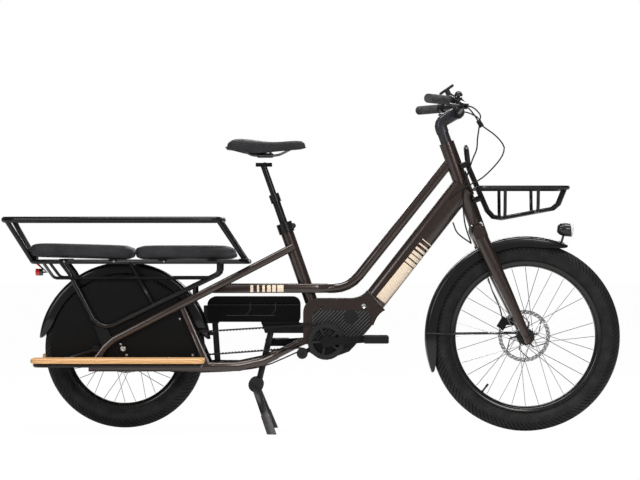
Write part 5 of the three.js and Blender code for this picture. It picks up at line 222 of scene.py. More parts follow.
class Finish(Tree):
    """One material: a Principled shader, and the nodes that feed it."""

    def __init__(self, name, **constants):
        self.material = bpy.data.materials.new(name)
        self.material.use_nodes = True
        super().__init__(self.material.node_tree)
        self.shader = self.tree.nodes.new("ShaderNodeBsdfPrincipled")
        self.add("ShaderNodeOutputMaterial", values=[Link(self, self.shader.outputs["BSDF"])])
        for words, value in constants.items():
            self.shader.inputs[socket_name(words)].default_value = value
        self.where = self.add("ShaderNodeTexCoord", out="Object")

    def done(self, bump=None, **values):
        """Feeds what changes over the surface to the shader. A bump is its height, depth and strength."""
        if bump:
            height, depth, strength = bump
            values["normal"] = self.add("ShaderNodeBump", values={
                "Height": height, "Distance": depth, "Strength": strength})
        for words, value in values.items():
            self.give(self.shader.inputs[socket_name(words)], value)
        return self.material

    def axes(self, vector=None):
        """x, y and z of a vector, or of the point on the piece, in metres."""
        parts = self.add("ShaderNodeSeparateXYZ", values=[vector or self.where])
        return [Link(self, socket) for socket in parts.socket.node.outputs]

    def noise(self, scale, detail=2.0, vector=None):
        return self.add("ShaderNodeTexNoise", values={
            "Vector": vector or self.where, "Scale": scale, "Detail": detail})

    def cells(self, scale, feature="F1", out="Distance"):
        values = {"Vector": self.where, "Scale": scale}
        return self.add("ShaderNodeTexVoronoi", {"feature": feature}, values, out)

    def stretched(self, x, y, z):
        """The point on the piece, drawn out along its axes."""
        return self.add("ShaderNodeMapping", values={"Vector": self.where, "Scale": (x, y, z)})

    def mix(self, share, first, second):
        """A colour from first, where share is 0, to second, where it is 1."""
        return self.add("ShaderNodeMix", {"data_type": "RGBA"}, {0: share, 6: first, 7: second}, out=2)

    def polar(self, axle):
        """Angle in turns, radius in metres and y, about a wheel's axle."""
        x, y, z = self.axes()
        centre = place(axle[0], 0, axle[1])
        dx, dz = x - centre.x, z - centre.z
        return dz.angle(dx) / (2 * math.pi), reach(dx, dz), y

    def turned_lines(self, scale, axle):
        """Fine rings round an axle, as a lathe leaves them."""
        turns, radius, y = self.polar(axle)
        return self.noise(scale, 2, self.add("ShaderNodeCombineXYZ", values=[radius, y]))


# Finishes

DOWN_TUBE_FOOT, DOWN_TUBE_HEAD = (850, 0, 441), (1100, 0, 752)
DOWN_BARS = (
    (22.0, 173.7), (178.0, 192.0), (197.0, 211.0), (214.6, 226.0), (233.7, 242.6), (252.8, 258.5),
    (272.0, 275.0),
)
STAY_BARS = ((430.7, 440.6), (453.1, 460.3), (471.1, 479.6), (487.4, 500.0), (504.4, 517.3), (522.1, 543.4))
STAND_FOOT_TOP = 0.068
MOTOR_CAP, MOTOR_CAP_RADIUS, MOTOR_RIB_PITCH = (773, 0, 392), 0.0235, 0.009
BATTERY_CORNER = (284, 0, 375)
DISC_HOLES, DISC_HOLE_RINGS = 36, ((0.0805, 0.0019), (0.0862, 0.0016))


def bars_on(run, bars):
    """1 where a run in metres is on one of the bars, which are given in millimetres."""
    return sum(run.between(low * MM, high * MM) for low, high in bars)


def down_tube_stripes(finish):
    """A long block and graduated bars across the lower half of the down tube, on both of its sides."""
    foot, head = place(*DOWN_TUBE_FOOT), place(*DOWN_TUBE_HEAD)
    along = (head - foot).normalized()
    x, y, z = finish.axes()
    dx, dz = x - foot.x, z - foot.z
    rise = dz * along.x - dx * along.z
    return rise.between(-0.034, 0.005) * bars_on(dx * along.x + dz * along.z, DOWN_BARS)


def mid_stay_stripes(finish):
    """Graduated bars on the outer sides of the stays between the seat tube and the rack."""
    x, y, z = finish.axes()
    return bars_on(x + REAR_AXLE_TO_MIDDLE * MM, STAY_BARS) * z.between(0.4765, 0.5005) * (abs(y) > 0.02)


def frame_paint(name, stripes=None):
    """Dark brown metallic paint: flakes under a clear coat, with soft clouds and a little dust."""
    paint = bpy.context.scene.bike_paint
    finish = Finish(name, metallic=0.55, coat_weight=0.6, coat_roughness=0.08)
    red, green, blue = finish.axes(finish.cells(2600, out="Color"))
    clouds = finish.noise(7, 3).ramp(0.4, 0.8, 0.0, 0.35)
    colour = finish.mix(red * red * red * 0.8, paint.frame_colour, paint.flake_colour)
    colour = finish.mix(clouds, colour, [c * 0.7 for c in paint.frame_colour])
    dust = finish.noise(55, 4).ramp(0.55, 0.8)
    sparkle, orange_peel, metallic = green * 0.06, finish.noise(900, 1), None
    if stripes:
        plain = 1 - stripes(finish)
        colour = finish.mix(plain, paint.stripe_colour, colour)
        sparkle, orange_peel, metallic = sparkle * plain, orange_peel * plain, plain * 0.55
    return finish.done(base_color=colour, roughness=0.28 + dust * 0.06 + sparkle, metallic=metallic,
                       bump=(orange_peel, 0.00006, 0.4))


def satin_black(name, roughness, colour=None, coat=0.25):
    """Powder coat on tubes: fine orange peel and faint scuffs."""
    base = colour or tuple(bpy.context.scene.bike_paint.rack_colour)
    finish = Finish(name, coat_weight=coat, coat_roughness=0.12, specular_ior_level=0.16)
    clouds = finish.noise(9, 3)
    scuffs = finish.noise(120, 5, finish.stretched(1, 1, 0.15)).ramp(0.6, 0.75)
    worn = clouds.ramp(0.35, 0.75, 0.0, 0.4) + scuffs * 0.2
    return finish.done(base_color=finish.mix(worn, base, [c * 2 + 0.002 for c in base]),
                       roughness=roughness - 0.05 + scuffs * 0.12 + clouds * 0.08,
                       bump=(finish.noise(1400, 1), 0.00005, 0.5))


def gloss_black(name):
    """Shiny black sheet of the mudguards."""
    finish = Finish(name, coat_weight=0.3, coat_roughness=0.08, specular_ior_level=0.2)
    clouds = finish.noise(5, 3)
    dust = finish.noise(320, 3).ramp(0.62, 0.8)
    return finish.done(base_color=finish.mix(clouds, grey(0.0025, 0.003), grey(0.007, 0.008)),
                       roughness=0.26 + dust * 0.16 + clouds * 0.05,
                       bump=(finish.noise(260, 2), 0.00008, 0.3))


def matte_plastic(name, light, roughness, grain):
    """Moulded plastic with a fine spark-eroded grain."""
    finish = Finish(name, specular_ior_level=0.12)
    grains = finish.noise(grain, 2)
    colour = finish.mix(finish.noise(12, 2), grey(light * 0.7), grey(light * 1.35, light * 1.45))
    return finish.done(base_color=colour, roughness=roughness - 0.06 + grains * 0.12,
                       bump=(grains, 0.00012, 0.6))


def steel(name, tint, roughness):
    """Bare metal, brushed along its length."""
    finish = Finish(name, metallic=1.0)
    lines = finish.noise(700, 3, finish.stretched(1, 1, 0.06))
    return finish.done(base_color=finish.mix(lines.ramp(0.35, 0.7), tint, [c * 0.72 for c in tint]),
                       roughness=roughness - 0.04 + lines * 0.16, bump=(lines, 0.00008, 0.4))


def rotor_steel(name, axle):
    """A brake disc: turned steel track with rows of holes, and a dull carrier."""
    finish = Finish(name, metallic=1.0)
    turns, radius, y = finish.polar(axle)
    lines = finish.turned_lines(2600, axle)
    row = (turns * DISC_HOLES + radius * 60).saw() - 0.5
    across = row * (2 * math.pi * 0.083 / DISC_HOLES)
    holes = sum(reach(across, radius - ring) < spot for ring, spot in DISC_HOLE_RINGS)
    track = radius.between(0.0775, 0.0892)
    colour = finish.mix(track, (0.085, 0.080, 0.076), grey(0.36))
    colour = finish.mix(lines.ramp(0.4, 0.7, 0, 0.5), colour, grey(0.20))
    return finish.done(base_color=colour, roughness=0.42 - track * 0.2 + lines * 0.1, alpha=1 - holes,
                       bump=(lines, 0.00006, 0.4))


def tyre_rubber(name, axle, tread, bead, sipes):
    """Tyre rubber: slanted cuts across the shoulders painted near black as shade, fine rings on the wall,
    chalky clouds, and a painted highlight round the shoulders near the tread.
    """
    finish = Finish(name, specular_ior_level=0.12)
    turns, radius, y = finish.polar(axle)
    fall = tread * MM - radius
    slant = turns * sipes + fall * 62
    # Mask of the slanted cuts: it makes a bump, and it is also painted shade that colours the cuts near
    # black.
    cut_with_painted_shade = (abs(slant.saw() - 0.5) < 0.12) * fall.between(0.0004, 0.030) * (abs(y) > 0.010)
    every_third = (abs((slant / 3).saw() - 0.5) < 0.03) * fall.between(0.0, 0.030) * (abs(y) > 0.006)
    cut_with_painted_shade = cut_with_painted_shade.most(every_third)
    rings = (radius * 1400).wave() * radius.between(bead * MM + 0.008, bead * MM + 0.030)
    chalk, grains = finish.noise(26, 4), finish.noise(1100, 2)
    colour = finish.mix(chalk.ramp(0.35, 0.75), grey(0.011, 0.0115), grey(0.020, 0.021))
    # Painted highlight: a lighter band all round the shoulders near the tread.
    colour = finish.mix(fall.ramp(0.0, 0.02, 1.0, 0.0) * 0.35, colour, grey(0.040, 0.041))
    # Painted shade: the cuts are coloured near black.
    return finish.done(base_color=finish.mix(cut_with_painted_shade * 0.95, colour, grey(0.0012)),
                       roughness=0.5 + chalk * 0.16 + cut_with_painted_shade * 0.2,
                       bump=(grains * 0.08 + rings * 0.05 - cut_with_painted_shade, 0.0013, 0.9))


def hub_finish(name, axle, flange):
    """Hub and spokes: black anodised shell, bright stainless spokes outside the flanges."""
    finish = Finish(name)
    spokes = finish.polar(axle)[1].ramp(flange, flange + 0.001)
    lines = finish.noise(1500, 2)
    bright = finish.mix(lines, grey(0.30, 0.31), grey(0.20, 0.21))
    return finish.done(base_color=finish.mix(spokes, grey(0.010, 0.011), bright),
                       metallic=0.35 + spokes * 0.6, roughness=0.26 + lines * 0.1)


def grip_rubber(name):
    """Soft grip: rings of small ribs along the bar, and cloudy wear."""
    finish = Finish(name, specular_ior_level=0.16)
    x, y, z = finish.axes()
    pips = finish.cells(420)
    colour = finish.mix(finish.noise(40, 3).ramp(0.3, 0.75), grey(0.032, 0.034), grey(0.062, 0.066))
    return finish.done(base_color=colour, roughness=0.62 + pips * 0.3,
                       bump=((y * 1250).wave() * 0.5 + pips * 0.4, 0.0006, 0.8))


def seat_cover(name):
    """Coated seat cover: leather-like grain with soft creases."""
    cover = bpy.context.scene.bike_paint.cover_colour
    finish = Finish(name, sheen_weight=0.06, sheen_roughness=0.5, specular_ior_level=0.16)
    pores = finish.cells(620, feature="DISTANCE_TO_EDGE")
    fine, broad = finish.noise(1500, 2), finish.noise(14, 4)
    creases = finish.noise(34, 3, finish.stretched(0.35, 1, 2.2))
    colour = finish.mix(broad.ramp(0.3, 0.75), cover, [c * 2.0 for c in cover])
    colour = finish.mix(pores.ramp(0.0, 0.08, 0.55, 0.0), colour, [c * 0.45 for c in cover])
    return finish.done(base_color=colour, roughness=0.42 + fine * 0.14 + broad * 0.06,
                       bump=(pores.ramp(0.0, 0.16) * 0.45 + fine * 0.15 + creases * 0.9, 0.0006, 0.75))


def oak(name):
    """Oiled oak board: long grain and pores."""
    paint = bpy.context.scene.bike_paint
    finish = Finish(name, coat_weight=0.1, coat_roughness=0.3)
    bend = finish.noise(2.2, 3)
    x, y, z = finish.axes(finish.stretched(1.1, 16, 16))
    rings = ((y + z * 1.4 + bend * 2.6) * 24).wave()
    pores = finish.noise(90, 5, finish.stretched(0.9, 30, 30)).ramp(0.55, 0.72)
    colour = finish.mix(rings.ramp(-0.9, 0.9), paint.oak_light, paint.oak_dark)
    colour = finish.mix(pores * 0.5, finish.mix(0.5, colour, paint.oak_light), (0.25, 0.115, 0.04))
    return finish.done(base_color=colour, roughness=0.38 + pores * 0.3 + bend * 0.1,
                       bump=(rings * 0.15 - pores, 0.0003, 0.6))


def belt_rubber(name):
    """Drive belt: rubber with fine cord lines along it, worn in places."""
    finish = Finish(name, specular_ior_level=0.16)
    x, y, z = finish.axes()
    wear = finish.noise(60, 4)
    return finish.done(base_color=finish.mix(wear.ramp(0.4, 0.8), grey(0.004), (0.012, 0.011, 0.011)),
                       roughness=0.5 + wear * 0.2, bump=((y * 5200).wave().ramp(0.2, 1.0), 0.0002, 0.5))


def stand_paint(name):
    """Black stand with bare, scuffed, lighter feet."""
    finish = Finish(name, coat_weight=0.2, coat_roughness=0.2, specular_ior_level=0.16)
    x, y, z = finish.axes()
    foot = z.ramp(STAND_FOOT_TOP - 0.002, STAND_FOOT_TOP + 0.002, 1.0, 0.0)
    scuffs = finish.noise(60, 5, finish.stretched(1, 1, 0.3)).ramp(0.5, 0.72)
    colour = finish.mix(foot * 0.8, grey(0.010), (0.040, 0.038, 0.040))
    return finish.done(base_color=finish.mix(scuffs * 0.4 * foot, colour, (0.10, 0.095, 0.09)),
                       roughness=0.34 + foot * 0.2 + scuffs * 0.1, bump=(finish.noise(800, 2), 0.0001, 0.5))


def motor_plastic(name):
    """The motor's cover: slanted ribs round a smooth round cap, with a painted highlight on the rib crests.
    """
    finish = Finish(name, specular_ior_level=0.16)
    x, y, z = finish.axes()
    cap = place(*MOTOR_CAP)
    rib = abs(((x - z) / (math.sqrt(2) * MOTOR_RIB_PITCH)).saw() - 0.5) < 0.16
    # The rib crests are raised by the bump and given a pale colour, which is a painted highlight.
    crest_with_painted_highlight = rib * (reach(x - cap.x, z - cap.z) > MOTOR_CAP_RADIUS) * (y < -0.046) * (z > 0.315)
    grains = finish.noise(900, 2)
    colour = finish.mix(grains, grey(0.006), grey(0.013, 0.014))
    return finish.done(base_color=finish.mix(crest_with_painted_highlight * 0.75, colour, (0.085, 0.083, 0.080)),
                       roughness=0.42 + grains * 0.12, bump=(grains * 0.2 + crest_with_painted_highlight, 0.0005, 0.6))


def sprocket_metal(name, axle):
    """Hard-anodised sprocket with turned lines."""
    finish = Finish(name, metallic=0.6)
    lines = finish.turned_lines(1800, axle)
    return finish.done(base_color=finish.mix(lines.ramp(0.35, 0.7), grey(0.010, 0.011), grey(0.026)),
                       roughness=0.3 + lines * 0.16, bump=(lines, 0.0001, 0.4))


def pedal_plastic(name):
    """Pedal: black plastic with a sandpaper-like grit."""
    finish = Finish(name, specular_ior_level=0.08)
    grit = finish.cells(900)
    return finish.done(base_color=finish.mix(grit.ramp(0.1, 0.6), grey(0.004), grey(0.014, 0.0145)),
                       roughness=0.45 + finish.noise(30, 2) * 0.2, bump=(grit, 0.0004, 0.8))


def battery_plastic(name):
    """The battery's case: a seam and the edges of two panels with slanted ends, on each side."""
    finish = Finish(name, specular_ior_level=0.04)
    x, y, z = finish.axes()
    low = place(*BATTERY_CORNER)
    u, v = x - low.x, z - low.z
    lines = abs(v - 0.058) < 0.0007
    for start, end in ((0.064, 0.146), (0.150, 0.232)):
        slanted = abs(u - end + (0.040 - v).most(0.0) * 0.9) < 0.0011
        lower = abs(v - 0.022) < 0.0011
        lines = lines.most(slanted * v.between(0.022, 0.066)).most(lower * u.between(start, end))
    lines = lines * (abs(y) > 0.040)
    grains = finish.noise(700, 2)
    colour = finish.mix(finish.noise(8, 3), grey(0.0018, 0.002), grey(0.0045, 0.005))
    return finish.done(base_color=finish.mix(lines * 0.8, colour, grey(0.040, 0.043)),
                       roughness=0.3 + grains * 0.14, bump=(lines + grains * 0.08, 0.0008, 0.8))


def display_case(name):
    """Display: dark case with a fine grain."""
    finish = Finish(name, specular_ior_level=0.2)
    grains = finish.noise(800, 2)
    return finish.done(base_color=finish.mix(grains, grey(0.010, 0.011), grey(0.022, 0.024)),
                       roughness=0.32 + grains * 0.16, bump=(grains, 0.0001, 0.4))


def headlight_lens(x, y, z):
    """Where the pale lens is, and the height that its ribs follow."""
    return x + (z - 0.677) * 0.1 > place(1527.5, 0, 0).x, z * 2200


def rear_light_lens(x, y, z):
    """Where the red lens is, and the width that its ribs follow."""
    return (x < place(-294, 0, 0).x) * (z < 0.575), y * 1800


def lamp_case(name, find_lens, tint, rough, clearer, coat, gleam):
    """A lamp: black case with a ribbed, clearer lens."""
    finish = Finish(name, coat_weight=coat, coat_roughness=0.05, specular_ior_level=gleam)
    lens, along = find_lens(*finish.axes())
    clouds = finish.noise(20, 3)
    colour = finish.mix(clouds, grey(0.008), grey(0.018, 0.019))
    return finish.done(base_color=finish.mix(lens, colour, tint),
                       roughness=rough - lens * clearer + clouds * 0.05,
                       bump=(along.wave() * lens, 0.0003, 0.5))


# Tools for the pieces

CAD_MERGE = 0.00001


def around(axle, radius, degrees, y=0.0):
    """The point at a radius and an angle about an axle, from millimetres and degrees."""
    angle = math.radians(degrees)
    return place(axle[0] + radius * math.cos(angle), y, axle[1] + radius * math.sin(angle))


def turned_back(points):
    """The same points across a middle plane, from the last one to the first one."""
    return [(first, -second) for first, second in reversed(points)]


def mirrored(spots):
    """Spots of the left side, as spots of the right and then of the left side."""
    return [(x, side * y, z) for side, name in SIDES for x, y, z in spots]


def show(name, data):
    """An object of that mesh, curve, lamp or camera, put into the scene."""
    obj = bpy.data.objects.new(name, data)
    bpy.context.scene.collection.objects.link(obj)
    return obj


def soft_edge_group():
    """Modifier nodes that join a CAD solid's facets and shade its rounds smooth, up to a crease angle."""
    name = "soft edges"
    if name in bpy.data.node_groups:
        return bpy.data.node_groups[name]
    group = bpy.data.node_groups.new(name, "GeometryNodeTree")
    for socket, way, kind in (
        ("Geometry", "INPUT", "NodeSocketGeometry"), ("Crease", "INPUT", "NodeSocketFloat"),
        ("Geometry", "OUTPUT", "NodeSocketGeometry"),
    ):
        group.interface.new_socket(socket, in_out=way, socket_type=kind)
    tree = Tree(group)
    shape = tree.add("NodeGroupInput")
    crease = Link(tree, shape.socket.node.outputs["Crease"])
    shape = tree.add("GeometryNodeMergeByDistance", values={"Geometry": shape, "Distance": CAD_MERGE})
    shape = tree.add("GeometryNodeRemoveAttribute", values={"Geometry": shape, "Name": "custom_normal"})
    shape = tree.add("GeometryNodeSetShadeSmooth", {"domain": "FACE"}, {"Geometry": shape})
    smooth = tree.add("GeometryNodeInputMeshEdgeAngle") < crease
    shape = tree.add("GeometryNodeSetShadeSmooth", {"domain": "EDGE"}, {
        "Geometry": shape, "Shade Smooth": smooth})
    tree.add("NodeGroupOutput", values=[shape])
    return group


def dress(material, *names, crease=50):
    """Gives CAD nodes their finish, and smooth rounds with their real edges kept."""
    group = soft_edge_group()
    for name in names:
        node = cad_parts[name]
        node.data.materials.clear()
        node.data.materials.append(material)
        modifier = node.modifiers.new("soft edges", "NODES")
        modifier.node_group = group
        modifier[group.interface.items_tree["Crease"].identifier] = math.radians(crease)


def finished(name, bm, material, crease):
    """Turns a bmesh into an object with one finish, smooth up to a crease angle."""
    bmesh.ops.recalc_face_normals(bm, faces=bm.faces)
    mesh = bpy.data.meshes.new(name)
    bm.to_mesh(mesh)
    bm.free()
    mesh.materials.append(material)
    mesh.shade_smooth()
    mesh.set_sharp_from_angle(angle=math.radians(crease))
    return show(name, mesh)


def make_piece(name, bm, material, body, crease=40):
    """Turns a bmesh into a finished piece that rides on a body."""
    bmesh.ops.remove_doubles(bm, verts=bm.verts, dist=0.000001)
    obj = finished(name, bm, material, crease)
    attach(obj, body)
    return obj


def gathered(shapes):
    """Several bmeshes as one."""
    whole = bmesh.new()
    for shape in shapes:
        mesh = bpy.data.meshes.new("passing")
        shape.to_mesh(mesh)
        shape.free()
        whole.from_mesh(mesh)
        bpy.data.meshes.remove(mesh)
    return whole


def rounded(bm, edges, radius):
    bmesh.ops.bevel(bm, geom=edges, offset=radius, offset_type="OFFSET", segments=3, profile=0.5,
                    affect="EDGES", material=-1)


def rounded_box(low, high, radius):
    """A box between two corners with rounded edges."""
    bm = bmesh.new()
    bmesh.ops.create_cube(bm, size=1.0)
    bmesh.ops.scale(bm, vec=high - low, verts=bm.verts)
    bmesh.ops.translate(bm, vec=(low + high) / 2, verts=bm.verts)
    rounded(bm, list(bm.edges), radius)
    return bm


def spun(profile, centre, axis, steps, closed=True):
    """A profile of (radius, along) points, turned about an axis into a bmesh."""
    bm = bmesh.new()
    axis = axis.normalized()
    side = Vector((1, 0, 0)) if abs(axis.x) < 0.5 else Vector((0, 0, 1))
    out = (side - axis * side.dot(axis)).normalized()
    verts = [bm.verts.new(centre + out * radius + axis * along) for radius, along in profile]
    following = verts[1:] + verts[:1] if closed else verts[1:]
    edges = [bm.edges.new(ends) for ends in zip(verts, following)]
    bmesh.ops.spin(bm, geom=verts + edges, cent=centre, axis=axis, angle=2 * math.pi, steps=steps,
                   use_merge=True, use_duplicate=False)
    bmesh.ops.remove_doubles(bm, verts=bm.verts, dist=0.000005)
    return bm


def bolt(centre, direction, radius, height, sides=24, socket=True):
    """A bolt head on a surface: a rounded cylinder, with a sunk socket if it has one."""
    bm = bmesh.new()
    bmesh.ops.create_cone(bm, cap_ends=True, segments=sides, radius1=radius, radius2=radius, depth=height)
    top = max(bm.faces, key=lambda face: face.calc_center_median().z)
    rounded(bm, list(top.edges), min(radius, height) * 0.3)
    if socket:
        bm.faces.ensure_lookup_table()
        top = max(bm.faces, key=lambda face: (round(face.calc_center_median().z, 7), face.calc_area()))
        bmesh.ops.inset_individual(bm, faces=[top], thickness=radius * 0.3)
        bmesh.ops.translate(bm, verts=top.verts, vec=(0, 0, -height * 0.5))
        bmesh.ops.inset_individual(bm, faces=[top], thickness=radius * 0.02)
    turn = Vector((0, 0, 1)).rotation_difference(Vector(direction)).to_matrix().to_4x4()
    matrix = Matrix.Translation(centre) @ turn @ Matrix.Translation((0, 0, height * 0.5))
    bmesh.ops.transform(bm, matrix=matrix, verts=bm.verts)
    return bm


def bolts(name, spots, radius, height, material, body="frame", upright=False, sides=24):
    """Like bolt heads as one piece. They face up, or away from the bike's middle plane."""
    heads = []
    for x, y, z in spots:
        direction = (0, 0, 1) if upright else (0, math.copysign(1, y), 0)
        heads.append(bolt(place(x, y, z), direction, radius * MM, height * MM, sides))
    make_piece(name, gathered(heads), material, body)


def through(points, steps):
    """Points on one smooth curve through given points, about evenly spaced."""
    ends = [points[0] * 2 - points[1], *points, points[-1] * 2 - points[-2]]
    fine = []
    for a, b, c, d in zip(ends, ends[1:], ends[2:], ends[3:]):
        for k in range(12):
            t = k / 12
            fine.append(0.5 * ((2 * b) + (c - a) * t + (2 * a - 5 * b + 4 * c - d) * t * t
                               + (3 * b - 3 * c + d - a) * t ** 3))
    fine.append(points[-1].copy())
    lengths = [0.0]
    for a, b in zip(fine, fine[1:]):
        lengths.append(lengths[-1] + (b - a).length)
    spaced = []
    for k in range(steps + 1):
        want = lengths[-1] * k / steps
        j = max(1, next((i for i, length in enumerate(lengths) if length >= want), len(fine) - 1))
        span = lengths[j] - lengths[j - 1]
        spaced.append(fine[j - 1].lerp(fine[j], (want - lengths[j - 1]) / span if span else 0.0))
    return spaced


def hose(name, points, radius, material, steps):
    """A round hose along points, with its line: a closed mesh tube of rings, each bridged to the next."""
    line = through(points, steps)
    bm = bmesh.new()
    rings = []
    side = (line[1] - line[0]).orthogonal()
    for i, point in enumerate(line):
        along = (line[min(i + 1, steps)] - line[max(i - 1, 0)]).normalized()
        side = (side - along * side.dot(along)).normalized()
        turn = Matrix((side, along.cross(side), along)).transposed().to_4x4()
        spot = Matrix.Translation(point) @ turn
        rings.append(bmesh.ops.create_circle(bm, segments=12, radius=radius, matrix=spot)["verts"])
        if i in (0, steps):
            bmesh.ops.contextual_create(bm, geom=rings[-1])
    for low, high in zip(rings, rings[1:]):
        edges = {edge for ring in (low, high) for vert in ring for edge in vert.link_edges
                 if edge.other_vert(vert) in ring}
        bmesh.ops.bridge_loops(bm, edges=list(edges))
    obj = finished(name, bm, material, 60)
    return obj, line


def wire(name, points, radius, material):
    """A round wire along points, as one open curve."""
    data = bpy.data.curves.new(name, "CURVE")
    data.dimensions = "3D"
    data.bevel_depth = radius
    data.bevel_resolution = 3
    data.use_fill_caps = True
    spline = data.splines.new("POLY")
    spline.points.add(len(points) - 1)
    for target, point in zip(spline.points, points):
        target.co = (*point, 1.0)
    spline.use_smooth = True
    data.materials.append(material)
    return show(name, data)


# Cables: the same routes as in the bike's drawing

RIGHT_BRAKE_HOSE = (
    (1142.4, -182.6, 1104), (1180, -150, 1100), (1212, -70, 1078), (1217, -4, 1052), (1267, -6, 1013),
    (1294, -14, 980), (1296, -20, 957), (1279, -28, 925), (1238, -44, 881), (1202, -48, 854),
    (1150, -46, 828), (1110, -33.8, 794),
)
LEFT_BRAKE_HOSE = (
    (1142.4, 182.6, 1104), (1180, 150, 1100), (1212, 70, 1078), (1214, 2, 1054), (1206, -16, 1000),
    (1202, -32, 963), (1184, -43, 919), (1158, -43, 826), (1160, -38, 720), (1184, -30, 642),
)
DISPLAY_CABLE = ((1108, 0, 1160), (1150, 10, 1132), (1190, 8, 1092), (1216, 0, 1050))
LAMP_CABLE = ((1122, -12, 715), (1139, -14, 677), (1184, -30, 642))
RIGHT_HOSE_BEND = ((1150, -46, 828), (1290, -14, 985))
HOSE_DIAMETER = 0.005
TIE_FROM, TIE_TO = (1209, 0, 1064), (1223, 0, 1042)
TIE_PROFILE = (
    (0.0026, -0.013), (0.0078, -0.013), (0.0084, -0.009), (0.0084, 0.009), (0.0078, 0.013), (0.0026, 0.013),
)


class BIKE_OT_run_cables(bpy.types.Operator):
    """Runs the brake hoses and cables from the bar to the frame and the fork"""

    bl_idname = "bike.run_cables"
    bl_label = "Run cables"

    def execute(self, context):
        sheath = matte_plastic("cable sheath", 0.012, 0.42, 1600)
        cables = [self.run(sheath, *cable) for cable in (
            ("right_brake_hose", RIGHT_BRAKE_HOSE, RIGHT_HOSE_BEND),
            ("left_brake_hose", LEFT_BRAKE_HOSE),
            ("display_cable", DISPLAY_CABLE),
            ("lamp_cable", LAMP_CABLE, (LAMP_CABLE[0], LAMP_CABLE[-1])),
        )]
        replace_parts(cables[0], "cable_bundle")
        start, end = place(*TIE_FROM), place(*TIE_TO)
        make_piece("cable_tie", spun(TIE_PROFILE, (start + end) / 2, end - start, 24), sheath, "steering")
        return {"FINISHED"}

    def run(self, sheath, name, route, bend=None):
        """One cable. If the frame holds one of its ends, its place is baked into its mesh; else it rides on
        the steering.
        """
        steps = min(40, 12 + 3 * len(route))
        cable, line = hose(name, [place(*point) for point in route], HOSE_DIAMETER / 2, sheath, steps)
        if bend:
            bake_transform(cable)
        else:
            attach(cable, "steering")
        return cable


# The finishes of the CAD nodes


class BIKE_OT_paint_frame(bpy.types.Operator):
    """Paints the frame tubes and the fork, with the graduated stripes"""

    bl_idname = "bike.paint_frame"
    bl_label = "Paint frame"

    def execute(self, context):
        dress(frame_paint("down tube paint", down_tube_stripes), "head_and_down_tube")
        dress(frame_paint("top tube paint", mid_stay_stripes), "top_tube_and_mid_stays")
        dress(frame_paint("frame paint"), "motor_cradle_and_seat_tube", "fork", *pair("upper_stay"),
              *pair("lower_rail"))
        return {"FINISHED"}


class BIKE_OT_coat_tubes(bpy.types.Operator):
    """Powder-coats the rack, rails, basket, posts and stand"""

    bl_idname = "bike.coat_tubes"
    bl_label = "Coat tubes"

    def execute(self, context):
        dress(satin_black("rack powder coat", 0.32), "rack_deck", "hand_rail", *pair("rack_side"),
              *pair("board_frame"), "stand_post", "rear_bracket", "basket")
        dress(satin_black("anodised post", 0.28, grey(0.005, 0.006)), "seatpost_outer", "seatpost_inner",
              "seat_clamp")
        dress(satin_black("bar paint", 0.36, grey(0.009, 0.010)), "handlebar")
        dress(satin_black("stem paint", 0.34, grey(0.020, 0.024)), "stem")
        dress(stand_paint("stand paint"), "kickstand")
        dress(matte_plastic("panel plastic", 0.0022, 0.46, 500), *pair("wheel_panel"))
        return {"FINISHED"}


class BIKE_OT_finish_drive(bpy.types.Operator):
    """Finishes the motor, cranks, belt, pulleys, pedals and battery"""

    bl_idname = "bike.finish_drive"
    bl_label = "Finish drive"

    def execute(self, context):
        dress(motor_plastic("motor cover plastic"), "motor", crease=35)
        dress(sprocket_metal("front sprocket metal", CRANK_AXLE), "front_sprocket", crease=35)
        dress(sprocket_metal("rear sprocket metal", REAR_AXLE), "rear_sprocket", "idler_pulley", crease=35)
        dress(satin_black("crank paint", 0.34, grey(0.0035, 0.004), coat=0.1), *pair("crank"), crease=40)
        dress(belt_rubber("belt rubber"), "belt", crease=35)
        dress(pedal_plastic("pedal plastic"), *pair("pedal"), crease=35)
        dress(battery_plastic("battery case"), "battery")
        return {"FINISHED"}


class BIKE_OT_finish_controls(bpy.types.Operator):
    """Finishes the grips, levers, display, lamps and brakes"""

    bl_idname = "bike.finish_controls"
    bl_label = "Finish controls"

    def execute(self, context):
        for side, name in SIDES:
            dress(grip_rubber(name + " grip rubber"), "grip_" + name, crease=45)
        dress(satin_black("lever paint", 0.3, grey(0.012, 0.013)), *pair("brake_lever"))
        dress(display_case("display case"), "display", crease=40)
        dress(lamp_case("headlight case", headlight_lens, (0.62, 0.64, 0.66),
                        rough=0.24, clearer=0.16, coat=0.3, gleam=0.2), "headlight", crease=45)
        dress(lamp_case("rear lamp case", rear_light_lens, (0.55, 0.012, 0.010),
                        rough=0.3, clearer=0.15, coat=0.5, gleam=0.5), "rear_light", crease=45)
        dress(matte_plastic("caliper paint", 0.013, 0.4, 700), "front_brake", "rear_brake", crease=45)
        return {"FINISHED"}


class BIKE_OT_lay_boards(bpy.types.Operator):
    """Finishes the oak running boards"""

    bl_idname = "bike.lay_boards"
    bl_label = "Lay boards"

    def execute(self, context):
        dress(oak("oiled oak"), *pair("running_board"), crease=35)
        return {"FINISHED"}


# Wheels. A rim's points are a height over the bead and a half width, a valve's a radius and a height.

FRONT_BEAD, REAR_BEAD = 253.5, 203.0
BEAD_TO_TREAD = 70.5
TYRE_ROUND, TYRE_ROUND_DROP, TYRE_FOOT, TYRE_FOOT_RISE = 0.0345, 34.6, 0.0176, 0.0004
RIM_SECTION = (
    (0.0, 18.0), (5.2, 18.2), (6.0, 18.8), (6.0, 20.9), (5.3, 21.5), (-3.0, 21.4), (-8.5, 17.5), (-13.4, 9.6),
    (-14.4, 6.0),
)
VALVE_FOOT_DROP = 13.6
VALVE_PROFILE = (
    (0.0, 0.0), (0.0045, 0.0), (0.0045, 0.003), (0.0031, 0.004), (0.0031, 0.021), (0.0040, 0.022),
    (0.0040, 0.031), (0.0030, 0.033), (0.0, 0.033),
)


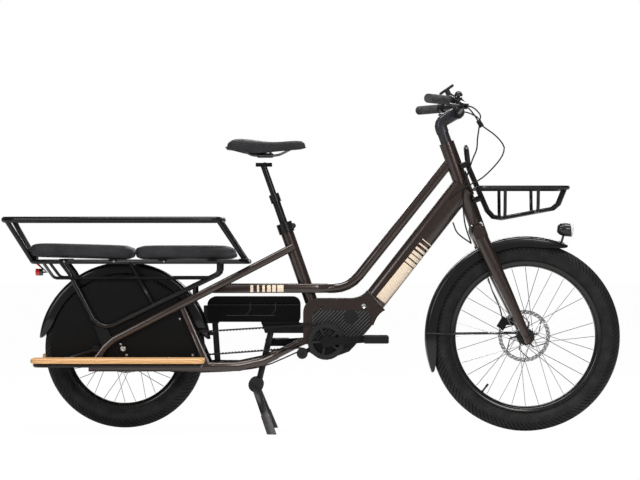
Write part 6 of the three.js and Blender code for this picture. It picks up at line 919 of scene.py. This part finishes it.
def tyre_section(bead, half, wall):
    """The closed section of a tyre on its bead, with its half width and the thickness of its wall."""
    middle, foot = (bead + BEAD_TO_TREAD - TYRE_ROUND_DROP) * MM, bead * MM + TYRE_FOOT_RISE
    outer = [(foot, TYRE_FOOT), (bead * MM + 0.0068, 0.0178)]
    for angle in map(math.radians, (122, 108, 94, 80, 66, 52, 38, 25, 12, 0)):
        outer.append((middle + TYRE_ROUND * math.cos(angle), half * math.sin(angle) ** 0.92))
    inner = []
    for angle in map(math.radians, (0, 25, 50, 75, 100, 118)):
        inner.append((middle + (TYRE_ROUND - wall) * math.cos(angle), (half - wall) * math.sin(angle)))
    inner.append((foot, TYRE_FOOT - wall))
    return outer + turned_back(outer[:-1]) + turned_back(inner) + inner[1:]


class BIKE_OT_fit_tyres(bpy.types.Operator):
    """Turns the tyres and rims, with valves, and finishes the hubs and discs"""

    bl_idname = "bike.fit_tyres"
    bl_label = "Fit tyres and rims"

    def execute(self, context):
        wheels = context.scene.bike_wheels
        rim_paint = satin_black("rim paint", 0.26, grey(0.008), coat=0.4)
        for end, axle, bead, sipes, valve_at, flange in (
            ("front", FRONT_AXLE, FRONT_BEAD, wheels.front_sipes, 232, 0.030),
            ("rear", REAR_AXLE, REAR_BEAD, wheels.rear_sipes, 190, 0.047),
        ):
            centre, body = place(axle[0], 0, axle[1]), end + "_wheel"
            tyre = tyre_section(bead, wheels.tyre_half_width, wheels.tyre_wall)
            rubber = tyre_rubber(end + " tyre rubber", axle, bead + BEAD_TO_TREAD, bead, sipes)
            rim = [((bead + rise) * MM, half * MM) for rise, half in RIM_SECTION]
            for name, section, material, slot, crease, solid in (
                ("_tyre_tread", tyre, rubber, "tyre", 60, "_tyre"),
                ("_rim_ring", rim + turned_back(rim), rim_paint, "black_metal", 40, "_rim"),
            ):
                ring = spun(section, centre, Vector((0, 1, 0)), wheels.turn_steps)
                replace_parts(make_piece(end + name, ring, material, body, crease), end + solid)
            foot = around(axle, bead - VALVE_FOOT_DROP, valve_at)
            valve = spun(VALVE_PROFILE, foot, centre - foot, 18, closed=False)
            cap = matte_plastic(end + " valve cap", 0.012, 0.5, 1500)
            make_piece(end + "_valve", valve, cap, body)
            dress(hub_finish(end + " hub", axle, flange), end + "_hub", crease=35)
            dress(rotor_steel(end + " disc", axle), end + "_rotor", crease=35)
        return {"FINISHED"}


# Mudguards. A section's points are a depth below the sheet's top and a half width.

GUARD_RISE, GUARD_SKIRT, GUARD_STEP_DEGREES = 20.5, 0.0085, 1.5
GUARD_OVER = (
    (38.0, 42.0), (26.0, 42.1), (14.0, 42.0), (9.5, 41.2), (6.0, 38.8), (3.2, 34.5), (1.2, 28.5), (0.3, 20.0),
    (0.0, 8.0),
)
GUARD_UNDER = (
    (38.0, 39.6), (26.0, 39.7), (15.0, 39.6), (11.0, 38.9), (8.1, 36.9), (5.6, 33.2), (3.7, 27.8),
    (2.8, 19.7), (2.5, 8.0),
)
STEERING_FOOT, STEERING_UP = (1345.63, 0, 314.77), Vector((-0.34202, 0, 0.93969))
STAY_ANGLE, STAY_ARM = 178, ((340, 43.5), (325, 42.8), (300, 44.5), (268.5, 47.0))
GUARD_BOSS_RADIUS, STAY_RADIUS = 0.0118, 0.0025


def guard_blade(axle, tread, start, stop, tip):
    """A mudguard's sheet: a section carried round the axle, shallower and narrower towards its tips."""
    outer, centre = tread + GUARD_RISE, place(axle[0], 0, axle[1])
    bm = bmesh.new()
    section = [*GUARD_OVER, *turned_back(GUARD_OVER), *turned_back(GUARD_UNDER), *GUARD_UNDER]
    ring = [bm.verts.new(around(axle, outer - deep, start, y)) for deep, y in section]
    edges = [bm.edges.new((ring[i - 1], ring[i])) for i in range(len(ring))]
    bmesh.ops.spin(bm, geom=ring + edges, cent=centre, axis=(0, -1, 0), angle=math.radians(stop - start),
                   steps=int((stop - start) / GUARD_STEP_DEGREES), use_merge=False, use_duplicate=False)
    bmesh.ops.holes_fill(bm, edges=[edge for edge in bm.edges if len(edge.link_faces) == 1], sides=0)
    for vert in bm.verts:
        away = vert.co - centre
        angle = math.degrees(math.atan2(away.z, away.x))
        angle += 360 if angle < -90 else 0
        near = max(0.0, min(angle - start, stop - angle) / tip)
        if near < 1:
            swell = math.sin(near * math.pi / 2)
            radius = math.hypot(away.x, away.z)
            deep = outer * MM - radius
            if deep > GUARD_SKIRT:
                deep = GUARD_SKIRT + (deep - GUARD_SKIRT) * swell ** 0.7
            vert.co.y *= 0.5 + 0.5 * swell ** 0.5
            vert.co.x = centre.x + away.x / radius * (outer * MM - deep)
            vert.co.z = centre.z + away.z / radius * (outer * MM - deep)
    return bm


class BIKE_OT_shape_guards(bpy.types.Operator):
    """Bends the mudguards' sheets, with their bosses and stays"""

    bl_idname = "bike.shape_guards"
    bl_label = "Shape guards"

    def execute(self, context):
        plastic = gloss_black("mudguard plastic")
        stay_paint = satin_black("guard stay paint", 0.3)
        for end, axle, tread, start, stop, tip, body in (
            ("front", FRONT_AXLE, 324.0, 65.0, 201.0, 20.0, "steering"),
            ("rear", REAR_AXLE, 273.5, 6.0, 173.0, 16.0, "frame"),
        ):
            sheet = guard_blade(axle, tread, start, stop, tip)
            blade = make_piece(end + "_guard_blade", sheet, plastic, body, crease=50)
            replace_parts(blade, end + "_mudguard")
        foot = place(*STEERING_FOOT)
        for end, low, high, body in (
            ("front", foot + STEERING_UP * 0.340, foot + STEERING_UP * 0.365, "steering"),
            ("rear", place(-33, 0, 574), place(-33, 0, 584.5), "frame"),
        ):
            boss = bolt(low, high - low, GUARD_BOSS_RADIUS, (high - low).length, sides=32, socket=False)
            make_piece(end + "_guard_boss", boss, stay_paint, body)
        for side, name in SIDES:
            arm = [around(FRONT_AXLE, radius, STAY_ANGLE, side * y) for radius, y in STAY_ARM]
            arm.append(place(FRONT_AXLE[0] - 24, side * 47.0, FRONT_AXLE[1] + 12))
            stay, line = hose("front_guard_stay_" + name, arm, STAY_RADIUS, stay_paint, 40)
            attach(stay, "steering")
        return {"FINISHED"}


# Soft parts

CUSHION_TILT = 10.5 / 343
CUSHION_SPREAD = 0.0035
CUSHION_RIM_START, CUSHION_RIM_WIDTH = 0.86, 0.1
CUSHION_SEAM_DROP, CUSHION_SEAM_WIDTH, CUSHION_SEAM_DEPTH = 0.0135, 0.0026, 0.0030
CLOTH = {
    "quality": 5, "mass": 0.3, "tension_stiffness": 22, "compression_stiffness": 22, "shear_stiffness": 8,
    "bending_stiffness": 0.8, "use_pressure": True,
}
PUFF_FRAMES = 20


def smooth_cover(obj):
    """Rounds a soft piece's mesh once."""
    smooth = obj.modifiers.new("smooth cover", "SUBSURF")
    smooth.levels = smooth.render_levels = 1


def cad_copy(name, node):
    """A merged copy of a CAD solid, to shape a soft piece from."""
    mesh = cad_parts[node].data.copy()
    mesh.name = name
    bm = bmesh.new()
    bm.from_mesh(mesh)
    bmesh.ops.remove_doubles(bm, verts=bm.verts, dist=CAD_MERGE)
    bm.to_mesh(mesh)
    bm.free()
    return show(name, mesh)


def apply_modifiers(obj):
    """Bakes an object's modifiers into its mesh."""
    graph = bpy.context.evaluated_depsgraph_get()
    baked = bpy.data.meshes.new_from_object(obj.evaluated_get(graph), depsgraph=graph)
    old = obj.data
    obj.modifiers.clear()
    obj.data = baked
    bpy.data.meshes.remove(old)


def puffed(obj, pressure, cap):
    """Swells a pad with air under its cover, and caps how far a point moves."""
    start = [vertex.co.copy() for vertex in obj.data.vertices]
    cloth = obj.modifiers.new("cover", "CLOTH")
    for setting, value in CLOTH.items():
        setattr(cloth.settings, setting, value)
    cloth.settings.uniform_pressure_force = pressure
    cloth.settings.effector_weights.gravity = 0.0
    cloth.collision_settings.use_collision = False
    cloth.collision_settings.use_self_collision = False
    for number in range(1, PUFF_FRAMES + 1):
        bpy.context.scene.frame_set(number)
    apply_modifiers(obj)
    bpy.context.scene.frame_set(1)
    for vertex, was in zip(obj.data.vertices, start):
        moved = vertex.co - was
        if moved.length > cap:
            vertex.co = was + moved * (cap / moved.length)


class BIKE_OT_pad_cushions(bpy.types.Operator):
    """Makes the two crowned passenger cushions, with a seam pressed in round each"""

    bl_idname = "bike.pad_cushions"
    bl_label = "Pad cushions"

    def execute(self, context):
        soft = context.scene.bike_soft
        cover = seat_cover("cushion cover")
        for name, node in (("rear_seat_pad", "cushion_rear"), ("front_seat_pad", "cushion_front")):
            low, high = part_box(node)
            pad = cad_copy(name, node)
            middle = (low + high) / 2
            shrink = Vector([1 - soft.shrink / ((high[i] - low[i]) / 2) for i in range(3)])
            for vertex in pad.data.vertices:
                vertex.co = Vector([middle[i] + (vertex.co[i] - middle[i]) * shrink[i] for i in range(3)])
            remesh = pad.modifiers.new("even mesh", "REMESH")
            remesh.mode = "VOXEL"
            remesh.voxel_size = soft.voxel
            apply_modifiers(pad)
            puffed(pad, soft.pressure, soft.cap)
            self.settle(pad, low, high)
            pad.data.materials.clear()
            pad.data.materials.append(cover)
            pad.data.shade_smooth()
            smooth_cover(pad)
            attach(pad, "frame")
            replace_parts(pad, node)
        return {"FINISHED"}

    def settle(self, pad, low, high):
        """Evens the pad, stretches it over its length, and presses its seam in along its rim."""
        bm = bmesh.new()
        bm.from_mesh(pad.data)
        for turn in range(2):
            bmesh.ops.smooth_vert(bm, verts=bm.verts, factor=0.5, use_axis_x=True, use_axis_y=True,
                                  use_axis_z=True)
        middle, half = (low + high) / 2, (high - low) / 2
        first, last = min(v.co.x for v in bm.verts), max(v.co.x for v in bm.verts)
        fit = (high.x - low.x + 2 * CUSHION_SPREAD) / (last - first)
        for vertex in bm.verts:
            vertex.co.x = low.x - CUSHION_SPREAD + (vertex.co.x - first) * fit
            seam = high.z - CUSHION_SEAM_DROP - (vertex.co.x - low.x) * CUSHION_TILT
            near = math.exp(-((vertex.co.z - seam) / CUSHION_SEAM_WIDTH) ** 2)
            x, y = vertex.co.x - middle.x, vertex.co.y - middle.y
            share = max(abs(x) / half.x, abs(y) / half.y)
            rim = min(1.0, max(0.0, (share - CUSHION_RIM_START) / CUSHION_RIM_WIDTH))
            out = Vector((x / half.x ** 2, y / half.y ** 2, 0)).normalized()
            vertex.co -= out * CUSHION_SEAM_DEPTH * near * rim
        bm.to_mesh(pad.data)
        bm.free()


# The saddle from tail to nose: share of its length, half width, drop of its top and depth of its side
SADDLE_PROFILE = (
    (0.00, 60, 17, 20), (0.04, 78, 7, 31), (0.12, 93, 1, 42), (0.26, 95, 1.5, 50), (0.40, 78, 6, 46),
    (0.54, 46, 9, 37), (0.70, 28, 8, 34), (0.86, 22, 6.5, 32), (0.95, 19, 8, 28), (1.00, 13, 15, 17),
)
SADDLE_LENGTH, SADDLE_REAR, SADDLE_TOP = 268.0, 350.5, 1000.5
SADDLE_PADDING, SADDLE_RAIL_RADIUS = 0.009, 0.0035
SADDLE_TAIL_END, SADDLE_NOSE_START, SADDLE_SIDE_START, SADDLE_ROUNDING = 0.07, 0.95, 0.66, 0.86
GROOVE_DEPTH, GROOVE_WIDTH, GROOVE_MIDDLE, GROOVE_LENGTH = 2.6, 9.0, 0.45, 0.27
SADDLE_RAIL = (
    (392, 34, 974), (404, 34, 962), (432, 26, 946), (456, 22, 943), (480, 22, 943), (506, 22, 943),
    (530, 19, 947), (562, 10, 962), (584, 5, 972),
)


def saddle_at(share):
    """Half width, top drop and side depth at a share of the saddle's length."""
    rows = SADDLE_PROFILE
    i = max(k for k in range(len(rows) - 1) if share >= rows[k][0] - 1e-9)
    a, b = rows[i], rows[i + 1]
    t = (share - a[0]) / (b[0] - a[0])
    before, after = rows[max(i - 1, 0)], rows[min(i + 2, len(rows) - 1)]
    answer = []
    for k in (1, 2, 3):
        first = (b[k] - before[k]) / (b[0] - before[0]) * (b[0] - a[0])
        last = (after[k] - a[k]) / (after[0] - a[0]) * (b[0] - a[0])
        answer.append((2 * t ** 3 - 3 * t ** 2 + 1) * a[k] + (t ** 3 - 2 * t ** 2 + t) * first
                      + (3 * t ** 2 - 2 * t ** 3) * b[k] + (t ** 3 - t ** 2) * last)
    return answer


def saddle_point(share, across):
    """A point of the saddle's cover, from its share of the length and its place across, from -1 to 1."""
    end = max(0.0, 1 - share / SADDLE_TAIL_END, (share - SADDLE_NOSE_START) / (1 - SADDLE_NOSE_START))
    along = min(max((share - 0.03) / 0.945, 0.0), 1.0)
    if end > 0:
        along = 0.012 * (1 - end) if share < 0.5 else 1 - 0.012 * (1 - end)
    half, drop, depth = saddle_at(along)
    edge = max(0.0, (abs(across) - SADDLE_SIDE_START) / (1 - SADDLE_SIDE_START))
    turn = min(abs(across) / SADDLE_SIDE_START, 1.0) * math.pi / 2
    widest = math.sin(math.pi / 2 * SADDLE_ROUNDING)
    width = math.sin(turn * SADDLE_ROUNDING) / widest * (1 - 0.10 * edge ** 2)
    fall = (1 - math.cos(turn * 0.5)) * 0.8 + edge ** 0.9 * 0.766
    fall = max(fall, 1 - (1 - fall) * (1 - end ** 1.5))
    groove = GROOVE_DEPTH * math.exp(
        -(across * half / GROOVE_WIDTH) ** 2 - ((share - GROOVE_MIDDLE) / GROOVE_LENGTH) ** 4)
    return place(SADDLE_REAR + along * SADDLE_LENGTH, math.copysign(half * width, across),
                 SADDLE_TOP - drop - depth * fall - groove)


class BIKE_OT_pad_saddle(bpy.types.Operator):
    """Shapes the padded saddle with its rails and clamp"""

    bl_idname = "bike.pad_saddle"
    bl_label = "Pad saddle"

    def execute(self, context):
        post = "seatpost_inner"
        bm = bmesh.new()
        bmesh.ops.create_grid(bm, x_segments=44, y_segments=30, size=1.0)
        for vertex in bm.verts:
            vertex.co = saddle_point((vertex.co.x + 1) / 2, vertex.co.y)
        shell = make_piece("saddle_pad", bm, seat_cover("saddle cover"), post, crease=80)
        thick = shell.modifiers.new("padding", "SOLIDIFY")
        thick.thickness = SADDLE_PADDING
        thick.offset = -1
        smooth_cover(shell)
        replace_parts(shell, "saddle")
        rail_steel = steel("saddle rail steel", grey(0.10, 0.11), 0.3)
        for side, name in SIDES:
            points = through([place(x, side * y, z) for x, y, z in SADDLE_RAIL], 40)
            rail = wire("saddle_rail_" + name, points, SADDLE_RAIL_RADIUS, rail_steel)
            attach(rail, post)
        plates = rounded_box(place(452, -23, 936), place(508, 23, 951), 0.004)
        make_piece("saddle_clamp_plates", plates, satin_black("clamp paint", 0.32, grey(0.012, 0.013)), post)
        bolts("saddle_clamp_bolts", ((462, 0, 951), (498, 0, 951)), 4.2, 4.0,
              steel("bolt steel, saddle", grey(0.56, 0.57), 0.28), post, upright=True)
        return {"FINISHED"}


class BIKE_OT_add_bolts(bpy.types.Operator):
    """Adds the screws and nuts of the panels, boards, rack and motor"""

    bl_idname = "bike.add_bolts"
    bl_label = "Add bolts"

    def execute(self, context):
        bright = steel("bolt steel", grey(0.62, 0.63), 0.24)
        dark = satin_black("bolt, black oxide", 0.3, grey(0.012, 0.013))
        panel = [(x, 83.0, z) for x, z in ((192, 387), (236, 264), (-8, 301), (12, 264))]
        board = [(x, y, 257.4) for x in (-186, -12, 158) for y in (212, 132)]
        rack = [(x, 95.0, 581) for x in (-199, -31, 139)]
        bolts("panel_screws", mirrored(panel), 4.2, 2.6, bright)
        bolts("rear_axle_caps", mirrored([(0, 83.0, 285)]), 9.2, 4.5, bright, sides=32)
        bolts("board_screws", mirrored(board), 4.2, 1.6, bright, upright=True)
        bolts("rack_screws", mirrored(rack), 3.2, 2.4, bright)
        bolts("motor_mount_bolts", mirrored([(817, 44.9, 428.5)]), 7.5, 4.0, bright)
        bolts("motor_cover_bolts", mirrored([(671, 44.9, 424)]), 5.5, 3.0, dark)
        return {"FINISHED"}


# The studio

AMBIENT, FLOOR_GLOW, FLOOR_LEVEL = 0.14, 0.985, 0.86
LAMPS = (
    ("softbox above", (0.2, -0.6, 3.4), (0, 0, 0.5), (3.6, 1.0), 150, (1.0, 0.99, 0.97)),
    ("softbox front", (1.9, -4.6, 2.5), (0.2, 0, 0.5), (1.6, 1.6), 95, (1.0, 0.98, 0.96)),
    ("softbox rear", (-2.6, -3.6, 1.9), (-0.2, 0, 0.5), (1.3, 1.8), 50, (0.97, 0.98, 1.0)),
    ("edge light", (0.6, 3.4, 2.2), (0.0, 0, 0.6), (3.0, 1.2), 55, (1.0, 1.0, 1.0)),
)


class BIKE_OT_set_studio(bpy.types.Operator):
    """Sets the camera, the lamps and a white floor and background"""

    bl_idname = "bike.set_studio"
    bl_label = "Set studio"

    def execute(self, context):
        studio = context.scene.bike_studio
        data = bpy.data.cameras.new("camera")
        data.lens = studio.lens
        data.sensor_width = 36.0
        data.shift_y = 5 / 640
        data.clip_start = 0.5
        data.clip_end = 60
        camera = show("camera", data)
        camera.location = (studio.aside, -studio.distance, studio.height)
        camera.rotation_euler = (math.radians(90), 0, 0)
        context.scene.camera = camera
        context.scene.view_settings.view_transform = "Standard"
        self.lamps(studio.lamp_level)
        self.world(context)
        self.floor()
        return {"FINISHED"}

    def lamps(self, level):
        for name, spot, target, size, power, tint in LAMPS:
            data = bpy.data.lights.new(name, "AREA")
            data.shape = "RECTANGLE"
            data.size, data.size_y = size
            data.energy = power * level
            data.color = tint
            lamp = show(name, data)
            lamp.location = spot
            lamp.rotation_euler = (Vector(target) - Vector(spot)).to_track_quat("-Z", "Y").to_euler()

    def world(self, context):
        """White behind the bike, and a dim even light on it."""
        world = bpy.data.worlds.new("studio")
        context.scene.world = world
        world.use_nodes = True
        tree = Tree(world.node_tree)
        seen = tree.add("ShaderNodeLightPath", out="Is Camera Ray")
        passed = Link(tree, seen.socket.node.outputs["Is Transmission Ray"])
        lit, shown = [tree.add("ShaderNodeBackground", values={"Color": grey(1.0), "Strength": strength})
                      for strength in (AMBIENT, 1.0)]
        shades = tree.add("ShaderNodeMixShader", values=[seen.most(passed), lit, shown])
        tree.add("ShaderNodeOutputWorld", values=[shades])

    def floor(self):
        """A floor that takes shadows and looks as white as the background."""
        bm = bmesh.new()
        bmesh.ops.create_grid(bm, x_segments=2, y_segments=2, size=30.0)
        bmesh.ops.translate(bm, verts=bm.verts, vec=(0, 0, -0.0006))
        mesh = bpy.data.meshes.new("floor")
        bm.to_mesh(mesh)
        bm.free()
        material = bpy.data.materials.new("white floor")
        material.use_nodes = True
        tree = Tree(material.node_tree)
        seen = tree.add("ShaderNodeLightPath", out="Is Camera Ray") * FLOOR_GLOW
        matt = tree.add("ShaderNodeBsdfDiffuse", values={"Color": grey(FLOOR_LEVEL)})
        glow = tree.add("ShaderNodeEmission", values={"Strength": 1.0})
        shades = tree.add("ShaderNodeMixShader", values=[seen, matt, glow])
        tree.add("ShaderNodeOutputMaterial", values=[shades])
        mesh.materials.append(material)
        show("floor", mesh)


class BIKE_PT_sidebar(bpy.types.Panel):
    """Lists the steps that dress the bike"""

    bl_idname = "BIKE_PT_sidebar"
    bl_label = "Cargo bike"
    bl_space_type = "VIEW_3D"
    bl_region_type = "UI"
    bl_category = "Cargo bike"

    def draw(self, context):
        for step in STEPS:
            self.layout.operator(step.bl_idname)
        for setting, group in SETTINGS:
            box = self.layout.box()
            for name in group.bl_rna.properties.keys():
                if name not in ("rna_type", "name"):
                    box.prop(getattr(context.scene, setting), name)


STEPS = (
    BIKE_OT_set_studio, BIKE_OT_run_cables, BIKE_OT_paint_frame, BIKE_OT_coat_tubes, BIKE_OT_finish_drive,
    BIKE_OT_finish_controls, BIKE_OT_fit_tyres, BIKE_OT_shape_guards, BIKE_OT_lay_boards,
    BIKE_OT_pad_cushions, BIKE_OT_pad_saddle, BIKE_OT_add_bolts,
)
SETTINGS = (
    ("bike_paint", BikePaint), ("bike_wheels", BikeWheels), ("bike_soft", BikeSoft),
    ("bike_studio", BikeStudio),
)


def register():
    for name, group in SETTINGS:
        bpy.utils.register_class(group)
        setattr(bpy.types.Scene, name, bpy.props.PointerProperty(type=group))
    for step in STEPS:
        bpy.utils.register_class(step)
    bpy.utils.register_class(BIKE_PT_sidebar)


def unregister():
    bpy.utils.unregister_class(BIKE_PT_sidebar)
    for step in reversed(STEPS):
        bpy.utils.unregister_class(step)
    for name, group in reversed(SETTINGS):
        delattr(bpy.types.Scene, name)
        bpy.utils.unregister_class(group)


def main():
    register()
    bpy.ops.bike.set_studio()
    bpy.ops.bike.run_cables()
    bpy.ops.bike.paint_frame()
    bpy.ops.bike.coat_tubes()
    bpy.ops.bike.finish_drive()
    bpy.ops.bike.finish_controls()
    bpy.ops.bike.fit_tyres()
    bpy.ops.bike.shape_guards()
    bpy.ops.bike.lay_boards()
    bpy.ops.bike.pad_cushions()
    bpy.ops.bike.pad_saddle()
    bpy.ops.bike.add_bolts()


if __name__ == "__main__":
    main()
